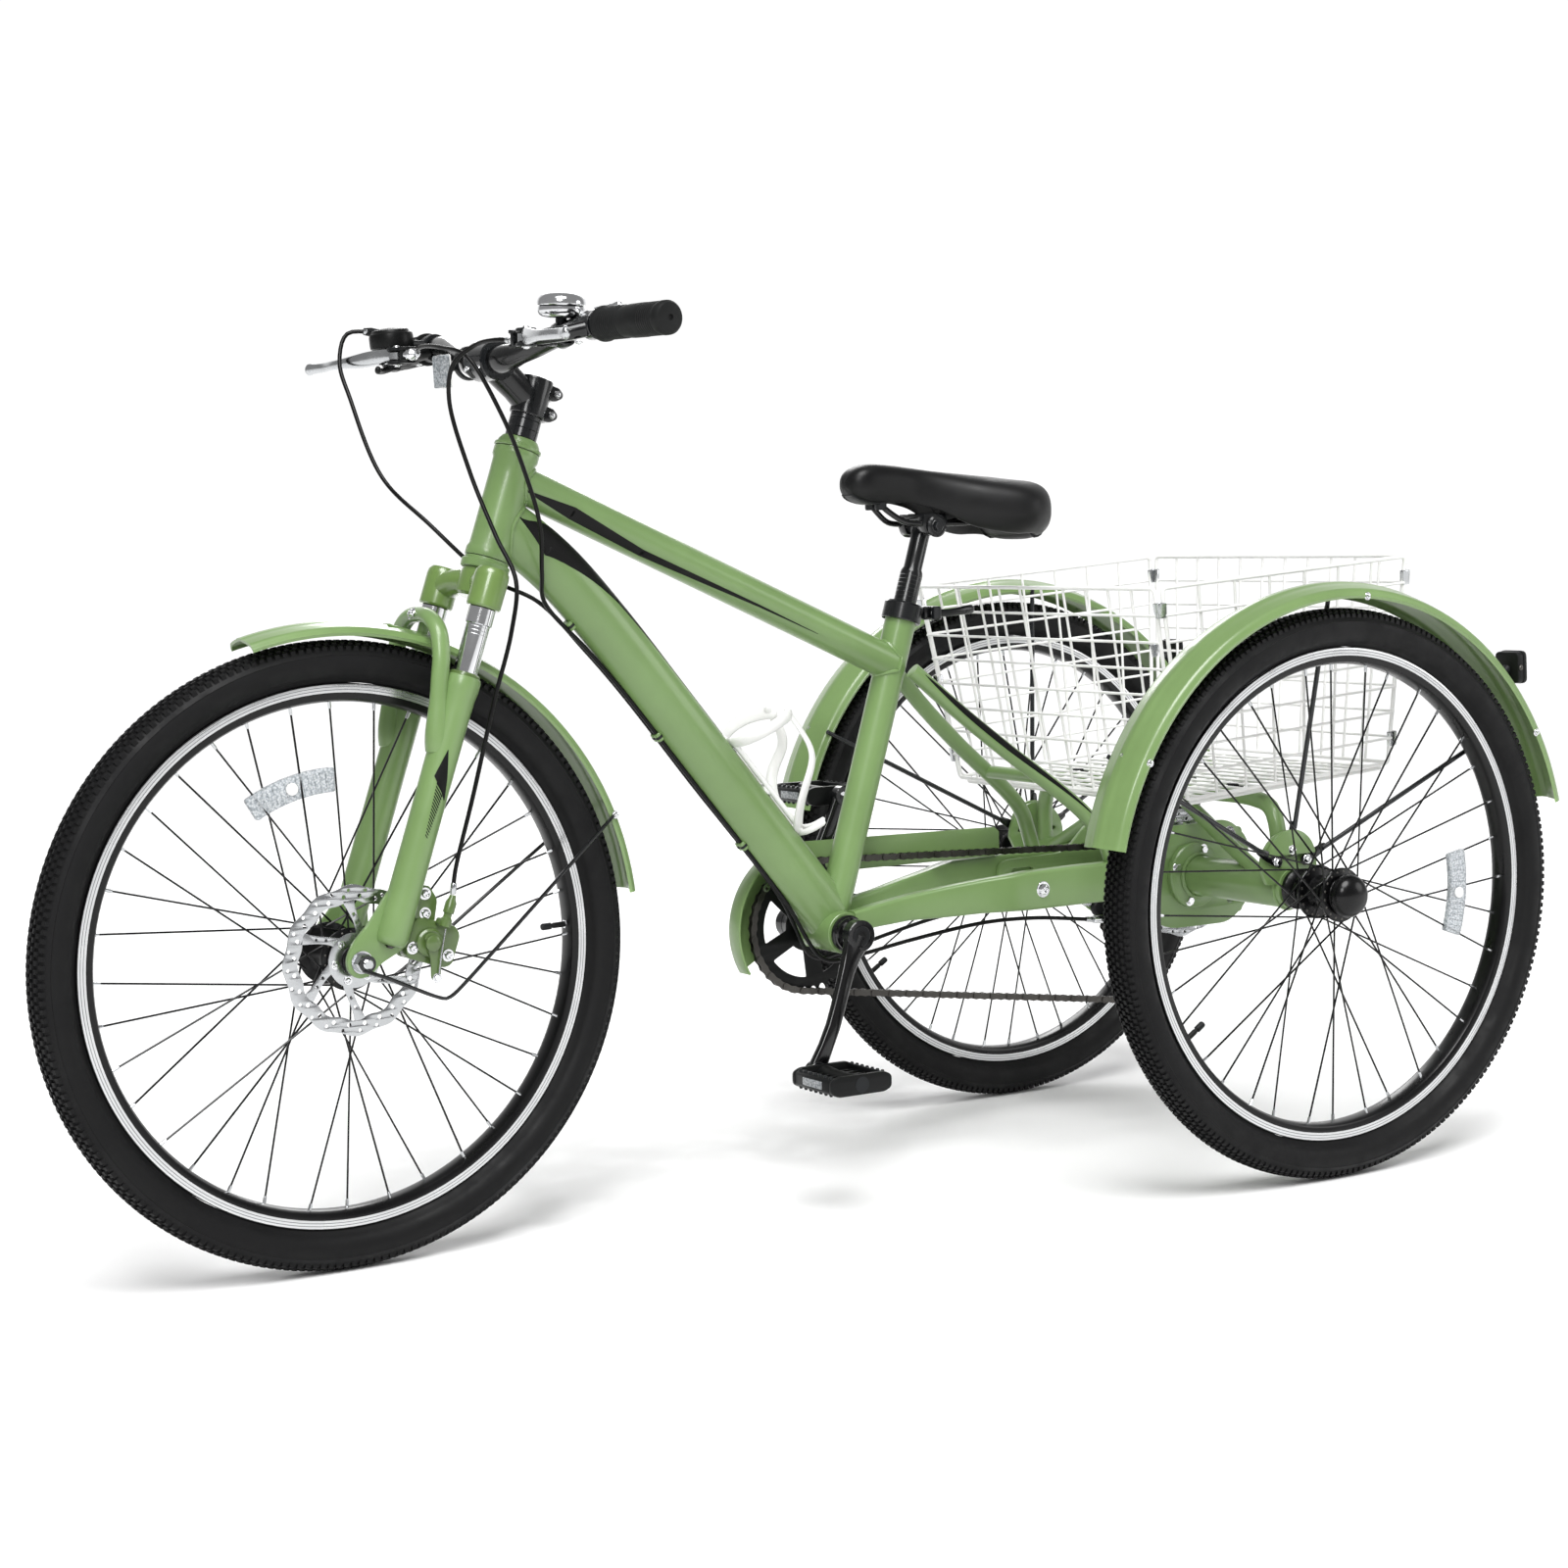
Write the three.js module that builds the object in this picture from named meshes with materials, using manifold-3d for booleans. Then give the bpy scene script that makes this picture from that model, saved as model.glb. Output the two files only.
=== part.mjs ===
// Adult tricycle with a suspension fork, disc brakes, a rear derailleur drive and a wire basket.
// Millimetres. Working frame: X forward from the rear axle, Y to the rider's left, Z up from the ground.
// The exported group is moved so that its origin is the middle of the footprint, on the ground.
import * as THREE from "three";
import { mergeVertices } from "three/addons/utils/BufferGeometryUtils.js";
import Module from "manifold-3d";

const wasm = await Module();
wasm.setup();

// ---------------------------------------------------------------- driving dimensions

const WHEEL = {
  radius: 333, // outside of a 26 x 2.1 inch tyre
  facets: 32,
  tyreHalfWidth: 26.5,
  rimInner: 272,
  rimOuter: 288,
  rimHalfWidth: 14,
  spokes: 18,
  spokeRadius: 1.2,
  spokeCross: 62, // degrees that a spoke leads or trails its hub hole by
};
const WHEELBASE = 1113;
const HALF_TRACK = 317.5;
const ORIGIN_X = 548; // middle of the footprint, ahead of the rear axle
const FIT = 0.3; // gap between pieces that touch
const RUN = 0.3; // gap between a shaft and its hole
const STEER_RUN = 0.7; // gap round the steerer, inside the headset

const AXLE = { x: 0, z: WHEEL.radius, shaft: 8.5, tube: 24.5, tubeBore: 21 };
const BB = { x: 497, z: 303, halfWidth: 36, radius: 24 };
const STEER = { tilt: 19, rake: 42.5, headLow: 450, headHigh: 573, headRadius: 23, steerer: 14.3 };
const FORK = { legY: 58, legX: 17, leg: 16, stanchion: 13, legTop: 317, travel: 50 };
const SEAT_TUBE = { topX: 384, topZ: 672, radius: 18.5, bore: 13.9 };
const DOWN_TUBE = { rise: 17, halfDepth: 31 }; // rise: of its centreline above the bottom bracket
const SEATPOST = { radius: 13.6, neck: 11, headX: 354, headZ: 770, insert: 150 };
const ROTOR = { radius: 80, thickness: 2 };
const CRANK = { length: 165, angle: -62.5, innerY: 76, outerY: 90 };
const CHAIN = { y: -45, halfWidth: 3, halfHeight: 4, ring: 77, sprocket: 28.5, pulley: 18 };
const PULLEY_HIGH = { x: 34, z: 262 };
const PULLEY_LOW = { x: 8, z: 180 };
const BASKET = { x: -18.5, z: 452, length: 332, width: 446, height: 256, tilt: 4.15, flareX: 31, flareY: 17 };
const STEM = { reach: 59, rise: 654 };

const COLOURS = {
  paint: [0x7f9e63, 0.38, 0.1],
  black: [0x17181a, 0.45, 0.2],
  gloss: [0x101113, 0.2, 0.2],
  rubber: [0x1b1b1c, 0.85, 0],
  plastic: [0x202123, 0.6, 0],
  steel: [0xb9bcc0, 0.3, 1],
  dark: [0x4a4b4c, 0.45, 0.9],
  white: [0xeeeeec, 0.4, 0],
  clear: [0xdfe3e6, 0.15, 0],
};

// ---------------------------------------------------------------- helpers

const deg = THREE.MathUtils.degToRad;
const v = (p) => new THREE.Vector3(...p);
const polar = (centre, radius, angle) => [
  centre[0] + radius * Math.cos(deg(angle)),
  centre[1] + radius * Math.sin(deg(angle)),
];

// A closed solid of a three.js geometry; its faces may wind either way.
function solid(geometry) {
  const bare = geometry.index ? geometry.toNonIndexed() : geometry.clone();
  bare.deleteAttribute("normal");
  bare.deleteAttribute("uv");
  const merged = mergeVertices(bare, 1e-3);
  const index = merged.index.array;
  const faces = [];
  for (let i = 0; i < index.length; i += 3) {
    const [a, b, c] = [index[i], index[i + 1], index[i + 2]];
    if (a !== b && b !== c && a !== c) faces.push(a, b, c);
  }
  const vertProperties = merged.attributes.position.array;
  const make = (triVerts) => new wasm.Manifold(new wasm.Mesh({ numProp: 3, vertProperties, triVerts }));
  const made = make(Uint32Array.from(faces));
  if (made.volume() > 0) return made;
  const turned = faces.map((_, i) => faces[i - (i % 3) + [0, 2, 1][i % 3]]);
  return make(Uint32Array.from(turned));
}

const join = (...solids) => solids.flat().reduce((a, b) => a.add(b));
const cut = (body, ...tools) => tools.flat().reduce((a, b) => a.subtract(b), body);

// A round bar or cone from one point to another.
function rod(from, to, radius, sides = 12, endRadius = radius) {
  const [a, b] = [v(from), v(to)];
  const geometry = new THREE.CylinderGeometry(endRadius, radius, a.distanceTo(b), sides);
  const turn = new THREE.Quaternion().setFromUnitVectors(v([0, 1, 0]), b.clone().sub(a).normalize());
  geometry.applyQuaternion(turn);
  geometry.translate(...a.add(b).multiplyScalar(0.5).toArray());
  return solid(geometry);
}

// A round bar that lies along Y at one place in the side view.
const pin = ([x, z], y0, y1, radius, sides = 16) => rod([x, y0, z], [x, y1, z], radius, sides);

// A box between two corners.
function block(low, high) {
  const size = high.map((h, i) => h - low[i]);
  const geometry = new THREE.BoxGeometry(...size);
  geometry.translate(...high.map((h, i) => (h + low[i]) / 2));
  return solid(geometry);
}

// A four-sided beam along X between two ends, each with its own centre, width in Y and height in Z.
function beam(rear, rearSize, front, frontSize) {
  const geometry = new THREE.BoxGeometry(1, 1, 1);
  const place = geometry.attributes.position;
  for (let i = 0; i < place.count; i += 1) {
    const [centre, size] = place.getX(i) < 0 ? [rear, rearSize] : [front, frontSize];
    place.setXYZ(i, centre[0], centre[1] + place.getY(i) * size[0], centre[2] + place.getZ(i) * size[1]);
  }
  return solid(geometry);
}

function outline(points, holes = []) {
  const shape = new THREE.Shape(points.map((p) => new THREE.Vector2(...p)));
  shape.holes = holes.map((hole) => new THREE.Path(hole.map((p) => new THREE.Vector2(...p))));
  return shape;
}

// A flat plate whose outline is drawn in the side view (X, Z), between two places in Y.
function plate(points, y0, y1, holes = []) {
  const settings = { depth: y1 - y0, bevelEnabled: false };
  const geometry = new THREE.ExtrudeGeometry(outline(points, holes), settings);
  geometry.rotateX(Math.PI / 2);
  geometry.translate(0, y1, 0);
  return solid(geometry);
}

const ring = (radius, sides, start = 0) =>
  Array.from({ length: sides }, (_, i) => polar([0, 0], radius, start + (360 * i) / sides));

const arc = (centre, radius, from, to, steps) =>
  Array.from({ length: steps + 1 }, (_, i) => polar(centre, radius, from + ((to - from) * i) / steps));

// A section, (side, out), carried along a curve.
function sweep(curve, section, steps) {
  const settings = { steps, bevelEnabled: false, extrudePath: curve };
  return solid(new THREE.ExtrudeGeometry(outline(section), settings));
}

const smooth = (points) => new THREE.CatmullRomCurve3(points.map(v), false, "centripetal");
const hose = (points, radius, steps, sides = 8) => sweep(smooth(points), ring(radius, sides), steps);

// An arc in the side view about [x, z], at one place in Y, running from one angle to another.
class SideArc extends THREE.Curve {
  constructor(centre, radius, y, from, to) {
    super();
    Object.assign(this, { centre, radius, y, from, to });
  }
  getPoint(t, target = new THREE.Vector3()) {
    const [x, z] = polar(this.centre, this.radius, this.from + (this.to - this.from) * t);
    return target.set(x, this.y, z);
  }
}

// A turned piece about a line parallel to Y: the profile lists [radius, y].
function turned(profile, [x, z], sides = 24, start = 0) {
  const points = profile.map((p) => new THREE.Vector2(...p));
  const geometry = new THREE.LatheGeometry(points, sides, start);
  geometry.translate(x, 0, z);
  return solid(geometry);
}

// A turned piece about any line: the profile lists [radius, distance along the line].
function turnedOn(profile, from, towards, sides = 20) {
  const geometry = new THREE.LatheGeometry(profile.map((p) => new THREE.Vector2(...p)), sides);
  const way = v(towards).sub(v(from)).normalize();
  geometry.applyQuaternion(new THREE.Quaternion().setFromUnitVectors(v([0, 1, 0]), way));
  geometry.translate(...from);
  return solid(geometry);
}

const tubeProfile = (inner, outer, low, high) => [
  [inner, low],
  [outer, low],
  [outer, high],
  [inner, high],
  [inner, low],
];

const trike = new THREE.Group();

function geometryOf(body) {
  const mesh = body.getMesh();
  const geometry = new THREE.BufferGeometry();
  geometry.setAttribute("position", new THREE.BufferAttribute(mesh.vertProperties, 3));
  geometry.setIndex(new THREE.BufferAttribute(mesh.triVerts, 1));
  return geometry;
}

function node(name, colour, body, parent = trike) {
  const geometry = geometryOf(body);
  geometry.computeVertexNormals();
  const [color, roughness, metalness] = COLOURS[colour];
  const made = new THREE.Mesh(geometry, new THREE.MeshStandardMaterial({ color, roughness, metalness }));
  made.name = name;
  parent.add(made);
}

// The steering axis: its own group has Z up the axis, with 0 level with the front axle.
const axisUp = [-Math.sin(deg(STEER.tilt)), 0, Math.cos(deg(STEER.tilt))];
const axisFront = [Math.cos(deg(STEER.tilt)), 0, Math.sin(deg(STEER.tilt))];
const steerBase = [
  WHEELBASE - STEER.rake * axisFront[0],
  0,
  WHEEL.radius - STEER.rake * axisFront[2],
];
const onSteer = (x, y, z) => [
  steerBase[0] + x * axisFront[0] + z * axisUp[0],
  y,
  steerBase[2] + x * axisFront[2] + z * axisUp[2],
];
const steering = new THREE.Group();
steering.position.set(...steerBase);
steering.rotation.y = -deg(STEER.tilt);
trike.add(steering);

// The seat tube's line, rising from the bottom bracket.
const seatRun = v([SEAT_TUBE.topX - BB.x, 0, SEAT_TUBE.topZ - BB.z]);
const seatLength = seatRun.length();
const seatWay = seatRun.clone().normalize();
const onSeat = (s, y = 0) => [BB.x + seatWay.x * s, y, BB.z + seatWay.z * s];

// ---------------------------------------------------------------- wheels

function tyreProfile(y) {
  const half = WHEEL.tyreHalfWidth;
  const outer = WHEEL.radius / Math.cos(Math.PI / WHEEL.facets);
  return [
    [WHEEL.rimOuter + 0.5, y - 13],
    [303, y - half],
    [322, y - half + 2],
    [outer, y - 13],
    [outer, y + 13],
    [322, y + half - 2],
    [303, y + half],
    [WHEEL.rimOuter + 0.5, y + 13],
    [WHEEL.rimOuter + 0.5, y - 13],
  ];
}

// Spokes run from two flanges to the rim, each crossing its neighbours as laced spokes do.
function spokes(centre, y, flangeRadius, flangeY) {
  const middle = (WHEEL.rimInner + WHEEL.rimOuter) / 2;
  return Array.from({ length: WHEEL.spokes }, (_, i) => {
    const side = i % 2 === 0 ? 1 : -1;
    const lead = side * WHEEL.spokeCross;
    const angle = (360 * i) / WHEEL.spokes;
    const hub = polar(centre, flangeRadius, angle + lead);
    const rim = polar(centre, middle, angle);
    const near = flangeY[side > 0 ? 1 : 0];
    return rod([hub[0], near, hub[1]], [rim[0], y + side * 4, rim[1]], WHEEL.spokeRadius, 3);
  });
}

function wheel(centre, y, hubProfile, flangeRadius, flangeY) {
  const rim = turned(
    [
      [WHEEL.rimInner, y - 7],
      [WHEEL.rimInner + 5, y - WHEEL.rimHalfWidth],
      [WHEEL.rimOuter, y - WHEEL.rimHalfWidth],
      [WHEEL.rimOuter, y + WHEEL.rimHalfWidth],
      [WHEEL.rimInner + 5, y + WHEEL.rimHalfWidth],
      [WHEEL.rimInner, y + 7],
      [WHEEL.rimInner, y - 7],
    ],
    centre,
    WHEEL.facets,
    Math.PI / WHEEL.facets,
  );
  return join(rim, turned(hubProfile, centre, 12), spokes(centre, y, flangeRadius, flangeY));
}

function tyre(name, centre, y) {
  const half = Math.PI / WHEEL.facets;
  node(name, "rubber", turned(tyreProfile(y), centre, WHEEL.facets, half));
}

const rotorRing = (radius) => {
  const waves = 8;
  const steps = 24;
  return Array.from({ length: steps }, (_, i) => {
    const angle = (360 * i) / steps;
    return polar([0, 0], radius + 1.6 * Math.cos(deg(angle * waves)) - 1.6, angle);
  });
};

function rotor([x, z], y) {
  const at = (points) => points.map((p) => [p[0] + x, p[1] + z]);
  const windows = Array.from({ length: 6 }, (_, i) => {
    const a = 60 * i;
    return at([...arc([0, 0], 64, a - 20, a + 20, 3), ...arc([0, 0], 30, a + 32, a + 2, 2)]);
  });
  const low = y - ROTOR.thickness / 2;
  return plate(at(rotorRing(ROTOR.radius)), low, low + ROTOR.thickness, windows);
}

function frontWheel() {
  const centre = [WHEELBASE, WHEEL.radius];
  const bore = 5 + RUN;
  const hub = [
    [bore, -47],
    [14, -34],
    [29, -33],
    [29, -29],
    [16, -26],
    [16, 22],
    [29, 25],
    [29, 29],
    [22, 36.6],
    [13.8, 36.6],
    [13.8, 47],
    [bore, 47],
    [bore, -47],
  ];
  node("wheel_front", "black", wheel(centre, 0, hub, 26, [-31, 27]));
  tyre("tyre_front", centre, 0);
  const bored = cut(rotor(centre, 38), pin(centre, 30, 46, 14.4, 20));
  node("rotor_front", "steel", bored);
  const axle = join(
    pin(centre, -77, 77, 5, 12),
    pin(centre, 57.6, 67, 9.5, 6),
    pin(centre, -67, -57.6, 9.5, 6),
  );
  node("axle_front", "steel", axle);
}

function rearWheel(side, name) {
  const centre = [AXLE.x, AXLE.z];
  const bore = AXLE.shaft + RUN;
  const hub = [
    [bore, 252],
    [24, 252],
    [24, 262],
    [17, 264],
    [17, 286],
    [31, 288],
    [31, 292],
    [18, 295],
    [18, 325],
    [31, 327],
    [31, 331],
    [18, 335],
    [24, 344],
    [20, 354],
    [0, 358.5],
    [0, 347],
    [bore, 347],
    [bore, 252],
  ].map(([r, y]) => [r, y * side]);
  const flanges = side > 0 ? [290, 329] : [-329, -290];
  node(`wheel_${name}`, "black", wheel(centre, HALF_TRACK * side, hub, 28, flanges));
  tyre(`tyre_${name}`, centre, HALF_TRACK * side);
}

// The driven shaft carries the brake rotor and turns inside the carrier tube.
function rearAxle() {
  const centre = [AXLE.x, AXLE.z];
  const disc = rotor(centre, 45);
  const shaft = pin(centre, -346, 346, AXLE.shaft, 12);
  node("axle_rear", "steel", join(shaft, disc, pin(centre, 38, 52, 33, 20)));
  const profile = [
    [AXLE.shaft + RUN, -20],
    [57, -20],
    [51, -26],
    [45, -32],
    [38, -38],
    [20, -41],
    [20, -43],
    [CHAIN.sprocket - CHAIN.halfHeight - 0.7, -43.5],
    [CHAIN.sprocket - CHAIN.halfHeight - 0.7, -46.5],
    [20, -47],
    [20, -50],
    [AXLE.shaft + RUN, -50],
    [AXLE.shaft + RUN, -20],
  ];
  node("cassette", "dark", turned(profile, centre, 16));
}

// ---------------------------------------------------------------- frame

const ellipse = (side, out, sides) => ring(1, sides).map(([a, b]) => [a * side, b * out]);

function mainFrame() {
  const head = rod(onSteer(0, 0, STEER.headLow), onSteer(0, 0, STEER.headHigh), STEER.headRadius, 16);
  const topTube = rod([896, 0, 831], [403, 0, 610], 20.5, 12);
  const downPath = smooth([
    [912, 0, 785],
    [878, 0, 761],
    [838, 0, 727],
    [781, 0, 665],
    [700, 0, 567],
    [BB.x, 0, BB.z + DOWN_TUBE.rise],
  ]);
  const downTube = sweep(downPath, ellipse(21, DOWN_TUBE.halfDepth, 12), 10);
  const seatTube = rod([BB.x, 0, BB.z], [SEAT_TUBE.topX, 0, SEAT_TUBE.topZ], SEAT_TUBE.radius, 14);
  const shell = pin([BB.x, BB.z], -BB.halfWidth, BB.halfWidth, BB.radius, 14);
  const sides = [1, -1].map((s) => {
    const stay = smooth([
      [386, 20 * s, 602],
      [330, 34 * s, 551],
      [278, 45 * s, 508],
      [168, 66 * s, 420],
      [146, 76 * s, 385],
      [134, 78 * s, 348],
    ]);
    return join(
      beam([410, 34 * s, 325], [18, 30], [485, 29 * s, 315], [18, 24]),
      beam([322, 58 * s, 333], [20, 40], [411, 34 * s, 325], [18, 30]),
      beam([266, 77.5 * s, 337], [22, 46], [323, 58 * s, 333], [20, 40]),
      beam([100, 77.5 * s, 338], [22, 48], [267, 77.5 * s, 337], [22, 46]),
      sweep(stay, ellipse(9, 10, 7), 8),
    );
  });
  const solidFrame = join(
    head,
    topTube,
    downTube,
    seatTube,
    shell,
    sides,
    pin([225, 468], -52, 52, 8, 10),
    block([425, -30, 306], [441, 30, 322]),
  );
  const bores = [
    rod(onSteer(0, 0, STEER.headLow - 9), onSteer(0, 0, STEER.headHigh + 9), 17.5, 14),
    rod(onSeat(115), onSeat(seatLength + 9), SEAT_TUBE.bore, 12),
    pin([BB.x, BB.z], -BB.halfWidth - 9, BB.halfWidth + 9, 12, 12),
  ];
  node("main_frame", "paint", cut(solidFrame, bores));
}

// The welded rear carrier: two plates, the axle tubes, the basket hoop and its braces.
function rearCarrier() {
  const rim = [
    [205, 317],
    [205, 355],
    [100, 358],
    [62, 394],
    [-60, 398],
    [-92, 372],
    [-92, 294],
    [-60, 268],
    [40, 268],
    [74, 290],
    [96, 316],
  ];
  const centre = [AXLE.x, AXLE.z];
  const sides = [1, -1].map((s) => {
    const range = (near, far) => (s > 0 ? [near, far] : [-far, -near]);
    const bore = AXLE.shaft + RUN;
    const tubeLine = [
      [bore, 58],
      [40, 64],
      [40, 74],
      [AXLE.tube, 76],
      [AXLE.tube, 250],
      [bore, 250],
      [bore, 236],
      [AXLE.tubeBore, 236],
      [AXLE.tubeBore, 76],
      [bore, 74],
      [bore, 58],
    ].map(([r, y]) => [r, y * s]);
    const arch = arc([6, 358], 44, 0, 180, 8);
    const ear = plate([[40, 340], ...arch, [-34, 340]], ...range(242, 248));
    const hoop = hose(
      [
        [4, 226 * s, 345],
        [4, 226 * s, 400],
        [4, 214 * s, 427],
        [4, 186 * s, 436],
        [4, -1 * s, 436],
      ],
      10,
      8,
      7,
    );
    const brace = hose(
      [
        [10, 206 * s, 345],
        [8, 150 * s, 374],
        [6, 96 * s, 404],
        [4, 48 * s, 430],
      ],
      9,
      4,
      7,
    );
    const hole = pin(centre, ...range(50, 70), AXLE.tubeBore, 12);
    const walls = cut(plate(rim, ...range(60, 66)), hole);
    const fitted = cut(join(ear, hoop, brace), pin(centre, ...range(180, 260), AXLE.tube - 1, 12));
    return join(walls, turned(tubeLine, centre, 14), fitted);
  });
  const ties = [380, 286].map((z) => pin([-78, z], -62, 62, 7, 10));
  node("rear_carrier", "paint", join(sides, ties));
}

// A crowned mudguard section: a thin strip, raised in the middle, with a lip along each edge.
function guardSection(half, crown) {
  const wall = 1.6;
  const across = [-1, -0.88, -0.4, 0.4, 0.88, 1];
  const rise = (t) => crown * (1 - t * t) - (Math.abs(t) === 1 ? 4 : 0);
  const outer = across.map((t) => [t * half, rise(t) + wall]);
  const inner = across.map((t) => [t * (half - wall), rise(t)]).reverse();
  return [...outer, ...inner];
}

function mudguards() {
  const section = guardSection(33, 12);
  [
    [1, "rear_fender_left"],
    [-1, "rear_fender_right"],
  ].forEach(([s, name]) => {
    const y = HALF_TRACK * s;
    const shell = sweep(new SideArc([AXLE.x, AXLE.z], 350, y, 13, 165.5), section, 16);
    const stays = [
      [30, 41],
      [94, 9],
      [150, -32],
    ].map(([angle, x]) => {
      const end = polar([AXLE.x, AXLE.z], 350, angle);
      return rod([x, 252.6 * s, 384 - Math.abs(x) * 0.3], [end[0], 286 * s, end[1]], 3.6, 6);
    });
    const foot = plate(arc([6, 366], 40, 20, 160, 6), s > 0 ? 249 : -254, s > 0 ? 254 : -249);
    node(name, "paint", join(shell, stays, foot));
  });
  const front = guardSection(31, 9);
  const curve = new SideArc([STEER.rake, 0], 342, 0, 73.7 - STEER.tilt, 173 - STEER.tilt);
  const shell = sweep(curve, front, 12);
  const stayEnd = polar([STEER.rake, 0], 343, 158 - STEER.tilt);
  const wires = [1, -1].map((s) => {
    const eye = tubeProfile(5.6, 9, 70, 73.5).map(([r, y]) => [r, y * s]);
    const route = [
      [44, 72.5 * s, -7.5],
      [36, 78 * s, -8],
      [17, 79 * s, -9],
      [0, 79 * s, -11],
      [-47, 79 * s, -15],
      [-62, 75 * s, -4],
      [stayEnd[0], 29 * s, stayEnd[1]],
    ];
    return join(turned(eye, [STEER.rake, 0], 8), hose(route, 2.2, 9, 5));
  });
  node("front_fender", "paint", join(shell, wires), steering);
}

function tailLights() {
  [
    [1, "tail_light_left"],
    [-1, "tail_light_right"],
  ].forEach(([s, name]) => {
    const y = HALF_TRACK * s;
    const box = beam([-300, y, 585], [41, 42], [-282, y, 585], [39, 38]);
    const stub = rod([-285, y, 584], [-273.9, y, 574.3], 6, 8);
    node(name, "plastic", join(box, stub));
  });
}

// Hockey-stick guard: a flat strip outside the chain with a flange round the chainring.
function chainGuard() {
  const centre = [BB.x, BB.z];
  const strip = [
    ...arc(centre, 99, -30, 88, 12),
    [210, 398],
    [210, 362],
    [446, 362],
    ...arc(centre, 64, 110, -30, 10),
  ];
  const flange = [...arc(centre, 99, -30, 88, 12), ...arc(centre, 97, 88, -30, 12)];
  node("chain_guard", "paint", join(plate(strip, -63, -61), plate(flange, -62, -40)));
}

// ---------------------------------------------------------------- drive

// The outline that a chain follows round sprockets; side 1 has the sprocket on the left of travel.
function chainLoop(stops, grow) {
  const points = [];
  const count = stops.length;
  const links = stops.map((a, i) => {
    const b = stops[(i + 1) % count];
    const [ra, rb] = [a, b].map((s) => (s.radius + grow * s.side) * s.side);
    const [dx, dz] = [b.x - a.x, b.z - a.z];
    return Math.atan2(dz, dx) + Math.asin((rb - ra) / Math.hypot(dx, dz)) * -1;
  });
  stops.forEach((stop, i) => {
    const inward = links[(i + count - 1) % count];
    const outward = links[i];
    const radius = (stop.radius + grow * stop.side) * stop.side;
    let sweepBy = outward - inward;
    while (sweepBy * stop.side < 0) sweepBy += 2 * Math.PI * stop.side;
    const steps = Math.max(2, Math.ceil(Math.abs(sweepBy) / deg(15)));
    for (let k = 0; k <= steps; k += 1) {
      const heading = inward + (sweepBy * k) / steps - Math.PI / 2;
      points.push([stop.x + radius * Math.cos(heading), stop.z + radius * Math.sin(heading)]);
    }
  });
  return points;
}

const CHAIN_STOPS = [
  { x: BB.x, z: BB.z, radius: CHAIN.ring, side: 1 },
  { x: AXLE.x, z: AXLE.z, radius: CHAIN.sprocket, side: 1 },
  { ...PULLEY_HIGH, radius: CHAIN.pulley, side: -1 },
  { ...PULLEY_LOW, radius: CHAIN.pulley, side: 1 },
];

function chain() {
  const outside = chainLoop(CHAIN_STOPS, CHAIN.halfHeight);
  const inside = chainLoop(CHAIN_STOPS, -CHAIN.halfHeight);
  const [low, high] = [CHAIN.y - CHAIN.halfWidth, CHAIN.y + CHAIN.halfWidth];
  node("chain", "dark", plate(outside, low, high, [inside]));
}

// The derailleur hangs from the carrier plate and holds two pulleys below the sprockets.
function derailleur() {
  const inside = CHAIN.pulley - CHAIN.halfHeight - 1;
  const pulleys = [PULLEY_HIGH, PULLEY_LOW].map((p) => pin([p.x, p.z], -53, -42, inside, 14));
  const cage = plate(
    [
      [PULLEY_HIGH.x - 13, PULLEY_HIGH.z + 12],
      [PULLEY_LOW.x - 12, PULLEY_LOW.z - 8],
      [PULLEY_LOW.x + 10, PULLEY_LOW.z - 12],
      [PULLEY_HIGH.x + 16, PULLEY_HIGH.z - 6],
      [PULLEY_HIGH.x + 24, PULLEY_HIGH.z + 22],
    ],
    -54,
    -50,
  );
  const body = join(pin([52, 284], -59.4, -50, 11, 14), pin([52, 284], -59.4, -56, 9, 6));
  node("rear_derailleur", "plastic", join(pulleys, cage, body));
}

const pedalAt = (turn) => polar([BB.x, BB.z], CRANK.length, CRANK.angle + turn);

function crankArm(side) {
  const turn = side > 0 ? 0 : 180;
  const centre = [BB.x, BB.z];
  const end = pedalAt(turn);
  const [y0, y1] = side > 0 ? [CRANK.innerY, CRANK.outerY] : [-CRANK.outerY, -CRANK.innerY];
  const along = CRANK.angle + turn;
  const edge = (middle, radius, offset) => polar(middle, radius, along + offset);
  const arm = [edge(centre, 15, 90), edge(centre, 15, -90), edge(end, 11, -90), edge(end, 11, 90)];
  return join(plate(arm.reverse(), y0, y1), pin(centre, y0, y1, 18, 18), pin(end, y0, y1, 12, 16));
}

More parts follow.
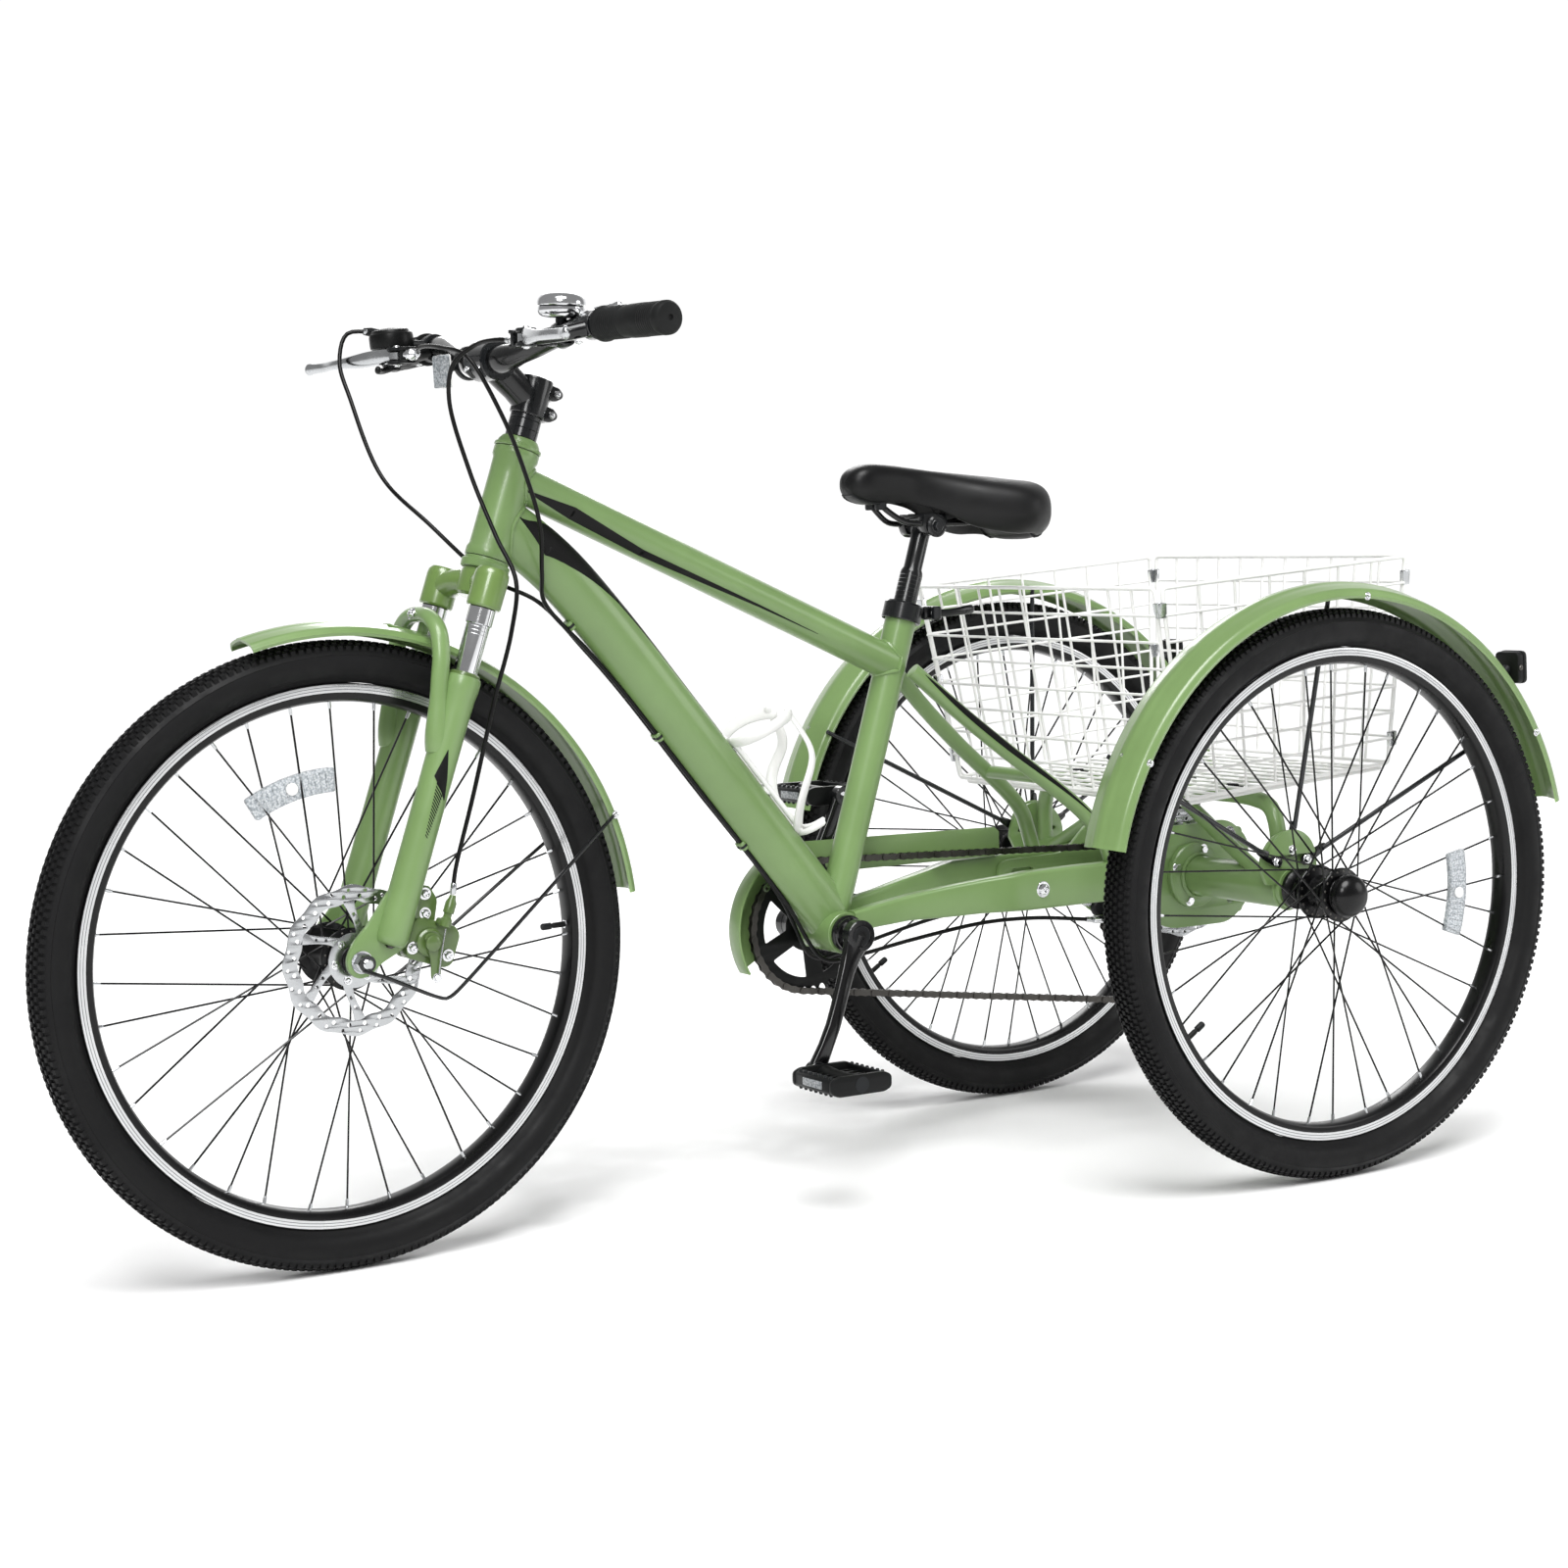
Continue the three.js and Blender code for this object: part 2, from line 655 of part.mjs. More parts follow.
function crankset() {
  const centre = [BB.x, BB.z];
  const boss = pin(centre, 60, 82, 18, 18);
  const socket = pin(centre, 50, 84, 8.5 + RUN, 14);
  node("crank_left", "gloss", cut(join(crankArm(1), boss), socket, pin(pedalAt(0), 70, 96, 6, 12)));
  const arms = Array.from({ length: 5 }, (_, i) => {
    const way = CRANK.angle + 36 + 72 * i;
    const tip = (radius, offset) => {
      const p = polar(centre, radius, way);
      return polar(p, 8, way + offset);
    };
    return plate([tip(8, -90), tip(52, -90), tip(52, 90), tip(8, 90)], -54, -48.5);
  });
  const right = join(
    crankArm(-1),
    pin(centre, -78, -48.5, 18, 18),
    pin(centre, -50, 81, 8.5, 14),
    arms,
  );
  node("crank_right", "gloss", cut(right, pin(pedalAt(180), -96, -70, 6, 12)));
  const inner = CHAIN.ring - CHAIN.halfHeight - 1.2;
  const windows = Array.from({ length: 5 }, (_, i) => {
    const a = CRANK.angle + 72 * i;
    return [...arc(centre, 60, a - 25, a + 25, 3), ...arc(centre, 30, a + 16, a - 16, 2)];
  });
  const disc = plate(arc(centre, inner, 0, 345, 23), -48, -45, windows);
  node("chainring", "plastic", cut(disc, pin(centre, -60, -40, 12, 16)));
}

function pedal(side) {
  const [x, z] = pedalAt(side > 0 ? 0 : 180);
  const range = (near, far) => (side > 0 ? [near, far] : [-far, -near]);
  const bolt = pin([x, z], ...range(78, 110), 5.5, 12);
  const body = [
    [x + 40, z - 8],
    [x + 40, z + 8],
    [x + 30, z + 12],
    [x - 30, z + 12],
    [x - 40, z + 8],
    [x - 40, z - 8],
    [x - 30, z - 12],
    [x + 30, z - 12],
  ];
  const windows = [-24, 24].map((dx) => {
    const [y0, y1] = range(105, 169);
    return block([x + dx - 11, y0, z - 20], [x + dx + 11, y1, z + 20]);
  });
  return join(cut(plate(body.reverse(), ...range(96, 178)), windows), bolt);
}

// ---------------------------------------------------------------- seat

function seat() {
  const [low, high] = [seatLength - 13, seatLength + 9];
  const collar = turnedOn(tubeProfile(SEAT_TUBE.radius + FIT, 23.5, 0, high - low), onSeat(low), onSeat(high));
  const hollow = rod(onSeat(low - 5), onSeat(high + 5), SEAT_TUBE.radius + FIT, 20);
  const ears = cut(block([338, -13, SEAT_TUBE.topZ - 14], [372, 13, SEAT_TUBE.topZ + 6]), hollow);
  const slot = block([330, -1.5, SEAT_TUBE.topZ - 30], [364, 1.5, SEAT_TUBE.topZ + 30]);
  node("seat_clamp", "black", cut(join(collar, ears), slot));
  const leverZ = SEAT_TUBE.topZ - 4;
  const lever = join(
    rod([350, 20, leverZ - 8], [350, 20, leverZ + 8], 6, 12),
    hose([[348, 21, leverZ], [330, 23, leverZ], [300, 22, leverZ + 2], [284, 18, leverZ + 3]], 4, 8, 8),
  );
  node("seat_clamp_lever", "black", lever);

  const lowEnd = onSeat(seatLength - SEATPOST.insert);
  const neckAt = onSeat(seatLength + 46);
  const head = [SEATPOST.headX, 0, SEATPOST.headZ];
  const post = join(
    rod(lowEnd, neckAt, SEATPOST.radius, 12),
    rod(onSeat(seatLength + 44), head, SEATPOST.neck, 12),
    pin([head[0], head[2]], -16, 16, 11, 16),
  );
  node("seatpost", "black", post);

  const span = (x0, x1, y0, y1, z0, z1, s) =>
    block([x0, Math.min(y0 * s, y1 * s), z0], [x1, Math.max(y0 * s, y1 * s), z1]);
  const cheeks = [1, -1].map((s) => span(338, 370, 16.5, 26, 762, 790, s));
  const cap = block([338, -26, 782], [370, 26, 790]);
  const rails = [1, -1].map((s) =>
    hose(
      [
        [422, 10 * s, 792],
        [400, 16 * s, 787],
        [360, 22 * s, 785],
        [300, 24 * s, 783],
        [263, 36 * s, 780],
      ],
      3.5,
      8,
      6,
    ),
  );
  node("saddle_rails", "dark", join(cheeks, cap, rails));

  // The cushion: a ball drawn out between the nose and the tail.
  const ball = new THREE.SphereGeometry(1, 18, 10);
  ball.rotateZ(Math.PI / 2);
  const place = ball.attributes.position;
  const [noseX, tailX] = [466, 186];
  const mix = THREE.MathUtils.lerp;
  const step = (a, b, t) => THREE.MathUtils.smoothstep(t, a, b);
  for (let i = 0; i < place.count; i += 1) {
    const [a, b, c] = [place.getX(i), place.getY(i), place.getZ(i)];
    const t = (1 - a) / 2; // 0 at the nose, 1 at the tail
    const across = Math.hypot(b, c) || 1;
    const fullness = Math.min(1, across ** 0.45) / across;
    const halfWidth = mix(24, 88, step(0.3, 0.75, t));
    const top = mix(843, 823, step(0, 0.6, t)) - 8 * step(0.8, 1, t);
    const base = mix(806, 753, step(0.35, 0.72, t));
    const middle = (top + base) / 2;
    const half = (top - base) / 2;
    const y = b * fullness * halfWidth;
    const z = middle + c * fullness * half;
    place.setXYZ(i, mix(noseX, tailX, t), y, z);
  }
  node("saddle_cover", "gloss", cut(solid(ball), block([262, -46, 700], [424, 46, 797])));
}

// ---------------------------------------------------------------- fork and steering

function fork() {
  const { legX, legY, leg, stanchion, legTop } = FORK;
  const arch = hose(
    [
      [20, legY, 232],
      [32, legY + 1, 262],
      [46, legY, 318],
      [55, 44, 356],
      [58, 22, 368],
      [58, 0, 370],
      [58, -22, 368],
      [55, -44, 356],
      [46, -legY, 318],
      [32, -legY - 1, 262],
      [20, -legY, 232],
    ],
    9.5,
    16,
    7,
  );
  const dropout = [
    [6, 32],
    [-2, -12],
    [20, -22],
    [46, -16],
    [57, 0],
    [50, 16],
    [31, 40],
  ];
  const legs = [1, -1].map((s) => {
    const [y0, y1] = s > 0 ? [50, 57] : [-57, -50];
    return join(
      rod([legX, legY * s, -14], [legX, legY * s, legTop], leg, 14),
      rod([legX, legY * s, legTop - 22], [legX, legY * s, legTop], leg + 2.5, 14),
      plate(dropout, y0, y1),
    );
  });
  const holes = [1, -1].map((s) => rod([legX, legY * s, 60], [legX, legY * s, legTop + 5], stanchion + RUN, 12));
  const axleHole = pin([STEER.rake, 0], -80, 80, 5 + RUN, 12);
  node("fork_lowers", "paint", cut(join(legs, arch), holes, axleHole), steering);

  const { headLow, headHigh, steerer } = STEER;
  const shoulders = [1, -1].map((s) => {
    const top = [0, 0, headLow - 30];
    return join(
      rod([legX, legY * s, 392], [legX, legY * s, 434], 18.5, 14),
      rod([legX, legY * s, 130], [legX, legY * s, 400], stanchion, 12),
      hose([[0, 0, top[2]], [6, 20 * s, top[2] + 2], [14, 44 * s, top[2] - 4], [legX, legY * s, top[2] - 12]], 14, 5, 8),
    );
  });
  const crown = join(
    rod([0, 0, headLow - 44], [0, 0, headLow - 13.5], 24, 16),
    rod([0, 0, headLow - 40], [0, 0, 652], steerer, 16),
    shoulders,
  );
  node("fork_crown", "paint", crown, steering);

  const bore = steerer + STEER_RUN;
  const axial = (profile) => turnedOn(profile, [0, 0, 0], [0, 0, 1], 16);
  const cup = (profile) => axial([...profile, profile[0]]);
  const lowCup = [[bore, headLow - 13], [26, headLow - 13], [27, headLow - 4], [24, headLow - FIT], [bore, headLow - FIT]];
  const highCup = [[bore, headHigh + FIT], [26, headHigh + FIT], [25, headHigh + 4], [19.5, headHigh + 13], [bore, headHigh + 13]];
  node("headset_lower", "paint", cup(lowCup), steering);
  node("headset_upper", "paint", cup(highCup), steering);
  node("headset_spacers", "black", axial(tubeProfile(bore, 17.5, headHigh + 13.3, headHigh + 39)), steering);

  const stemLow = headHigh + 39.3;
  const barCentre = [STEM.reach, 0, STEM.rise];
  const stem = join(
    rod([0, 0, stemLow], [0, 0, 655], 19.5, 18),
    rod([0, 0, 632], barCentre, 16, 14),
    rod([barCentre[0], -22, barCentre[2]], [barCentre[0], 22, barCentre[2]], 22, 18),
    block([-34, -10, stemLow + 1], [-8, 10, stemLow + 12]),
    block([-34, -10, 640], [-8, 10, 652]),
  );
  const stemBores = [
    rod([0, 0, stemLow - 9], [0, 0, 653], steerer + RUN, 16),
    rod([barCentre[0], -40, barCentre[2]], [barCentre[0], 40, barCentre[2]], 16.2, 18),
  ];
  node("stem", "black", cut(stem, stemBores), steering);
}

// The handlebar rises and sweeps back from the stem, then runs straight through each grip.
const [barX, , barZ] = onSteer(STEM.reach, 0, STEM.rise);
const BAR_RADIUS = 11.1;
const barAt = (s, y) => [892.3 - 0.074 * (y - 165), y * s, 982.5 - 0.0148 * (y - 165)];
const barBend = (s, radius, start = 0) =>
  hose(
    [
      [barX, start * s, barZ],
      [barX, 36 * s, barZ],
      [910, 80 * s, 963],
      [899.5, 130 * s, 975],
      barAt(s, 165),
    ],
    radius,
    8,
    10,
  );

function cockpit() {
  const halves = [1, -1].map((s) => [
    barBend(s, BAR_RADIUS),
    rod(barAt(s, 164), barAt(s, 316), BAR_RADIUS, 12),
  ]);
  const middle = rod([barX, -46, barZ], [barX, 46, barZ], 15.9, 12);
  node("handlebar", "black", join(halves.flat(), middle));

  [
    [1, "grip_left"],
    [-1, "grip_right"],
  ].forEach(([s, name]) => {
    const [from, to] = [barAt(s, 206), barAt(s, 326)];
    const length = v(from).distanceTo(v(to));
    const bore = BAR_RADIUS + RUN;
    const profile = [
      [bore, 0],
      [18, 0],
      [16, 12],
      [16.5, length - 12],
      [12, length - 1],
      [0, length],
      [0, length - 6],
      [bore, length - 6],
      [bore, 0],
    ];
    node(name, "rubber", turnedOn(profile, from, to, 12));
  });

  // Lever clamps: a ring on the bar with a horn that reaches forward to the lever pivot.
  [1, -1].forEach((s) => {
    const name = s > 0 ? "left" : "right";
    const hole = rod(barAt(s, 150), barAt(s, 230), BAR_RADIUS + RUN, 12);
    const [px, py, pz] = [952, 156 * s, 970.5];
    const span = (x0, x1, y0, y1, z0, z1) =>
      block([x0, Math.min(y0 * s, y1 * s), z0], [x1, Math.max(y0 * s, y1 * s), z1]);
    const horn = [
      [898, 190 * s, 979],
      [920, 182 * s, 974],
      [940, 166 * s, 971],
      [px, py, pz],
    ];
    const body = join(
      rod(barAt(s, 183), barAt(s, 198), 15.5, 12),
      hose(horn, 9.5, 4, 7),
      rod([px, py, pz - 9.5], [px, py, pz + 9.5], 11, 10),
      span(941, 962, 128, 148, pz - 9.5, pz + 9.5),
      rod([951, 132 * s, pz], [948, 120 * s, pz], 6, 8),
    );
    const slotted = cut(body, hole, span(928, 990, 142, 210, pz - 5, pz + 5));
    if (s > 0) {
      node("lever_clamp_left", "black", slotted);
    } else {
      const cover = [
        [0, -13],
        [21, -13],
        [25, -8],
        [25, 7],
        [20, 14],
        [0, 15],
      ];
      const pod = turnedOn(cover, [938, -199, 990], [939, -199, 1001], 16);
      const neck = rod([902, -190, 983], [930, -196, 985], 7, 10);
      node("shifter_body", "plastic", cut(join(slotted, neck, pod), hole));
    }
    const play = 0.7;
    const route = [
      [px, py, pz],
      [962, 176 * s, 970.5],
      [974, 206 * s, 968],
      [984, 250 * s, 966],
      [983, 290 * s, 965],
      [990, 312 * s, 964],
    ];
    const blade = hose(route, 5 - play, 9, 7);
    const knuckle = rod([px, py, pz - 5 + play], [px, py, pz + 5 - play], 9, 12);
    node(`brake_lever_${name}`, "steel", join(blade, knuckle));
  });
  const thumb = [
    [938, -199, 960],
    [954, -190, 956],
    [968, -172, 955],
    [975, -156, 955],
  ];
  const thumbHub = rod([938, -199, 957], [938, -199, 967.5], 10, 12);
  node("shift_lever", "plastic", join(hose(thumb, 3.5, 6, 8), thumbHub));

  // Bell on the left, between the stem and the lever clamp.
  const strap = rod([902.6, 130, 973], [898, 146, 978], 15, 12);
  const domeProfile = [
    [0, 14],
    [21, 14],
    [23.5, 18],
    [23.5, 25],
    [17, 34],
    [0, 37],
  ];
  const dome = turnedOn(domeProfile, [902, 138, 977], [902, 135, 991], 16);
  const neck = rod([902, 138, 984], [902, 136, 994], 7, 10);
  const arm = rod([882, 142, 990.7], [873, 168, 990.7], 3, 6);
  node("bell", "steel", cut(join(strap, neck, dome, arm), barBend(1, BAR_RADIUS + 0.6, -20)));
  const striker = hose(
    [
      [873, 167, 998],
      [868, 177, 1001],
      [861, 188, 1003],
    ],
    3.5,
    4,
    6,
  );
  node("bell_striker", "steel", join(striker, rod([873, 167, 994], [873, 167, 1002], 5, 8)));

  const reflector = beam([944, -48, 948], [25, 34], [956, -48, 947], [26, 36]);
  const bracket = rod([933.5, -48, 953], [946, -48, 950], 4, 8);
  node("front_reflector", "clear", join(reflector, bracket));
}

// ---------------------------------------------------------------- brakes

function brakes() {
  const frontBody = join(
    block([-58, 29, 16], [-1, 66, 62]),
    block([-26, 52, 60], [-1, 66, 84]),
    rod([-31, 72, 66], [-31, 72, 92], 5, 10),
    block([-37, 57, 58], [-25, 76, 72]),
  );
  const frontSlot = block([-42, 35.5, 0], [10, 40.5, 90]);
  node("front_brake_caliper", "paint", cut(frontBody, frontSlot), steering);
  const frontArm = plate(
    [...arc([-24, 38], 11, 20, 180, 6), [-46, 4], [-36, 0]].reverse(),
    66.6,
    70,
  );
  node("front_brake_arm", "paint", join(frontArm, pin([-24, 38], 66.6, 74, 8, 12)), steering);

  const rearBody = join(block([60, 30, 262], [112, 58.5, 314]), rod([110, 36, 284], [134, 36, 286], 5, 10));
  node("rear_brake_caliper", "plastic", cut(rearBody, block([40, 42.5, 258], [106, 47.5, 330])));
  const rearArm = plate([...arc([92, 292], 10, 180, 0, 6), [104, 258], [92, 256]], 25, 28.4);
  node("rear_brake_arm", "plastic", join(rearArm, pin([92, 292], 22, 29.4, 7, 12)));
}

// ---------------------------------------------------------------- bottle cage and basket

// Rings on a strip along the upper face of the down tube, open at the top.
function bottleCage() {
  const way = v([0.636, 0, 0.772]).normalize();
  const off = v([-way.z, 0, way.x]);
  const base = v([BB.x, 0, BB.z]);
  const at = (s, out) => base.clone().addScaledVector(way, s).addScaledVector(off, out).toArray();
  const middle = 82.8;
  const hoop = tubeProfile(37, 40.5, 0, 16);
  const ringAt = (s) => turnedOn(hoop, at(s, middle), at(s + 10, middle), 14);
  const strip = [
    at(118, middle - 40.5),
    at(118, middle - 36),
    at(262, middle - 36),
    at(262, middle - 40.5),
  ].map((p) => [p[0], p[2]]);
  const tips = [80, -80].map((angle) => {
    const side = 39 * Math.sin(deg(angle));
    const out = middle - 39 * Math.cos(deg(angle));
    const [a, b] = [at(122, out), at(232, out)];
    return rod([a[0], side, a[2]], [b[0], side, b[2]], 3.4, 6);
  });
  const shelf = turnedOn(tubeProfile(22, 40.5, 0, 4), at(114, middle), at(124, middle), 14);
  node("bottle_cage", "white", join(plate(strip, -12, 12), ringAt(114), ringAt(226), shelf, tips));
}

// A wire panel as a grid: columns and rows of square openings in a tapering outline.
function grid(bottom, top, height, columns, rows) {
  const wall = 3.5;
  const bar = 5;
  const half = (y) => (bottom + ((top - bottom) * y) / height) / 2;
  const corner = (u, y, dx, dy) => [half(y + dy) * (2 * u - 1) + dx, y + dy];
  const holes = [];
  for (let i = 0; i < columns; i += 1) {
    for (let j = 0; j < rows; j += 1) {
      const [u0, u1] = [i / columns, (i + 1) / columns];
      const [y0, y1] = [(height * j) / rows, (height * (j + 1)) / rows];
      holes.push([
        corner(u0, y0, bar / 2, bar / 2),
        corner(u1, y0, -bar / 2, bar / 2),
        corner(u1, y1, -bar / 2, -bar / 2),
        corner(u0, y1, bar / 2, -bar / 2),
      ]);
    }
  }
  const rim = [
    [-half(0) - bar / 2, -bar / 2],
    [half(0) + bar / 2, -bar / 2],
    [half(height) + bar / 2, height + bar / 2],
    [-half(height) - bar / 2, height + bar / 2],
  ];
  const slab = (points, depth) => {
    const geometry = new THREE.ExtrudeGeometry(outline(points), { depth, bevelEnabled: false });
    geometry.translate(0, 0, -depth / 2);
    return solid(geometry);
  };
  return geometryOf(cut(slab(rim, wall), holes.map((hole) => slab(hole, 2 * wall))));
}

function basket() {
  const group = new THREE.Group();
  group.position.set(BASKET.x, 0, BASKET.z);
  group.rotation.y = deg(BASKET.tilt);
  trike.add(group);
  const { length, width, height, flareX, flareY } = BASKET;
  const inset = 16; // a panel stops short of its corners, where clips hold it
  const lift = 6;
  const panel = (name, span, topSpan, flare, reach, turn) => {
    const slant = Math.hypot(height, flare);
    const geometry = grid(span - inset, topSpan - inset, slant - lift, 6, 3);
    geometry.rotateX(Math.PI / 2 + Math.atan2(flare, height));
    geometry.translate(0, -reach - (flare * lift) / slant, lift);
    geometry.rotateZ(deg(turn));
    node(name, "white", solid(geometry), group);
  };
  panel("basket_front", width, width + 2 * flareY, flareX, length / 2, 90);
  panel("basket_rear", width, width + 2 * flareY, flareX, length / 2, -90);
  panel("basket_left", length, length + 2 * flareX, flareY, width / 2, 180);
  panel("basket_right", length, length + 2 * flareX, flareY, width / 2, 0);
  const floor = grid(width - inset, width - inset, length - inset, 6, 4);
  floor.rotateZ(Math.PI / 2);
  floor.translate((length - inset) / 2, 0, 0);
  node("basket_floor", "white", solid(floor), group);
}

// ---------------------------------------------------------------- cables

// A place under the down tube: s along it from the bottom bracket, y across it.
const underTube = (s, y) => {
  const way = v([0.6334, 0, 0.7738]);
  const below = v([way.z, 0, -way.x]).multiplyScalar(DOWN_TUBE.halfDepth + 5);
  return [BB.x + way.x * s + below.x, y, BB.z + DOWN_TUBE.rise + way.z * s + below.z];
};

function cables() {
  const shift = [
    [950, -222, 1002],
    [975, -236, 1000],
    [990, -226, 968],
    [990, -200, 925],
    [978, -150, 838],
    [953, -84, 784],
    [900, -46, 722],
    [838, -14, 650],
    underTube(380, -9),
    underTube(250, -9),
    underTube(60, -9),
    [512, -12, 271],
    [472, -16, 272],
    [400, -26, 285],
    [306, -40, 298],
    [200, -54, 303],
    [110, -55, 300],
    [68, -55, 290],
  ];
  node("cable_shift", "rubber", hose(shift, 2.5, 44, 5));
  const rear = [
    [946, -116, 970],
    [955, -90, 976],
    [958, -30, 972],
    [952, 22, 958],
    [925, 42, 898],
    [902, 45, 840],
    [884, 44, 780],
    [862, 40, 700],
    [826, 20, 640],
    underTube(380, 9),
    underTube(250, 9),
    underTube(60, 9),
    [512, 12, 271],
    [472, 16, 272],
    [400, 28, 285],
    [306, 42, 298],
    [230, 42, 297],
    [136, 36, 286],
  ];
  node("cable_rear_brake", "rubber", hose(rear, 2.5, 44, 5));
  const front = [
    [946, 116, 970],
    [956, 92, 972],
    [962, 56, 968],
    [974, 30, 950],
    [974, 18, 915],
    [958, 28, 840],
    [944, 58, 770],
    [936, 86, 722],
    [944, 88, 670],
    [964, 84, 600],
    [990, 80, 500],
    [1013, 72, 415],
  ];
  node("cable_front_brake", "rubber", hose(front, 2.5, 28, 5));
}

// ---------------------------------------------------------------- assembly

mainFrame();
rearCarrier();
mudguards();
tailLights();
chainGuard();
bottleCage();
basket();
seat();
fork();
cockpit();
brakes();
frontWheel();
rearWheel(1, "rear_left");
rearWheel(-1, "rear_right");
rearAxle();
crankset();
node("pedal_left", "plastic", pedal(1));
node("pedal_right", "plastic", pedal(-1));
derailleur();
chain();
cables();

trike.position.x = -ORIGIN_X;

export default trike;
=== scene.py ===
# The looks of an adult tricycle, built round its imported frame.
import math

import bmesh
import bpy
from mathutils import Matrix, Vector


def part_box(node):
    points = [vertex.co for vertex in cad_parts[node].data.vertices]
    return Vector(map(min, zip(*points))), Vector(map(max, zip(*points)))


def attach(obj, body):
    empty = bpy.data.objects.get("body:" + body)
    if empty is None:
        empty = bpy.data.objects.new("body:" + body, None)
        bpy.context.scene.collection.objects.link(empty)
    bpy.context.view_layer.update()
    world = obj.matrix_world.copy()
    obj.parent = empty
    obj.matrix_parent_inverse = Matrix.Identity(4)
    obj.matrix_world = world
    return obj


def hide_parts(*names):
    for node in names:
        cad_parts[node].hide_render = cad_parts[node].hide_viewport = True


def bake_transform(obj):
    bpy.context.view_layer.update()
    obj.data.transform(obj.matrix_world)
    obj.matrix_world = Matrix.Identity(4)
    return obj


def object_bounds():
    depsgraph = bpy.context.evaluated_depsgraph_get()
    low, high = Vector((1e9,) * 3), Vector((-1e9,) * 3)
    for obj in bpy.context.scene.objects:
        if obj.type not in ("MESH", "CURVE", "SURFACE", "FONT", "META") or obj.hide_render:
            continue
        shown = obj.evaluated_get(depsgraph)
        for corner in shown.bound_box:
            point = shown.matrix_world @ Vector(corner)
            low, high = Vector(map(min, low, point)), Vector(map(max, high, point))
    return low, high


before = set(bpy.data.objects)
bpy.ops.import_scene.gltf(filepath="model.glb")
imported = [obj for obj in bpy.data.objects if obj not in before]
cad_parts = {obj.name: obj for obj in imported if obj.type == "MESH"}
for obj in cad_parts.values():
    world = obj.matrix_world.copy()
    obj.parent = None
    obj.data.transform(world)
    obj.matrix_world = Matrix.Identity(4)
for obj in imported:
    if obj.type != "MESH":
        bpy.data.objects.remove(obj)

cad_low, cad_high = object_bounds()

# ---------------------------------------------------------------- places
# Shapes are drawn in the tricycle's own millimetres: X forward from the rear axle,
# Y to the rider's left and Z up from the ground.


def middle_of(node):
    """The middle of a CAD node's box, in metres."""
    low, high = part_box(node)
    return (low + high) / 2


REAR = middle_of("tyre_rear_left")
FRONT = middle_of("tyre_front")
MM = 0.001
REAR_X = REAR.x
WHEEL_Z = REAR.z / MM
HALF_TRACK = REAR.y / MM
WHEELBASE = (FRONT.x - REAR.x) / MM
TYRE_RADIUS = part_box("tyre_front")[1].z / MM - WHEEL_Z
TREAD_FLOOR = TYRE_RADIUS - 3.2
RIM_OUTER = 288
RIM_INNER = 272
SPOKES = 36

TILT = math.radians(19)  # of the steering axis, back from upright
RAKE = 42.5  # of the front axle, ahead of the steering axis
STEER_UP = Vector((-math.sin(TILT), 0, math.cos(TILT)))
STEER_AHEAD = Vector((math.cos(TILT), 0, math.sin(TILT)))
STEER_BASE = Vector((WHEELBASE, 0, WHEEL_Z)) - RAKE * STEER_AHEAD
ON_STEER = Matrix.Translation(STEER_BASE) @ Matrix.Rotation(-TILT, 4, "Y")
AS_BUILT = Matrix.Identity(4)
SIDES = (1, -1)
LEFT_AND_RIGHT = ((1, "left"), (-1, "right"))

BB = Vector((497, 0, 303))  # bottom bracket
SEAT_TOP = Vector((384, 0, 672))
SEAT_WAY = (SEAT_TOP - BB).normalized()
SEAT_LENGTH = (SEAT_TOP - BB).length
CRANK_LENGTH = 165
CRANK_ANGLE = -62.5
CHAIN_Y = -45


def on_steer(x, y, z):
    """A place in the steering's own tilted frame."""
    return ON_STEER @ Vector((x, y, z))


def polar(centre, radius, degrees):
    """A flat place at a distance and an angle from a centre."""
    turn = math.radians(degrees)
    return (centre[0] + radius * math.cos(turn), centre[1] + radius * math.sin(turn))


def arc(centre, radius, start, end, steps):
    """Even places along an arc between two angles."""
    return [polar(centre, radius, start + (end - start) * i / steps) for i in range(steps + 1)]


def mix(a, b, t):
    """The number a share t of the way from a to b."""
    return a + (b - a) * t


def between(a, b):
    """The same as a function of the share."""
    return lambda t: mix(a, b, t)


def ease(low, high, t):
    """0 below low, 1 above high and a smooth rise between them."""
    t = min(1, max(0, (t - low) / (high - low)))
    return t * t * (3 - 2 * t)


def taper(path, start, end, low=None, high=1):
    """Radii that change evenly along a path, or smoothly between two shares of it."""
    last = len(path) - 1
    shares = [i / last for i in range(last + 1)]
    if low is not None:
        shares = [ease(low, high, share) for share in shares]
    return [mix(start, end, share) for share in shares]


def mirrored(points, side):
    """The same places on the left or the right."""
    return [(x, y * side, z) for x, y, z in points]


def on_side(profile, side, shift=0):
    """A turned profile whose distances are measured out to the left or the right."""
    return [(radius, along * side - shift) for radius, along in profile]


def span(side, near, far):
    """Two distances from the middle as the low and the high end of a depth on one side."""
    return (near, far) if side > 0 else (-far, -near)


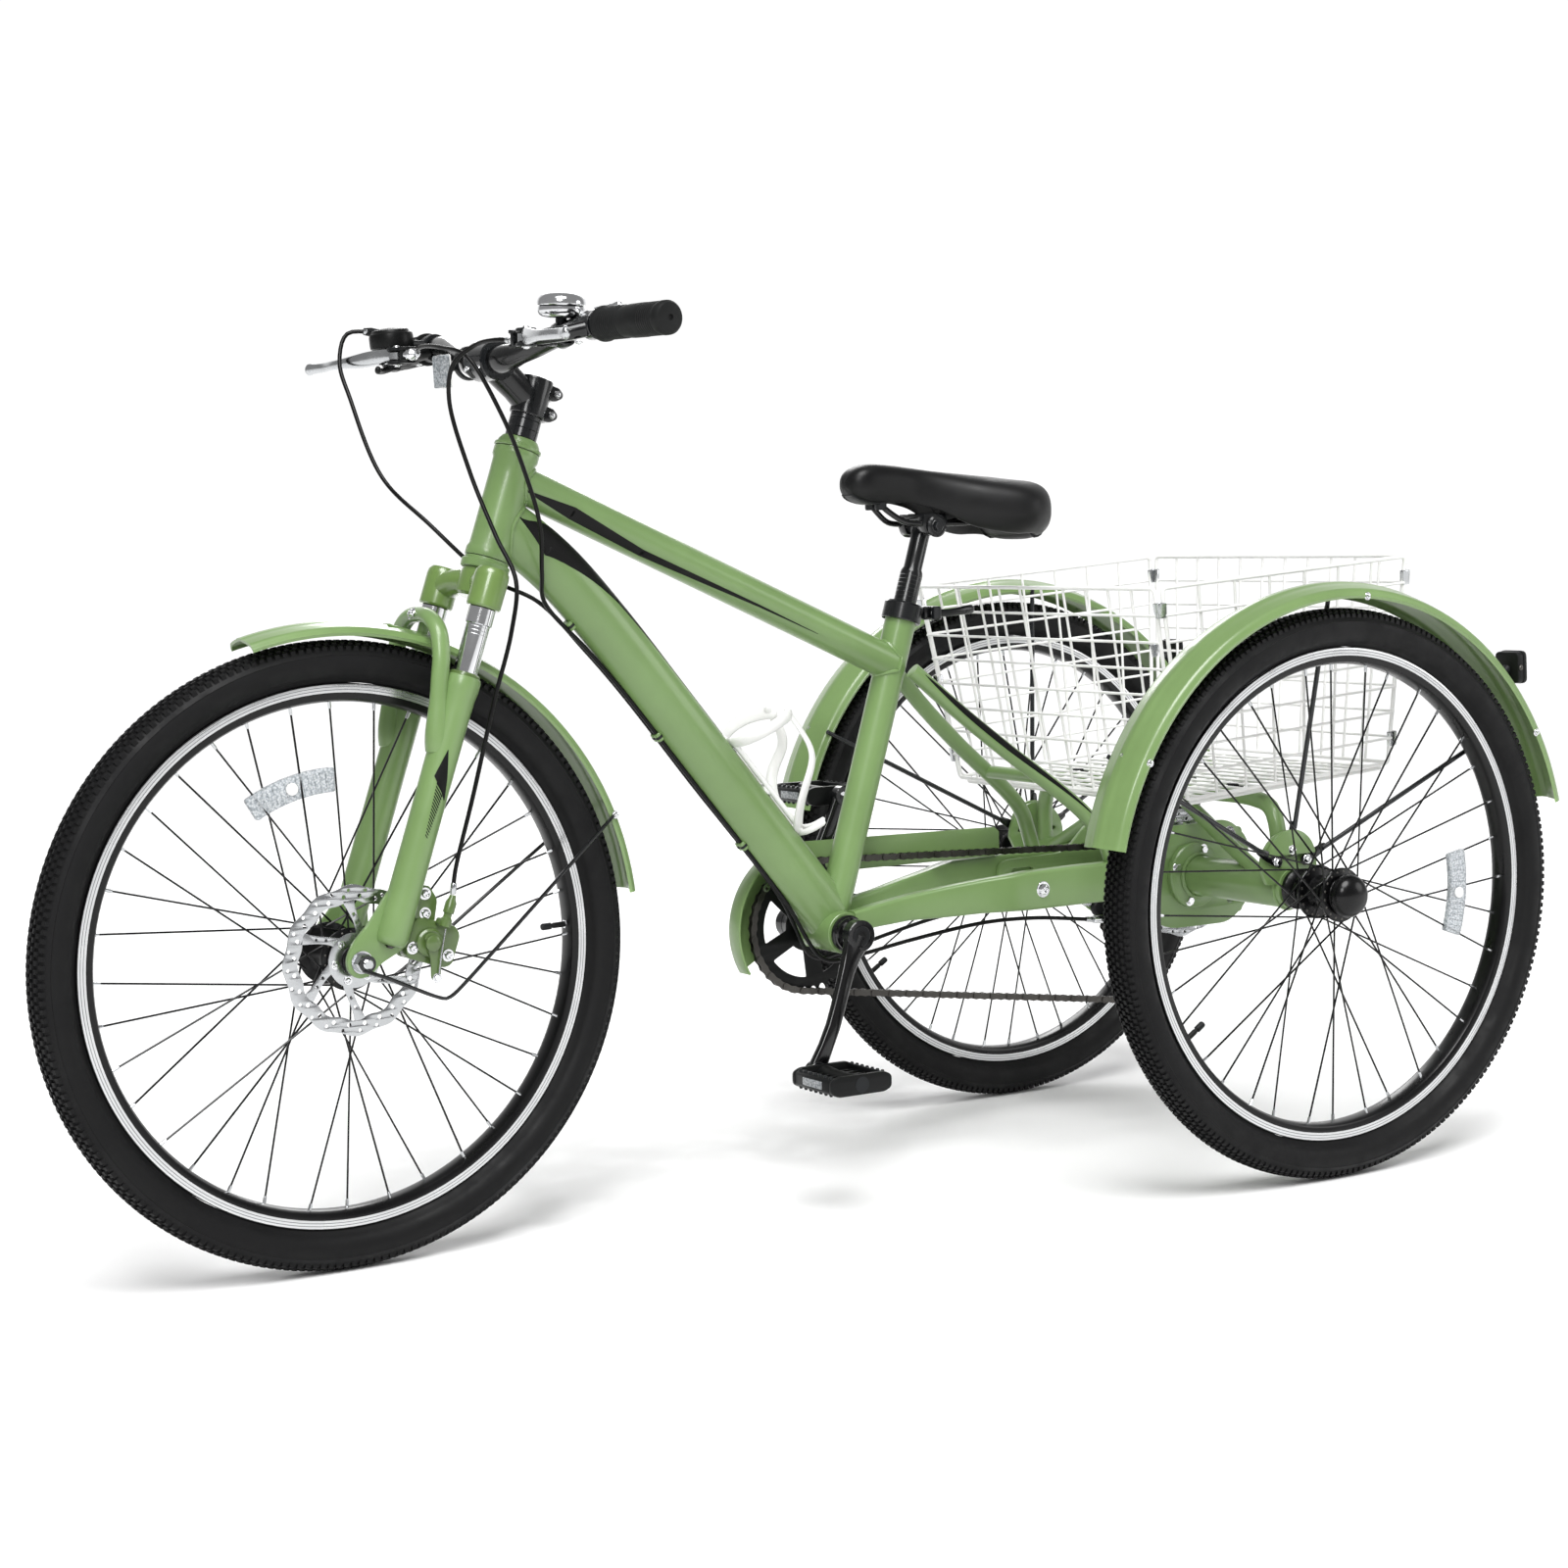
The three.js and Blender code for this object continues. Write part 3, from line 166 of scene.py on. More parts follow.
def smooth_path(points, steps):
    """Points of an even Catmull-Rom curve through the given points."""
    knots = [Vector(p) for p in points]
    knots = [knots[0] * 2 - knots[1]] + knots + [knots[-1] * 2 - knots[-2]]
    spans = len(knots) - 3
    lengths = [(knots[i + 2] - knots[i + 1]).length for i in range(spans)]
    total = sum(lengths)
    path = []
    for i in range(spans):
        p0, p1, p2, p3 = knots[i : i + 4]
        count = max(2, round(steps * lengths[i] / total))
        gaps = [max(1e-6, (b - a).length) ** 0.5 for a, b in ((p0, p1), (p1, p2), (p2, p3))]
        m1 = ((p1 - p0) / gaps[0] - (p2 - p0) / (gaps[0] + gaps[1]) + (p2 - p1) / gaps[1]) * gaps[1]
        m2 = ((p2 - p1) / gaps[1] - (p3 - p1) / (gaps[1] + gaps[2]) + (p3 - p2) / gaps[2]) * gaps[1]
        for k in range(count):
            t = k / count
            a = 2 * t**3 - 3 * t**2 + 1
            b = t**3 - 2 * t**2 + t
            c = -2 * t**3 + 3 * t**2
            d = t**3 - t**2
            path.append(p1 * a + m1 * b + p2 * c + m2 * d)
    return path + [knots[-2]]


# ---------------------------------------------------------------- shapes


ON_LINE = 1e-6  # a turned radius smaller than this lies on the line
WHOLE_TURN = 2 * math.pi
CORNER_SHARE = 0.45  # the most that a round corner takes of an edge


class Shape:
    """Closed forms gathered into one object, each with its own finish."""

    def __init__(self, finish):
        """Starts empty, in the tricycle's own frame."""
        self.finish = finish
        self.points = []
        self.faces = []
        self.finishes = []
        self.matrix = AS_BUILT

    def at(self, matrix):
        """What is added next is drawn in this frame of its own."""
        self.matrix = matrix
        return self

    def add(self, points, faces, finish=None):
        """One closed form; finish is one name for all its faces or a list with one for each."""
        start = len(self.points)
        self.points += [self.matrix @ Vector(p) for p in points]
        self.faces += [tuple(start + i for i in f) for f in faces]
        names = finish if isinstance(finish, list) else [finish or self.finish] * len(faces)
        self.finishes += [n or self.finish for n in names]

    def loft(self, rings, finish=None, closed=False):
        """Rings of points joined in order; the two ends are capped unless the loft is closed."""
        count = len(rings[0])
        points = [p for ring in rings for p in ring]
        faces = []
        for i in range(len(rings) if closed else len(rings) - 1):
            a = i * count
            b = ((i + 1) % len(rings)) * count
            for k in range(count):
                n = (k + 1) % count
                faces.append((a + k, a + n, b + n, b + k))
        if not closed:
            last = (len(rings) - 1) * count
            faces.append(tuple(reversed(range(count))))
            faces.append(tuple(last + k for k in range(count)))
        self.add(points, faces, finish)

    def tube(
        self, path, radius, sides=16, finish=None, flat=1.0, up=(0, 1, 0), closed=False, round_ends=False
    ):
        """A bar along a path. The radius may change along it; flat squeezes it across up."""
        path = [Vector(p) for p in path]
        count = len(path)
        radii = list(radius) if hasattr(radius, "__len__") else [radius] * count
        if round_ends:
            path, radii = rounded(path, radii)
            count = len(path)
        ahead = []
        for i in range(count):
            before = path[i - 1] if i or closed else path[0]
            after = path[(i + 1) % count] if i < count - 1 or closed else path[-1]
            ahead.append((after - before).normalized())
        side = Vector(up).cross(ahead[0])
        if side.length < 1e-3:
            side = Vector((1, 0.3, 0)).cross(ahead[0])
        side.normalize()
        rings = []
        for i in range(count):
            if i:
                side = ahead[i - 1].rotation_difference(ahead[i]) @ side
            out = ahead[i].cross(side).normalized()
            ring = []
            for k in range(sides):
                turn = WHOLE_TURN * k / sides
                spot = side * math.cos(turn) * flat + out * math.sin(turn)
                ring.append(path[i] + spot * radii[i])
            rings.append(ring)
        self.loft(rings, finish, closed)

    def rod(self, start, end, radius, sides=20, finish=None, edge=0.6):
        """A straight bar with softened ends."""
        start, end = Vector(start), Vector(end)
        length = (end - start).length
        edge = min(edge, radius * 0.5, length * 0.3)
        profile = [(radius - edge, 0), (radius, edge), (radius, length - edge), (radius - edge, length)]
        self.turned([(0, 0)] + profile + [(0, length)], start, end - start, sides, finish)

    def turned(self, profile, origin=(0, 0, 0), way=(0, 0, 1), sides=48, finish=None, bands=None):
        """A profile of (radius, distance along the way) turned about a line.

        A profile that starts off the line is closed. Bands name the finish of each part of it.
        """
        origin = Vector(origin)
        turn = Vector((0, 0, 1)).rotation_difference(Vector(way))
        points = []
        faces = []
        names = []
        rows = []
        closed = profile[0][0] > ON_LINE
        if closed:
            profile = [*profile, profile[0]]
        for radius, along in profile:
            if radius < ON_LINE:
                points.append(origin + turn @ Vector((0, 0, along)))
                rows.append([len(points) - 1] * sides)
                continue
            row = []
            for k in range(sides):
                angle = WHOLE_TURN * k / sides
                spot = Vector((radius * math.cos(angle), radius * math.sin(angle), along))
                points.append(origin + turn @ spot)
                row.append(len(points) - 1)
            rows.append(row)
        for i in range(len(rows) - 1):
            a = rows[i]
            b = rows[0] if closed and i == len(rows) - 2 else rows[i + 1]
            for k in range(sides):
                n = (k + 1) % sides
                face = []
                for corner in (a[k], a[n], b[n], b[k]):
                    if corner not in face:
                        face.append(corner)
                if len(face) > 2:
                    faces.append(tuple(face))
                    names.append(bands[i] if bands else finish)
        self.add(points, faces, names)

    def plate(self, outline, low, high, holes=(), finish=None, bevel=0.4, place=None):
        """A flat plate between two depths, drawn in the side view or in place's X and Y."""
        curve = bpy.data.curves.new("outline", "CURVE")
        curve.dimensions = "2D"
        curve.fill_mode = "BOTH"
        curve.extrude = max(0.01, (high - low) / 2 - bevel)
        curve.bevel_depth = bevel
        curve.bevel_resolution = 1
        curve.offset = -bevel
        for loop in [outline, *holes]:
            spline = curve.splines.new("POLY")
            spline.points.add(len(loop) - 1)
            for point, (x, z) in zip(spline.points, loop):
                point.co = (x, z, 0, 1)
            spline.use_cyclic_u = True
        holder = bpy.data.objects.new("outline", curve)
        mesh = holder.to_mesh()
        middle = (low + high) / 2
        if place is None:
            points = [(p.co.x, middle - p.co.z, p.co.y) for p in mesh.vertices]
        else:
            points = [place @ (p.co + Vector((0, 0, middle))) for p in mesh.vertices]
        self.add(points, [tuple(f.vertices) for f in mesh.polygons], finish)
        holder.to_mesh_clear()
        bpy.data.objects.remove(holder)
        bpy.data.curves.remove(curve)

    def block(self, low, high, edge=1.0, finish=None):
        """A box between two corners with softened edges."""
        low, high = Vector(low), Vector(high)
        edge = min(edge, min(high - low) * CORNER_SHARE)
        rings = []
        inset = ((edge, 0), (edge * 0.3, edge * 0.3), (0, edge))
        levels = [(i, low.y + d) for i, d in inset] + [(i, high.y - d) for i, d in reversed(inset)]
        for shrink, y in levels:
            rings.append(rounded_rectangle(low, high, shrink, edge, y))
        self.loft(rings, finish)

    def bolt(self, place, way, radius=4.0, head=3.0, finish="bright_metal", hexagon=False):
        """A bolt head: a washer with a domed socket head or a six-sided one on it."""
        place, way = Vector(place), Vector(way).normalized()
        washer = [(0, 0), (radius * 1.45, 0), (radius * 1.5, 0.4), (radius * 1.4, 0.9), (0, 0.9)]
        self.turned(washer, place, way, 20, finish)
        if hexagon:
            wide, narrow = radius * 1.1, radius * 0.95
            top = [(0, 0.5), (wide, 0.5), (wide, head - 0.5), (narrow, head), (0, head)]
            self.turned(top, place, way, 6, finish)
            return
        socket = radius * 0.5
        cap = [
            (0, 0.6), (radius, 0.6), (radius, head * 0.55), (radius * 0.82, head * 0.92),
            (socket * 1.1, head), (socket, head * 0.9), (socket, head * 0.5), (0, head * 0.45),
        ]
        self.turned(cap, place, way, 20, finish)

    def skin(self, section, start, end, low, high, steps=24):
        """A thin black stripe laid on a tube: section(t, angle) gives a point on its surface."""
        across = 6
        lift = 0.35
        depth = 0.6
        outer = []
        inner = []
        for i in range(steps + 1):
            share = i / steps
            t = mix(start, end, share)
            a, b = low(share), high(share)
            for k in range(across + 1):
                angle = mix(a, b, k / across)
                spot, normal = section(t, angle)
                outer.append(spot + normal * lift)
                inner.append(spot - normal * depth)
        width = across + 1
        count = len(outer)
        faces = []
        for i in range(steps):
            for k in range(across):
                a = i * width + k
                faces.append((a, a + 1, a + width + 1, a + width))
                faces.append((count + a, count + a + width, count + a + width + 1, count + a + 1))
        rim = [*range(across)]
        rim += [i * width + across for i in range(steps)]
        rim += [steps * width + k for k in range(across, 0, -1)]
        rim += [i * width for i in range(steps, 0, -1)]
        for a, b in zip(rim, rim[1:] + rim[:1]):
            faces.append((a, count + a, count + b, b))
        self.add(outer + inner, faces, "decal_black")

    def make(self, name, body, slot, replaces=(), sharp=32):
        """The finished object, riding on its CAD body."""
        mesh = bpy.data.meshes.new(name)
        offset = Vector((REAR_X, 0, 0))
        mesh.from_pydata([offset + p * MM for p in self.points], [], self.faces)
        used = sorted(set(self.finishes))
        for finish in used:
            mesh.materials.append(finish_named(finish))
        order = {finish: i for i, finish in enumerate(used)}
        mesh.polygons.foreach_set("material_index", [order[f] for f in self.finishes])
        mesh.polygons.foreach_set("use_smooth", [True] * len(mesh.polygons))
        mesh.update()
        fix_normals(mesh)
        mesh.set_sharp_from_angle(angle=math.radians(sharp))
        piece = bpy.data.objects.new(name, mesh)
        bpy.context.scene.collection.objects.link(piece)
        if body:
            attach(piece, body)
        if replaces:
            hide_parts(*replaces)
        return piece


def fix_normals(mesh):
    """Turns every closed form's faces outwards."""
    work = bmesh.new()
    work.from_mesh(mesh)
    bmesh.ops.remove_doubles(work, verts=work.verts, dist=1e-7)
    bmesh.ops.recalc_face_normals(work, faces=work.faces)
    work.to_mesh(mesh)
    work.free()


def rounded(path, radii):
    """The same bar with its two ends drawn in to a round nose."""
    reaches = (0.9, 0.648, 0.27)
    widths = [0.15, 0.7, 0.95]
    head_way = (path[1] - path[0]).normalized() * radii[0]
    tail_way = (path[-1] - path[-2]).normalized() * radii[-1]
    head = [path[0] - head_way * reach for reach in reaches]
    tail = [path[-1] + tail_way * reach for reach in reversed(reaches)]
    head_radii = [radii[0] * width for width in widths]
    tail_radii = [radii[-1] * width for width in reversed(widths)]
    return head + path + tail, head_radii + list(radii) + tail_radii


def rounded_rectangle(low, high, shrink, corner, y):
    """A ring in the side view with round corners, drawn in from a box by shrink."""
    x0, x1 = low.x + shrink, high.x - shrink
    z0, z1 = low.z + shrink, high.z - shrink
    corner = max(0.05, min(corner, (x1 - x0) * CORNER_SHARE, (z1 - z0) * CORNER_SHARE))
    ring = []
    centres = (
        (x1 - corner, z1 - corner, 0),
        (x0 + corner, z1 - corner, 90),
        (x0 + corner, z0 + corner, 180),
        (x1 - corner, z0 + corner, 270),
    )
    for x, z, start in centres:
        ring += [Vector((px, y, pz)) for px, pz in arc((x, z), corner, start, start + 90, 3)]
    return ring


def rounded_outline(points, corner, steps=4):
    """A polygon whose corners are drawn round."""
    made = []
    count = len(points)
    for i, point in enumerate(points):
        here = Vector(point)
        before = Vector(points[i - 1])
        after = Vector(points[(i + 1) % count])
        shortest = min((before - here).length, (after - here).length)
        reach = min(corner, shortest * CORNER_SHARE)
        a = here + (before - here).normalized() * reach
        b = here + (after - here).normalized() * reach
        for k in range(steps + 1):
            t = k / steps
            made.append(tuple(a * (1 - t) ** 2 + here * 2 * t * (1 - t) + b * t * t))
    return made


def rounded_box(half_width, half_height, corner):
    """A rectangle about the middle with round corners."""
    w, h = half_width, half_height
    return rounded_outline([(-w, -h), (w, -h), (w, h), (-w, h)], corner)


def circle(centre, radius, sides=24):
    """The corners of a round outline."""
    return arc(centre, radius, 0, 360 - 360 / sides, sides - 1)


def facing_left(x, y, z):
    """A place for flat parts that face the rider's left: X ahead, Y down."""
    return frame_at((x, y, z), (1, 0, 0), (0, 1, 0))


def frame_at(origin, x_way, z_way):
    """A place whose X and Z look the given ways."""
    z = Vector(z_way).normalized()
    x = Vector(x_way)
    x = (x - z * x.dot(z)).normalized()
    y = z.cross(x)
    matrix = Matrix((x, y, z)).transposed().to_4x4()
    return Matrix.Translation(Vector(origin)) @ matrix


# ---------------------------------------------------------------- finishes


class Nodes:
    """A material's node tree, with short ways to add what its detail needs."""

    def __init__(self, name):
        """A new material with its shader and the coordinates its detail is drawn in."""
        self.material = bpy.data.materials.new(name)
        self.material.use_nodes = True
        self.tree = self.material.node_tree
        self.surface = self.tree.nodes["Principled BSDF"]
        self.place = self.tree.nodes.new("ShaderNodeTexCoord").outputs["Object"]

    def link(self, output, node, socket):
        """Joins an output to a socket of another node."""
        self.tree.links.new(output, node.inputs[socket])

    def noise(self, scale, detail=3.0, roughness=0.5, stretch=None):
        """Cloudy noise, drawn out along the axes by stretch."""
        node = self.tree.nodes.new("ShaderNodeTexNoise")
        node.inputs["Scale"].default_value = scale
        node.inputs["Detail"].default_value = detail
        node.inputs["Roughness"].default_value = roughness
        place = self.place
        if stretch:
            mapping = self.tree.nodes.new("ShaderNodeMapping")
            mapping.inputs["Scale"].default_value = stretch
            self.link(place, mapping, "Vector")
            place = mapping.outputs["Vector"]
        self.link(place, node, "Vector")
        return node.outputs["Fac"]

    def cells(self, scale, feature="F1"):
        """The distance to the nearest of many scattered points."""
        node = self.tree.nodes.new("ShaderNodeTexVoronoi")
        node.feature = feature
        node.inputs["Scale"].default_value = scale
        self.link(self.place, node, "Vector")
        return node.outputs["Distance"]

    def ramp(self, value, low, high, start=0.35, end=0.65):
        """The value drawn out between two numbers."""
        node = self.tree.nodes.new("ShaderNodeMapRange")
        node.interpolation_type = "SMOOTHSTEP"
        node.inputs["From Min"].default_value = start
        node.inputs["From Max"].default_value = end
        node.inputs["To Min"].default_value = low
        node.inputs["To Max"].default_value = high
        self.link(value, node, "Value")
        return node.outputs["Result"]

    def colours(self, value, stops):
        """The value as a colour, through stops of (place, colour)."""
        node = self.tree.nodes.new("ShaderNodeValToRGB")
        ramp = node.color_ramp
        while len(ramp.elements) < len(stops):
            ramp.elements.new(0.5)
        for element, (place, colour) in zip(ramp.elements, stops):
            element.position = place
            element.color = (*colour, 1)
        self.link(value, node, "Fac")
        return node.outputs["Color"]

    def bump(self, value, strength, distance, before=None):
        """A fine relief, laid over another one where before is given."""
        node = self.tree.nodes.new("ShaderNodeBump")
        node.inputs["Strength"].default_value = strength
        node.inputs["Distance"].default_value = distance
        self.link(value, node, "Height")
        if before:
            self.link(before, node, "Normal")
        return node.outputs["Normal"]

    def sum(self, a, b, weight):
        """a with b added at a weight."""
        node = self.tree.nodes.new("ShaderNodeMath")
        node.operation = "MULTIPLY_ADD"
        node.inputs[1].default_value = weight
        self.link(b, node, 0)
        self.link(a, node, 2)
        return node.outputs["Value"]

    def worn(self, start=0.53, end=0.62):
        """How exposed an edge is, from 0 on a face to 1 on a sharp edge."""
        node = self.tree.nodes.new("ShaderNodeNewGeometry")
        return self.ramp(node.outputs["Pointiness"], 0, 1, start, end)

    def shaded(self, value, colour, places, dark, light):
        """A colour that runs from a darker to a lighter shade of itself as the value grows."""
        factors = (dark, 1, light)
        return self.colours(value, [(place, shade(colour, f)) for place, f in zip(places, factors)])

    def rubbed(self, base, worn, colour):
        """The base colour with another one on its worn edges."""
        node = self.tree.nodes.new("ShaderNodeMix")
        node.data_type = "RGBA"
        factor, under, over = node.inputs[0], node.inputs[6], node.inputs[7]
        over.default_value = (*colour, 1)
        self.tree.links.new(worn, factor)
        self.tree.links.new(base, under)
        return node.outputs[2]

    def finished(self, base, dull, low, high, relief, **values):
        """The material: a colour, a roughness between two numbers, a relief and fixed values."""
        self.link(base, self.surface, "Base Color")
        self.link(self.ramp(dull, low, high), self.surface, "Roughness")
        self.link(relief, self.surface, "Normal")
        for socket, value in values.items():
            self.surface.inputs[socket.replace("_", " ")].default_value = value
        return self.material


def srgb(text):
    """A colour written as six hexadecimal digits, as linear numbers."""
    parts = [int(text[i : i + 2], 16) / 255 for i in (0, 2, 4)]
    return tuple(p / 12.92 if p < 0.04045 else ((p + 0.055) / 1.055) ** 2.4 for p in parts)


def shade(colour, factor):
    """A lighter or a darker shade of a colour."""
    return tuple(min(1, c * factor) for c in colour)


def plain_finish(name, colour, rough, metal=0.0, spread=0.12, grain=900, coat=0.0, wear=None, shine=0.5):
    """A finish with cloudy colour, uneven gloss, fine grain and paler edges."""
    nodes = Nodes(name)
    clouds = nodes.noise(14, 5, 0.6)
    fine = nodes.noise(grain, 2, 0.5)
    base = nodes.shaded(nodes.sum(clouds, fine, 0.25), colour, (0.35, 0.6, 0.85), 1 - spread, 1 + spread)
    if wear:
        base = nodes.rubbed(base, nodes.worn(), wear)
    relief = nodes.bump(fine, 0.35, 0.00004)
    return nodes.finished(
        base, clouds, rough * 0.82, min(1, rough * 1.25), relief,
        Metallic=metal, Coat_Weight=coat, Coat_Roughness=0.12, Specular_IOR_Level=shine,
    )


def paint_finish(name, colour, coat=0.35):
    """Semi-gloss paint: a soft orange-peel surface, a little flake and paler rubbed edges."""
    nodes = Nodes(name)
    clouds = nodes.noise(9, 4, 0.55)
    flake = nodes.noise(2600, 1, 0.4)
    peel = nodes.noise(420, 2, 0.45)
    base = nodes.shaded(nodes.sum(clouds, flake, 0.3), colour, (0.4, 0.66, 0.9), 0.9, 1.12)
    edged = nodes.rubbed(base, nodes.worn(0.56, 0.72), shade(colour, 1.5))
    relief = nodes.bump(peel, 0.12, 0.00006)
    return nodes.finished(edged, clouds, 0.3, 0.4, relief, Coat_Weight=coat, Coat_Roughness=0.15)


def rubber_finish(name, colour, rough=0.62):
    """Tyre or grip rubber: dusty patches, mould grain and faint scuffs."""
    nodes = Nodes(name)
    dust = nodes.noise(26, 6, 0.65)
    grain = nodes.noise(1500, 3, 0.6)
    scuff = nodes.noise(90, 4, 0.7)
    base = nodes.shaded(nodes.sum(dust, scuff, 0.3), colour, (0.3, 0.6, 0.9), 0.75, 1.7)
    relief = nodes.bump(grain, 0.3, 0.00008)
    return nodes.finished(base, dust, rough * 0.85, rough * 1.15, relief, Specular_IOR_Level=0.25)


def skin_finish(name, colour):
    """Saddle vinyl: small pebbles with fine creases between them."""
    nodes = Nodes(name)
    clouds = nodes.noise(18, 4, 0.6)
    pebble = nodes.cells(1100, "SMOOTH_F1")
    crease = nodes.noise(320, 4, 0.65)
    base = nodes.shaded(nodes.sum(clouds, pebble, 0.3), colour, (0.35, 0.62, 0.9), 0.8, 1.5)
    relief = nodes.bump(crease, 0.15, 0.0001, nodes.bump(pebble, 0.35, 0.00012))
    return nodes.finished(base, clouds, 0.36, 0.5, relief, Specular_IOR_Level=0.3)


def metal_finish(name, colour, rough, streak=(1, 1, 12), grain=260, spread=0.1):
    """Bare or plated metal: fine drawn lines, a few dull patches and uneven gloss."""
    nodes = Nodes(name)
    lines = nodes.noise(grain, 3, 0.6, streak)
    clouds = nodes.noise(22, 5, 0.6)
    base = nodes.shaded(nodes.sum(clouds, lines, 0.3), colour, (0.3, 0.6, 0.9), 1 - spread, 1 + spread)
    relief = nodes.bump(lines, 0.12, 0.00003)
    return nodes.finished(base, clouds, rough * 0.75, rough * 1.3, relief, Metallic=1.0)


def clear_finish(name):
    """Reflector plastic: a clear block whose back is moulded in small prisms."""
    nodes = Nodes(name)
    prisms = nodes.cells(420)
    clouds = nodes.noise(60, 3, 0.5)
    stops = [(0.1, srgb("f2f4f5")), (0.45, srgb("cfd4d8")), (0.8, srgb("9aa1a6"))]
    base = nodes.colours(prisms, stops)
    relief = nodes.bump(prisms, 0.6, 0.0004)
    return nodes.finished(base, clouds, 0.08, 0.2, relief, Transmission_Weight=0.55, IOR=1.49)


def red_finish(name):
    """Tail lamp lens: deep red with moulded ribs."""
    nodes = Nodes(name)
    prisms = nodes.cells(520)
    stops = [(0.1, srgb("b3161c")), (0.5, srgb("8c0d12")), (0.9, srgb("5c070b"))]
    base = nodes.colours(prisms, stops)
    relief = nodes.bump(prisms, 0.5, 0.0003)
    return nodes.finished(base, prisms, 0.12, 0.25, relief, Coat_Weight=0.5)


def black_finish(name, text, rough, **more):
    """A deep black that takes little light off its surface."""
    return plain_finish(name, srgb(text), rough, spread=0.25, shine=0.22, **more)


FINISH_MAKERS = {
    "frame_paint": lambda n: paint_finish(n, srgb("6e8a54")),
    "fender_paint": lambda n: paint_finish(n, srgb("708c55"), 0.5),
    "gloss_paint": lambda n: paint_finish(n, srgb("64803f"), 1.0),
    "hardware_paint": lambda n: paint_finish(n, srgb("4d6430"), 0.7),
    "decal_black": lambda n: black_finish(n, "050505", 0.5),
    "black_plastic": lambda n: black_finish(n, "0b0c0c", 0.42, wear=srgb("1c1e20")),
    "white_plastic": lambda n: plain_finish(n, srgb("e9e9e7"), 0.35, spread=0.05, coat=0.2),
    "white_coated_wire": lambda n: plain_finish(n, srgb("efefed"), 0.4, spread=0.06, coat=0.2),
    "black_alloy": lambda n: black_finish(n, "08090a", 0.24, coat=0.6, wear=srgb("1e2022")),
    "crank_black": lambda n: black_finish(n, "070708", 0.2, coat=0.6, wear=srgb("1c1e20")),
    "dark_steel": lambda n: metal_finish(n, srgb("5a5855"), 0.36, spread=0.3),
    "cable_sheath": lambda n: black_finish(n, "060606", 0.34),
    "saddle_skin": lambda n: skin_finish(n, srgb("070708")),
    "grip_rubber": lambda n: rubber_finish(n, srgb("111212"), 0.6),
    "bare_alloy": lambda n: metal_finish(n, srgb("c6c8ca"), 0.22),
    "bright_metal": lambda n: metal_finish(n, srgb("dfe0e2"), 0.1, grain=120),
    "clear_plastic": clear_finish,
    "rotor_steel": lambda n: metal_finish(n, srgb("bcbec0"), 0.22, (1, 1, 1), 700),
    "wheel_black": lambda n: black_finish(n, "060607", 0.3, coat=0.2),
    "tyre": lambda n: rubber_finish(n, srgb("060607")),
    "red_lens": red_finish,
    "brake_track": lambda n: metal_finish(n, srgb("d9dadb"), 0.3, (1, 1, 1), 900, 0.05),
    "track_line": lambda n: plain_finish(n, srgb("6d6f72"), 0.5, metal=0.3),
}
made_finishes = {}


def finish_named(name):
    """A finish by its name, made when it is first asked for."""
    if name not in made_finishes:
        made_finishes[name] = FINISH_MAKERS[name](name)
    return made_finishes[name]


# ---------------------------------------------------------------- camera, light and floor

CAMERA_PLACE = Vector((1.7612, 2.7753, 0.7735))
CAMERA_YAW = math.radians(-122.298)
CAMERA_PITCH = math.radians(-5.143)
CAMERA_ROLL = math.radians(-1.227)
CAMERA_LENS = 65.7


def add_camera():
    """A camera that looks along its yaw and pitch and leans by its roll."""
    data = bpy.data.cameras.new("view")
    data.lens = CAMERA_LENS
    data.sensor_width = 36
    data.clip_end = 50
    camera = bpy.data.objects.new("view", data)
    bpy.context.scene.collection.objects.link(camera)
    flat = math.cos(CAMERA_PITCH)
    ahead = Vector((math.cos(CAMERA_YAW) * flat, math.sin(CAMERA_YAW) * flat, math.sin(CAMERA_PITCH)))
    right = ahead.cross(Vector((0, 0, 1))).normalized()
    up = right.cross(ahead)
    c, s = math.cos(CAMERA_ROLL), math.sin(CAMERA_ROLL)
    rolled_right = right * c + up * s
    rolled_up = up * c - right * s
    turn = Matrix((rolled_right, rolled_up, -ahead)).transposed().to_4x4()
    camera.matrix_world = Matrix.Translation(CAMERA_PLACE) @ turn
    bpy.context.scene.camera = camera


def add_lamp(name, place, target, size, power):
    """A round soft lamp that faces a target."""
    data = bpy.data.lights.new(name, "AREA")
    data.shape = "DISK"
    data.size = size
    data.energy = power
    lamp = bpy.data.objects.new(name, data)
    bpy.context.scene.collection.objects.link(lamp)
    lamp.location = place
    lamp.rotation_euler = (Vector(target) - Vector(place)).to_track_quat("-Z", "Y").to_euler()


def add_floor():
    """A wide pale flat floor just under the tyres."""
    half = 30
    mesh = bpy.data.meshes.new("floor")
    corners = [(-half, -half), (half, -half), (half, half), (-half, half)]
    mesh.from_pydata([(x, y, cad_low.z - 0.0005) for x, y in corners], [], [(0, 1, 2, 3)])
    floor = bpy.data.objects.new("floor", mesh)
    bpy.context.scene.collection.objects.link(floor)
    mesh.materials.append(plain_finish("floor", (0.9, 0.9, 0.9), 0.7, spread=0.01, grain=300))


def add_sun(from_place, softness, strength):
    """An even light over everything, from the way of a place, with an angular size in degrees."""
    data = bpy.data.lights.new("overhead", "SUN")
    data.angle = math.radians(softness)
    data.energy = strength
    lamp = bpy.data.objects.new("overhead", data)
    bpy.context.scene.collection.objects.link(lamp)
    lamp.rotation_euler = (-Vector(from_place)).to_track_quat("-Z", "Y").to_euler()


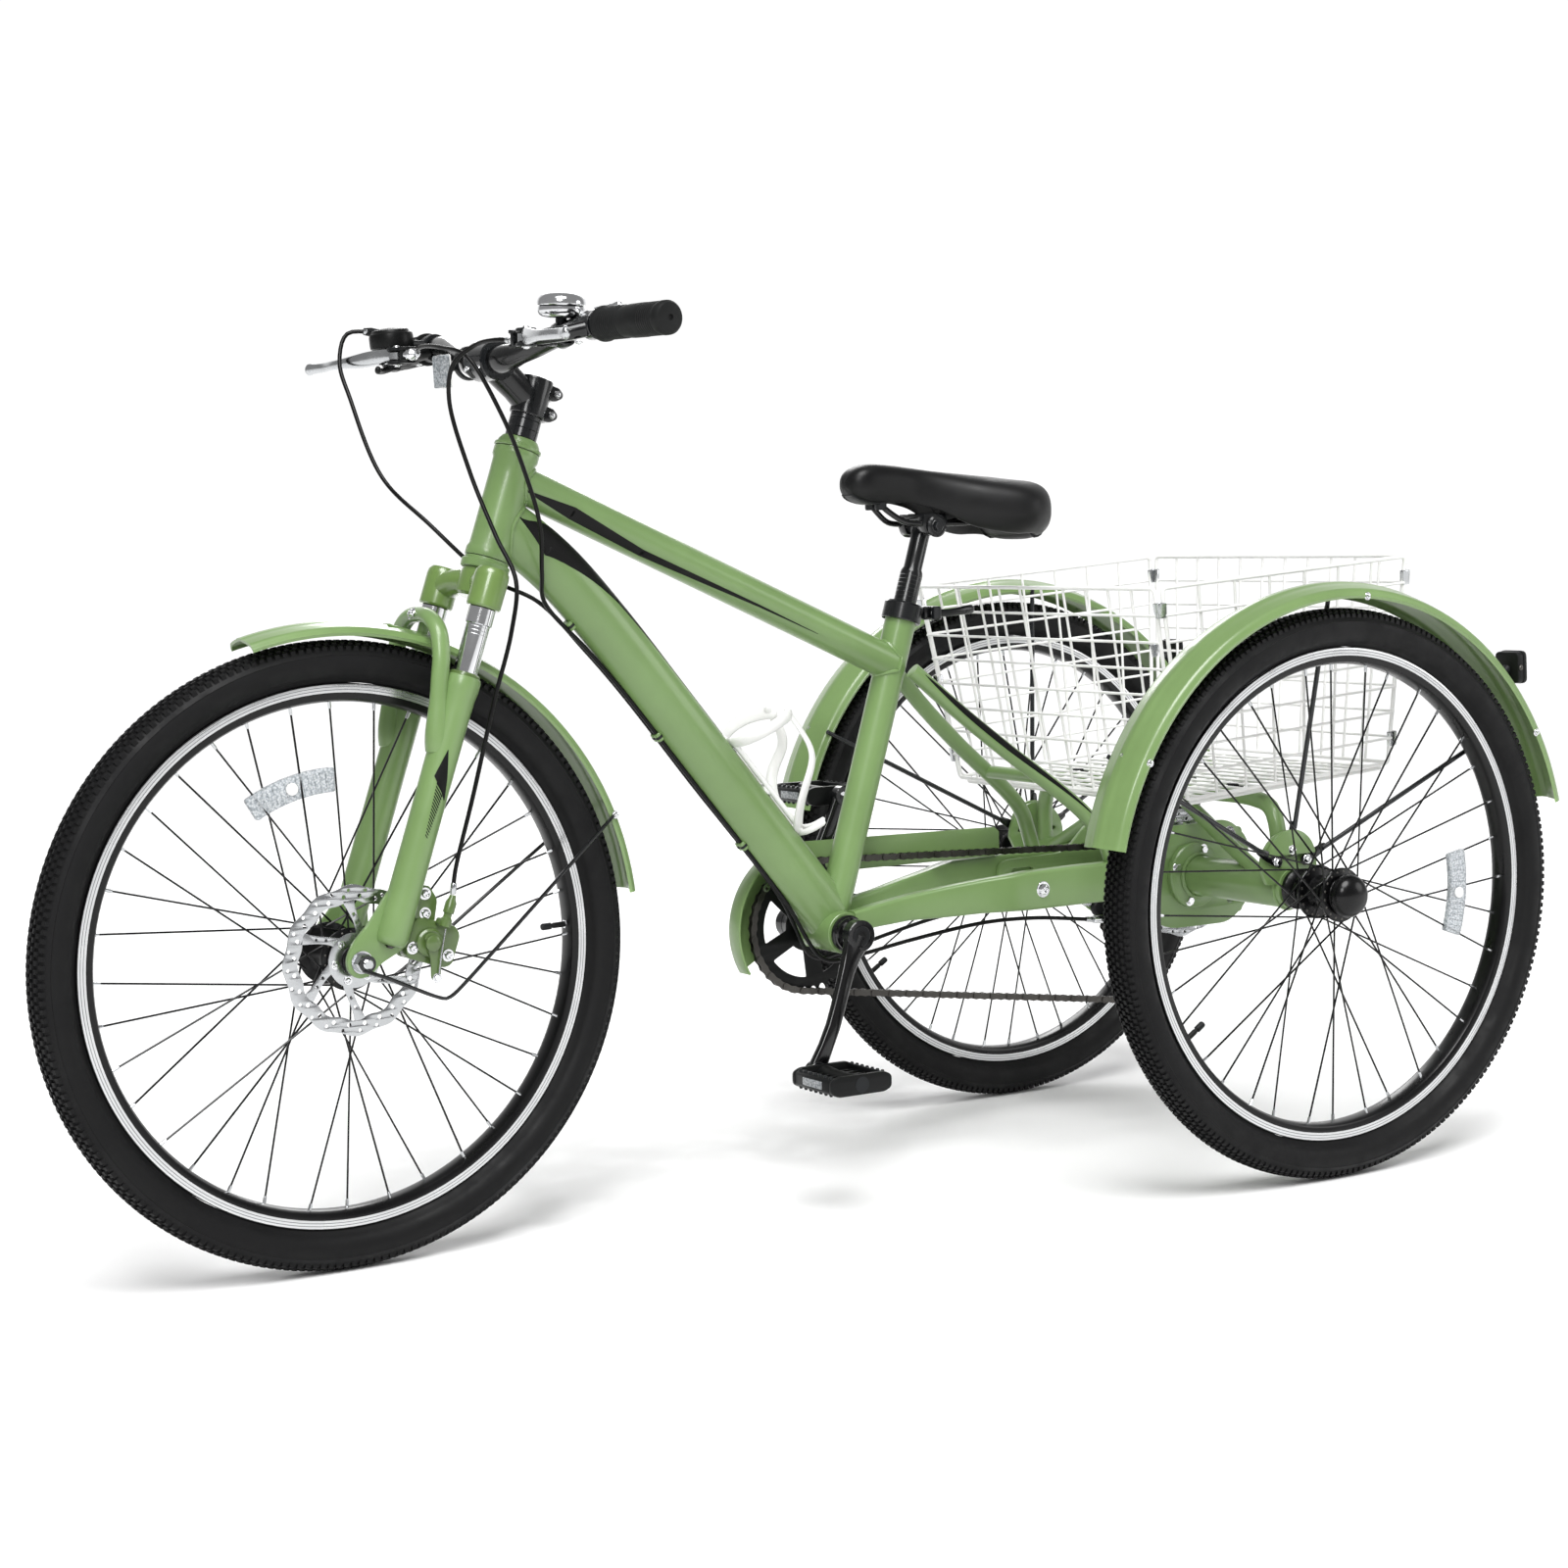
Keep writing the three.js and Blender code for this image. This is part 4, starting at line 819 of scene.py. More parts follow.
def add_studio():
    """A pale floor, a room that is white behind the tricycle and dim elsewhere, and soft lamps."""
    add_floor()
    world = bpy.data.worlds.new("studio")
    world.use_nodes = True
    tree = world.node_tree
    place = tree.nodes.new("ShaderNodeTexCoord")
    facing = tree.nodes.new("ShaderNodeVectorMath")
    facing.operation = "DOT_PRODUCT"
    facing.inputs[1].default_value = (math.cos(CAMERA_YAW), math.sin(CAMERA_YAW), 0)
    fade = tree.nodes.new("ShaderNodeMapRange")
    fade.interpolation_type = "SMOOTHSTEP"
    fade.inputs["From Min"].default_value = 0.55
    fade.inputs["From Max"].default_value = 0.88
    fade.inputs["To Min"].default_value = 0.3
    fade.inputs["To Max"].default_value = 1.05
    tree.links.new(place.outputs["Generated"], facing.inputs[0])
    tree.links.new(facing.outputs["Value"], fade.inputs["Value"])
    tree.links.new(fade.outputs["Result"], tree.nodes["Background"].inputs["Strength"])
    tree.nodes["Background"].inputs["Color"].default_value = (1, 1, 1, 1)
    bpy.context.scene.world = world
    bpy.context.scene.view_settings.view_transform = "Standard"
    aim = (0, 0, 0.5)
    add_sun((0.25, 0.5, 1), 35, 3.0)
    add_lamp("key", (2.6, 3.2, 3.0), aim, 1.6, 70)
    add_lamp("fill", (-3.5, 2.5, 1.6), aim, 2.0, 25)
    add_lamp("back", (-2.0, -3.6, 2.6), aim, 2.0, 50)


# ---------------------------------------------------------------- wheels


def wheel_place(x, y):
    """A wheel's own frame: X ahead, Y down and Z towards the rider's left, from its centre."""
    return facing_left(x, y, WHEEL_Z)


def tyre_points():
    """Half of the tyre's section: (radius, distance from its middle plane)."""
    bead = [
        (0.6, 11.5), (4.0, 13.6), (5.2, 15.8), (7.0, 17.6), (7.6, 19.0), (12, 22.6), (18, 24.6), (24, 24.8),
        (29, 23.6), (30, 24.2), (33, 22.0),
    ]
    crown = [(4.5, 18.4), (1.6, 12.2), (0.3, 5.6), (0, 0)]
    points = [(RIM_OUTER + height, width) for height, width in bead]
    return points + [(TREAD_FLOOR - drop, width) for drop, width in crown]


KNOB_ROWS = 232


def tread(shape):
    """Close rows of small square blocks, each column half a step on from the next."""
    pitch = 360 / KNOB_ROWS
    columns = [
        (0.0, 2.3, TREAD_FLOOR - 0.6, TYRE_RADIUS),
        (6.6, 2.3, TREAD_FLOOR - 1.4, TYRE_RADIUS - 0.5),
        (13.0, 2.2, TREAD_FLOOR - 3.4, TYRE_RADIUS - 2.2),
        (18.8, 2.2, TREAD_FLOOR - 6.8, TYRE_RADIUS - 5.4),
    ]
    for row in range(KNOB_ROWS):
        for column, (across, half, low, high) in enumerate(columns):
            centre = (row + column % 2 / 2) * pitch
            for side in (1, -1) if across else (1,):
                knob(shape, centre, pitch * 0.33, across * side, half, low, high)


def knob(shape, centre, reach, across, half, low, high):
    """One block of tread, a little smaller at its top and leaning out with the tyre's shoulder."""
    rings = []
    for radius, size in ((low, 1.0), (high, 0.86)):
        ring = []
        for along, out in ((-1, -1), (1, -1), (1, 1), (-1, 1)):
            offset = across + out * half * size
            drop = max(0, abs(offset) - 12) * 0.45 - max(0, abs(across) - 12) * 0.45
            x, y = polar((0, 0), radius - drop, centre + along * reach * size)
            ring.append((x, y, offset))
        rings.append(ring)
    shape.loft(rings)


def tyre(name, body, x, y, node):
    """A tyre on its rim, with its tread."""
    shape = Shape("tyre").at(wheel_place(x, y))
    half = tyre_points()
    profile = half + [(r, -d) for r, d in reversed(half[:-1])]
    shape.turned(profile, sides=144)
    tread(shape)
    shape.make(name, body, "tyre", [node], 38)


def rim_profile():
    """The rim's section as (radius, offset) with the finish of each band."""
    side = [
        (RIM_INNER - 3.6, 5, "wheel_black"),
        (RIM_INNER - 2.6, 9.4, "wheel_black"),
        (RIM_INNER - 0.8, 12.2, "wheel_black"),
        (RIM_INNER + 1.2, 13.1, "wheel_black"),
        (RIM_INNER + 6.4, 13.4, "brake_track"),
        (RIM_INNER + 8.9, 13.5, "track_line"),
        (RIM_INNER + 9.6, 13.5, "brake_track"),
        (RIM_INNER + 12.0, 13.5, "track_line"),
        (RIM_INNER + 12.7, 13.5, "brake_track"),
        (RIM_OUTER - 1.0, 13.6, "wheel_black"),
        (RIM_OUTER, 13.2, "wheel_black"),
        (RIM_OUTER, 11.2, "wheel_black"),
        (RIM_OUTER - 5, 10.4, "wheel_black"),
    ]
    profile = [(r, d) for r, d, _ in side] + [(r, -d) for r, d, _ in reversed(side)]
    bands = [f for _, _, f in side] + [f for _, _, f in reversed(side[:-1])] + ["wheel_black"]
    return profile, bands


def spokes(shape, flange_radius, flange_left, flange_right):
    """Thirty-six laced spokes, heads pulling both ways from each flange, with nipples at the rim."""
    for i in range(SPOKES):
        left = i % 2 == 0
        leading = (i // 2) % 2 == 0
        flange = flange_left if left else flange_right
        rim_angle = 360 * i / SPOKES
        lead = 64 if leading else -64
        outside = 1.6 if leading else -1.6
        x0, y0 = polar((0, 0), flange_radius, rim_angle + lead)
        x1, y1 = polar((0, 0), RIM_INNER + 2, rim_angle)
        near = 4 if left else -4
        start = Vector((x0, y0, flange + outside))
        end = Vector((x1, y1, near))
        way = (end - start).normalized()
        shape.tube([start, start + way * 18, end], [1.3, 1.15, 1.15], 6, "wheel_black")
        head = start - Vector((0, 0, outside * 1.7))
        shape.tube([head, start, start + way * 2], 1.3, 6, "wheel_black")
        nipple = [(0, 0), (1.5, 0), (1.9, 2), (1.9, 9), (2.6, 12), (2.6, 15), (0, 15)]
        shape.turned(nipple, end - way * 13, way, 8, "bare_alloy")


def valve(shape, degrees):
    """A valve stem with its cap and lock ring, pointing at the hub."""
    x, y = polar((0, 0), RIM_INNER + 4, degrees)
    way = Vector((-x, -y, 0)).normalized()
    stem = [
        (0, 0), (4.6, 0), (4.6, 3), (3.2, 5), (3.2, 22), (2.6, 23), (2.6, 25), (3.9, 25.5), (3.9, 35),
        (3, 36.5), (0, 37),
    ]
    shape.turned(stem, (x, y, 0), way, 16, "black_plastic")
    ring = [(0, 6), (5, 6), (5, 8.5), (0, 8.5)]
    shape.turned(ring, (x, y, 0), way, 6, "bright_metal")


def spoke_reflector(shape, degrees, radius, side):
    """A curved clear bar clipped between two spokes."""
    half = 15
    outer = arc((0, 0), radius + 13, degrees - half, degrees + half, 14)
    inner = arc((0, 0), radius - 13, degrees + half, degrees - half, 14)
    depth = side * 9
    bar = rounded_outline(outer + inner, 8, 3)
    shape.plate(bar, depth - 3.5, depth + 3.5, finish="clear_plastic", bevel=1.0, place=AS_BUILT)
    x, y = polar((0, 0), radius, degrees)
    clip = [(0, -6), (6, -6), (6.5, -4), (6.5, 5), (0, 6)]
    shape.turned(clip, (x, y, depth), sides=16, finish="white_plastic")
    for i in range(-6, 7):
        a = polar((0, 0), radius - 9, degrees + i * 2)
        b = polar((0, 0), radius + 9, degrees + i * 2)
        shape.tube([(*a, depth + 3.2), (*b, depth + 3.2)], 0.7, 6, "clear_plastic")


def flange_holes(shape, radius, offset, side):
    """The spoke heads round a hub flange, seen as small studs."""
    for i in range(SPOKES // 2):
        x, y = polar((0, 0), radius, 360 * i / (SPOKES // 2) + 7)
        stud = [(0, 0), (1.9, 0), (1.9, 0.5), (1.1, 1.1), (0, 1.2)]
        shape.turned(stud, (x, y, offset), (0, 0, side), 8, "dark_steel")


def rotor_track():
    """The wavy outer and inner edges of a brake disc's track, and the holes drilled through it."""
    waves = 12
    steps = waves * 12
    outer = []
    inner = []
    for i in range(steps):
        angle = 360 * i / steps
        wave = math.cos(math.radians(angle * waves))
        outer.append(polar((0, 0), 78.4 + 1.5 * wave, angle))
        inner.append(polar((0, 0), 62.0 + 1.6 * wave, angle))
    holes = []
    for i in range(waves * 2):
        angle = 360 * i / (waves * 2) + 3
        holes.append(circle(polar((0, 0), 74.0, angle), 2.0, 12))
        holes.append(circle(polar((0, 0), 67.6, angle + 5), 2.5, 12))
    return outer, inner, holes


def rotor_arm(start):
    """One curved arm from the hub to the track, and its holes."""
    line = []
    for step in range(9):
        share = step / 8
        turn = start + 46 * share - 20 * share * share
        line.append((mix(24, 63.5, share), turn, mix(6.4, 4.2, math.sin(share * math.pi))))
    left = [polar((0, 0), r, a + math.degrees(w / r)) for r, a, w in line]
    right = [polar((0, 0), r, a - math.degrees(w / r)) for r, a, w in line]
    holes = [circle(polar((0, 0), r, a), 1.7, 10) for r, a, _ in line[3:7:2]]
    return left + right[::-1], holes


def rotor_shape(shape, offset):
    """A wavy drilled brake disc on six curved arms."""
    low, high = offset - 0.95, offset + 0.95
    outer, inner, holes = rotor_track()
    shape.plate(outer, low, high, [inner, *holes], "rotor_steel", 0.2, AS_BUILT)
    for i in range(6):
        arm, arm_holes = rotor_arm(60 * i + 8)
        shape.plate(arm, low, high, arm_holes, "rotor_steel", 0.2, AS_BUILT)
    hub = circle((0, 0), 29, 48)
    shape.plate(hub, low - 0.05, high + 0.05, [circle((0, 0), 14.5, 32)], "rotor_steel", 0.2, AS_BUILT)


def rotor_bolts(shape, offset):
    """The six bolts on a brake disc's left face."""
    for i in range(6):
        x, y = polar((0, 0), 22, 60 * i + 8)
        shape.bolt((x, y, offset), (0, 0, 1), 3.2, 2.2)


def wheel_shape(x, y, flange_radius, flange_left, flange_right):
    """A rim with its spokes, in the wheel's own frame."""
    shape = Shape("wheel_black").at(wheel_place(x, y))
    profile, bands = rim_profile()
    shape.turned(profile, sides=144, bands=bands)
    spokes(shape, flange_radius, flange_left, flange_right)
    return shape


def front_wheel():
    """The front rim, hub, spokes, tyre and brake disc."""
    shape = wheel_shape(WHEELBASE, 0, 29, 27, -31)
    hub = [
        (5.4, -46), (9, -46), (11, -43), (14, -35), (22, -34), (32.5, -33), (33.2, -32), (33.2, -30),
        (32.4, -29), (24, -27), (19.5, -20), (18.5, 0), (19.5, 14), (25, 21), (32.4, 25), (33.2, 26),
        (33.2, 28), (32.4, 29), (25, 31), (22.4, 36.7), (14.0, 36.7), (14.0, 42), (11, 46), (5.4, 46),
    ]
    shape.turned(hub)
    flange_holes(shape, 28.5, 29, 1)
    flange_holes(shape, 28.5, -33, -1)
    valve(shape, -178)
    spoke_reflector(shape, -74, 188, 1)
    shape.make("front_wheel_built", "front_wheel", "wheel_black", ["wheel_front"], 30)
    tyre("front_tyre", "front_wheel", WHEELBASE, 0, "tyre_front")
    disc = Shape("rotor_steel").at(wheel_place(WHEELBASE, 0))
    rotor_shape(disc, 38)
    rotor_bolts(disc, 38.9)
    disc.make("front_rotor", "front_wheel", "rotor_steel", ["rotor_front"])
    front_axle()


def front_axle():
    """The axle with a washer, a nut and a threaded end on each side."""
    axle = Shape("bare_alloy").at(wheel_place(WHEELBASE, 0))
    nut = [(0, 0), (9.6, 0), (10.2, 1), (10.2, 7.6), (9, 9), (0, 9.6)]
    washer = [(0, 0), (12, 0), (12, 1.4), (0, 1.4)]
    thread = [(4.6, 0), (5.3, 0.5), (4.6, 1)]
    for side in SIDES:
        out = (0, 0, side)
        axle.turned(washer, (0, 0, 57.4 * side), out, 28)
        axle.turned(nut, (0, 0, 58.6 * side), out, 6)
        axle.rod((0, 0, 60 * side), (0, 0, 76.5 * side), 4.9, 16)
        for turn in range(7):
            axle.turned(thread, (0, 0, (68.4 + turn * 1.1) * side), out, 16, "bright_metal")
    axle.rod((0, 0, -58), (0, 0, 58), 4.9, 16)
    axle.make("front_axle", "fork_slider", "bare_alloy", ["axle_front"])


def rear_wheels():
    """The two rear wheels, each with a long spool hub and a domed cap."""
    hub = [
        (8.9, 252), (22, 252), (24, 254), (24, 259), (21, 262), (17.5, 264), (17.5, 268), (20, 269),
        (20, 272), (17.5, 273), (17.5, 284), (22, 286), (31, 287.4), (31.8, 288.6), (31.8, 291), (31, 292),
        (20, 294), (18, 298), (18, 306), (21, 308), (21, 312), (18, 314), (18, 322), (22, 325),
        (31, 326.6), (31.8, 328), (31.8, 330.2), (31, 331.4), (22, 333), (20.5, 334.5), (24.4, 336.5),
        (25.4, 341), (24.6, 346), (21.6, 351), (16.5, 355), (9, 357.6), (0, 358.4), (0, 347), (8.9, 347),
    ]
    for side, name in LEFT_AND_RIGHT:
        y = HALF_TRACK * side
        body = "rear_wheel_left" if side > 0 else "rear_drive"
        shape = wheel_shape(0, y, 28, 329 * side - y, 290 * side - y)
        shape.turned(on_side(hub, side, y), sides=56)
        flange_holes(shape, 27.5, 331.2 * side - y, side)
        flange_holes(shape, 27.5, 292 * side - y, side)
        valve(shape, 33)
        spoke_reflector(shape, 176, 190, side)
        shape.make(f"rear_wheel_{name}_built", body, "wheel_black", [f"wheel_rear_{name}"], 30)
        tyre(f"rear_tyre_{name}", body, 0, y, f"tyre_rear_{name}")


def rear_axle():
    """The shaft inside the carrier, with the brake disc and its boss; the sprockets turn beside it."""
    shape = Shape("bare_alloy").at(wheel_place(0, 0))
    shape.rod((0, 0, -345.5), (0, 0, 345.5), 8.4, 24)
    rotor_shape(shape, 45)
    boss = [(0, 38), (14, 38), (15, 40), (32, 42.5), (33, 43.5), (33, 44), (0, 44)]
    shape.turned(boss, sides=40, finish="black_alloy")
    shape.turned([(0, 46), (30, 46), (30, 48), (14, 51), (0, 51.5)], sides=40, finish="black_alloy")
    rotor_bolts(shape, 47.6)
    shape.make("rear_shaft", "rear_drive", "bare_alloy", ["axle_rear"])


def toothed(radius, teeth, depth):
    """A sprocket's outline, its teeth drawn as short flats on round shoulders."""
    outline = []
    for i in range(teeth):
        start = 360 * i / teeth
        step = 360 / teeth
        for share, height in ((0.0, 0.0), (0.2, 0.25), (0.38, 0.95), (0.5, 1.0), (0.62, 0.95), (0.8, 0.25)):
            outline.append(polar((0, 0), radius + depth * height, start + step * share))
    return outline


LINK = 12.7  # one link of the chain
SPROCKET_TEETH = (14, 16, 18, 20, 22, 24, 28)


def sprockets():
    """Seven sprockets side by side on a carrier, with a lock ring."""
    shape = Shape("dark_steel").at(wheel_place(0, 0))
    gap = 4.0
    for i, teeth in enumerate(SPROCKET_TEETH):
        pitch_radius = LINK / 2 / math.sin(math.pi / teeth)
        middle = CHAIN_Y + gap * i
        holes = [circle((0, 0), 12, 24)]
        if teeth > 18:
            for k in range(6):
                window = polar((0, 0), pitch_radius * 0.68, 60 * k + 9 * i)
                holes.append(circle(window, pitch_radius * 0.16, 14))
        outline = toothed(pitch_radius - 4.2, teeth, 5.2)
        shape.plate(outline, middle - 0.9, middle + 0.9, holes, bevel=0.25, place=AS_BUILT)
    shape.turned([(9.0, -49.6), (16, -49.6), (17, -48), (17, -21), (9.0, -21)], sides=32)
    lock_ring = [(9.0, -52), (12, -52), (13, -50), (13, -49), (9.0, -49)]
    shape.turned(lock_ring, sides=24, finish="bare_alloy")
    shape.make("sprocket_stack", "cassette", "dark_steel", ["cassette"])


# ---------------------------------------------------------------- frame

HEAD_LOW = 450
HEAD_HIGH = 573
HEAD_RADIUS = 23
TOP_TUBE = (Vector((896, 0, 831)), Vector((403, 0, 610)))
TOP_RADIUS = 20.5
SEAT_RADIUS = 18.5
SHELL_RADIUS = 24.2
DOWN_HALF = 21
DOWN_DEPTH = 31
DOWN_POINTS = [(912, 0, 785), (878, 0, 761), (838, 0, 727), (781, 0, 665), (700, 0, 567), (497, 0, 320)]


class Bar:
    """A swept tube that stripes and weld beads can be laid on. Angle 0 looks left and 90 up."""

    def __init__(self, path, half_width, half_depth):
        """Keeps the path and the two half sizes of the section."""
        self.path = [Vector(p) for p in path]
        self.half_width = half_width
        self.half_depth = half_depth

    def place(self, t):
        """The centre and the way ahead at a share of the path."""
        spot = t * (len(self.path) - 1)
        i = min(len(self.path) - 2, int(spot))
        share = spot - i
        here = self.path[i].lerp(self.path[i + 1], share)
        before = self.path[max(0, i - 1)]
        after = self.path[min(len(self.path) - 1, i + 2)]
        return here, (after - before).normalized()

    def surface(self, t, degrees):
        """A place on the tube and the way it faces."""
        centre, ahead = self.place(t)
        left = Vector((0, 1, 0))
        up = ahead.cross(left)
        if up.z < 0:
            up = -up
        c = math.cos(math.radians(degrees))
        s = math.sin(math.radians(degrees))
        spot = centre + left * c * self.half_width + up * s * self.half_depth
        normal = (left * c / self.half_width + up * s / self.half_depth).normalized()
        return spot, normal

    def seen_from(self, side):
        """The surface with its angles mirrored on the right side."""
        return lambda t, degrees: self.surface(t, degrees if side > 0 else 180 - degrees)


def weld(shape, start, way, radius, axis_point, axis_way, other_radius, squash=1.0):
    """A bead where one round tube meets another, along the line where their surfaces cross."""
    corners = 48
    bead = 2.4
    way = Vector(way).normalized()
    axis_way = Vector(axis_way).normalized()
    side = Vector((0, 1, 0))
    out = way.cross(side).normalized()
    across = way - axis_way * way.dot(axis_way)
    a = across.dot(across)
    path = []
    for k in range(corners):
        turn = WHOLE_TURN * k / corners
        origin = Vector(start) + side * math.cos(turn) * radius * squash + out * math.sin(turn) * radius
        gap = origin - Vector(axis_point)
        gap -= axis_way * gap.dot(axis_way)
        b = 2 * gap.dot(across)
        c = gap.dot(gap) - other_radius**2
        inside = max(0, b * b - 4 * a * c)
        distance = (-b - math.sqrt(inside)) / (2 * a)
        path.append(origin + way * distance)
    ripple = [bead * (1 + 0.12 * math.cos(k * math.pi)) for k in range(corners)]
    shape.tube(path, ripple, 8, closed=True)


def head_tube(shape):
    """The head tube with a thicker ring at either end."""
    low, high = HEAD_LOW, HEAD_HIGH
    profile = [
        (17.8, low + 0.5), (24.6, low + 0.5), (25.0, low + 1.5), (25.0, low + 9), (23.2, low + 13),
        (23, low + 30), (23, high - 30), (23.2, high - 13), (25.0, high - 9), (25.0, high - 1.5),
        (24.6, high - 0.5), (17.8, high - 0.5),
    ]
    shape.turned(profile, on_steer(0, 0, 0), STEER_UP, 56)


def tube_stripes(shape, down, top):
    """Black swooshes on both sides of the down tube and a long tapering stripe along the top tube."""
    swoosh = (
        (0.02, 0.1, between(24, -6), lambda u: mix(26, 72, ease(0, 1, u))),
        (0.1, 0.27, lambda u: mix(-6, 50, u**0.9), between(72, 76)),
        (0.27, 0.46, between(50, 70), between(76, 78)),
        (0.46, 0.6, between(70, 77), between(78, 78)),
    )
    stripe = (
        (0.02, 0.14, between(-24, -46), between(-22, -4)),
        (0.14, 0.32, between(-46, -56), between(-4, -30)),
        (0.32, 0.62, between(-56, -34), between(-30, -26)),
        (0.62, 0.78, between(-34, -29), between(-26, -28)),
    )
    for side in SIDES:
        for bar, parts in ((down, swoosh), (top, stripe)):
            for part in parts:
                shape.skin(bar.seen_from(side), *part, 40)


def chain_stay_rings(side):
    """The box-section stay: centre, width and height at each place from the bottom bracket to its end."""
    stops = [
        ((485, 29, 315), 18, 24), ((450, 31, 320), 18, 27), ((410, 34, 325), 18, 30),
        ((366, 46, 329), 19, 36), ((322, 58, 333), 20, 40), ((294, 69, 335), 21, 43),
        ((267, 77.5, 337), 22, 46), ((180, 77.5, 338), 22, 47), ((101, 77.5, 338), 22, 47),
    ]
    rings = []
    for (x, y, z), width, height in stops:
        low = Vector((-width / 2, 0, -height / 2))
        high = Vector((width / 2, 0, height / 2))
        flat = rounded_rectangle(low, high, 0, 4, 0)
        rings.append([Vector((x, y * side + p.x, z + p.z)) for p in flat])
    return rings


SEAT_STAY = [(386, 20, 602), (330, 34, 551), (278, 45, 508), (168, 66, 420), (146, 76, 385), (134, 78, 348)]


def stays(shape):
    """The chain stays, the seat stays with a black leaf on each and the two cross pieces."""
    radius = 9.6
    for side in SIDES:
        shape.loft(chain_stay_rings(side))
        stay = smooth_path(mirrored(SEAT_STAY, side), 40)
        shape.tube(stay, radius, 20)
        middle = 20 if side > 0 else 160

        def lower(u, middle=middle):
            return middle - 30 * math.sin(math.pi * u**0.7) - 1

        def upper(u, middle=middle):
            return middle + 22 * math.sin(math.pi * u**0.7) + 1

        shape.skin(Bar(stay, radius, radius).surface, 0.03, 0.82, lower, upper, 30)
    shape.rod((225, -52, 468), (225, 52, 468), 8, 20)
    shape.block((425, -31, 306), (441, 31, 322), 3)


def main_frame():
    """The welded tubes in front of the carrier, with their stripes, beads and small fittings."""
    shape = Shape("frame_paint")
    squash = DOWN_HALF / DOWN_DEPTH
    down_path = smooth_path(DOWN_POINTS, 56)
    down = Bar(down_path, DOWN_HALF, DOWN_DEPTH)
    top = Bar([TOP_TUBE[0].lerp(TOP_TUBE[1], i / 30) for i in range(31)], TOP_RADIUS, TOP_RADIUS)
    head_tube(shape)
    shape.tube(top.path, TOP_RADIUS, 40)
    shape.tube(down_path, DOWN_DEPTH, 48, flat=squash, up=(0, 0, 1))
    seat = [
        (14.2, 4), (SEAT_RADIUS, 4), (SEAT_RADIUS, SEAT_LENGTH - 0.6), (SEAT_RADIUS - 0.5, SEAT_LENGTH),
        (14.2, SEAT_LENGTH),
    ]
    shape.turned(seat, BB, SEAT_WAY, 44)
    shell = [(17, -36), (23.4, -36), (SHELL_RADIUS, -35.2), (SHELL_RADIUS, 35.2), (23.4, 36), (17, 36)]
    shape.turned(shell, BB, (0, 1, 0))
    shape.turned([(17.6, -34), (17.6, 34), (12.4, 34), (12.4, -34)], BB, (0, 1, 0), 32, "dark_steel")
    stays(shape)
    top_way = (TOP_TUBE[1] - TOP_TUBE[0]).normalized()
    down_way = (down_path[1] - down_path[0]).normalized()
    down_start = down_path[2] + down_way * 60
    head_line = (on_steer(0, 0, 0), STEER_UP, HEAD_RADIUS)
    weld(shape, TOP_TUBE[1], -top_way, TOP_RADIUS, *head_line)
    weld(shape, TOP_TUBE[0], top_way, TOP_RADIUS, BB, SEAT_WAY, SEAT_RADIUS)
    weld(shape, down_start, -down_way, DOWN_DEPTH, *head_line, squash)
    weld(shape, BB + SEAT_WAY * 150, -SEAT_WAY, SEAT_RADIUS, BB, (0, 1, 0), SHELL_RADIUS)
    tube_stripes(shape, down, top)
    frame_fittings(shape, down)
    shape.make("frame_tubes", "frame", "frame_paint", ["main_frame"], 30)


def frame_fittings(shape, down):
    """Cable clips and bottle bolts on the down tube, and the bolts that hold the carrier to the stays."""
    for t in (0.24, 0.5, 0.78):
        ahead = down.place(t)[1]
        below = down.surface(t, 270)[0]
        for y in (3.2, -3.2):
            spot = Vector((below.x, y, below.z)) + Vector((0, 0, -1.5))
            shape.rod(spot - ahead * 5, spot + ahead * 5, 4.6, 14, "frame_paint")
            shape.tube([spot - ahead * 1.5, spot + ahead * 1.5], 5.0, 14, "black_plastic")
    for s in (150, 214):
        t = 1 - s / 600
        spot, normal = down.surface(t, 90)
        shape.bolt(spot, normal, 3.2, 3)
    for side in SIDES:
        for x in (120, 250):
            shape.bolt((x, 88.4 * side, 338), (0, side, 0), 6.5, 5)
        shape.bolt((300, 68 * side, 343), (0.5, side, 0), 5, 4)
    for degrees in (40, 220):
        x, z = polar((BB.x, BB.z), 16, degrees)
        shape.turned([(0, 0), (2, 0), (2, 1), (0, 1)], (x, 36, z), (0, 1, 0), 10, "black_alloy")


def axle_plate(shape, side):
    """A carrier plate with its slot and holes, bolted to the chain stay."""
    rim = [
        (205, 317), (205, 355), (100, 358), (62, 394), (-60, 398), (-92, 372), (-92, 294), (-60, 268),
        (40, 268), (74, 290), (96, 316),
    ]
    slot = rounded_outline([(150, 328), (186, 328), (186, 344), (150, 344)], 7)
    holes = [slot, circle((0, WHEEL_Z), 22, 40), circle((-62, 300), 8, 20), circle((-62, 366), 8, 20)]
    shape.plate(rounded_outline(rim, 16), *span(side, 60, 66), holes, bevel=0.8)
    for x, z in ((60, 372), (-60, 380), (178, 330), (80, 342)):
        shape.bolt((x, 66 * side, z), (0, side, 0), 6, 5, hexagon=True)


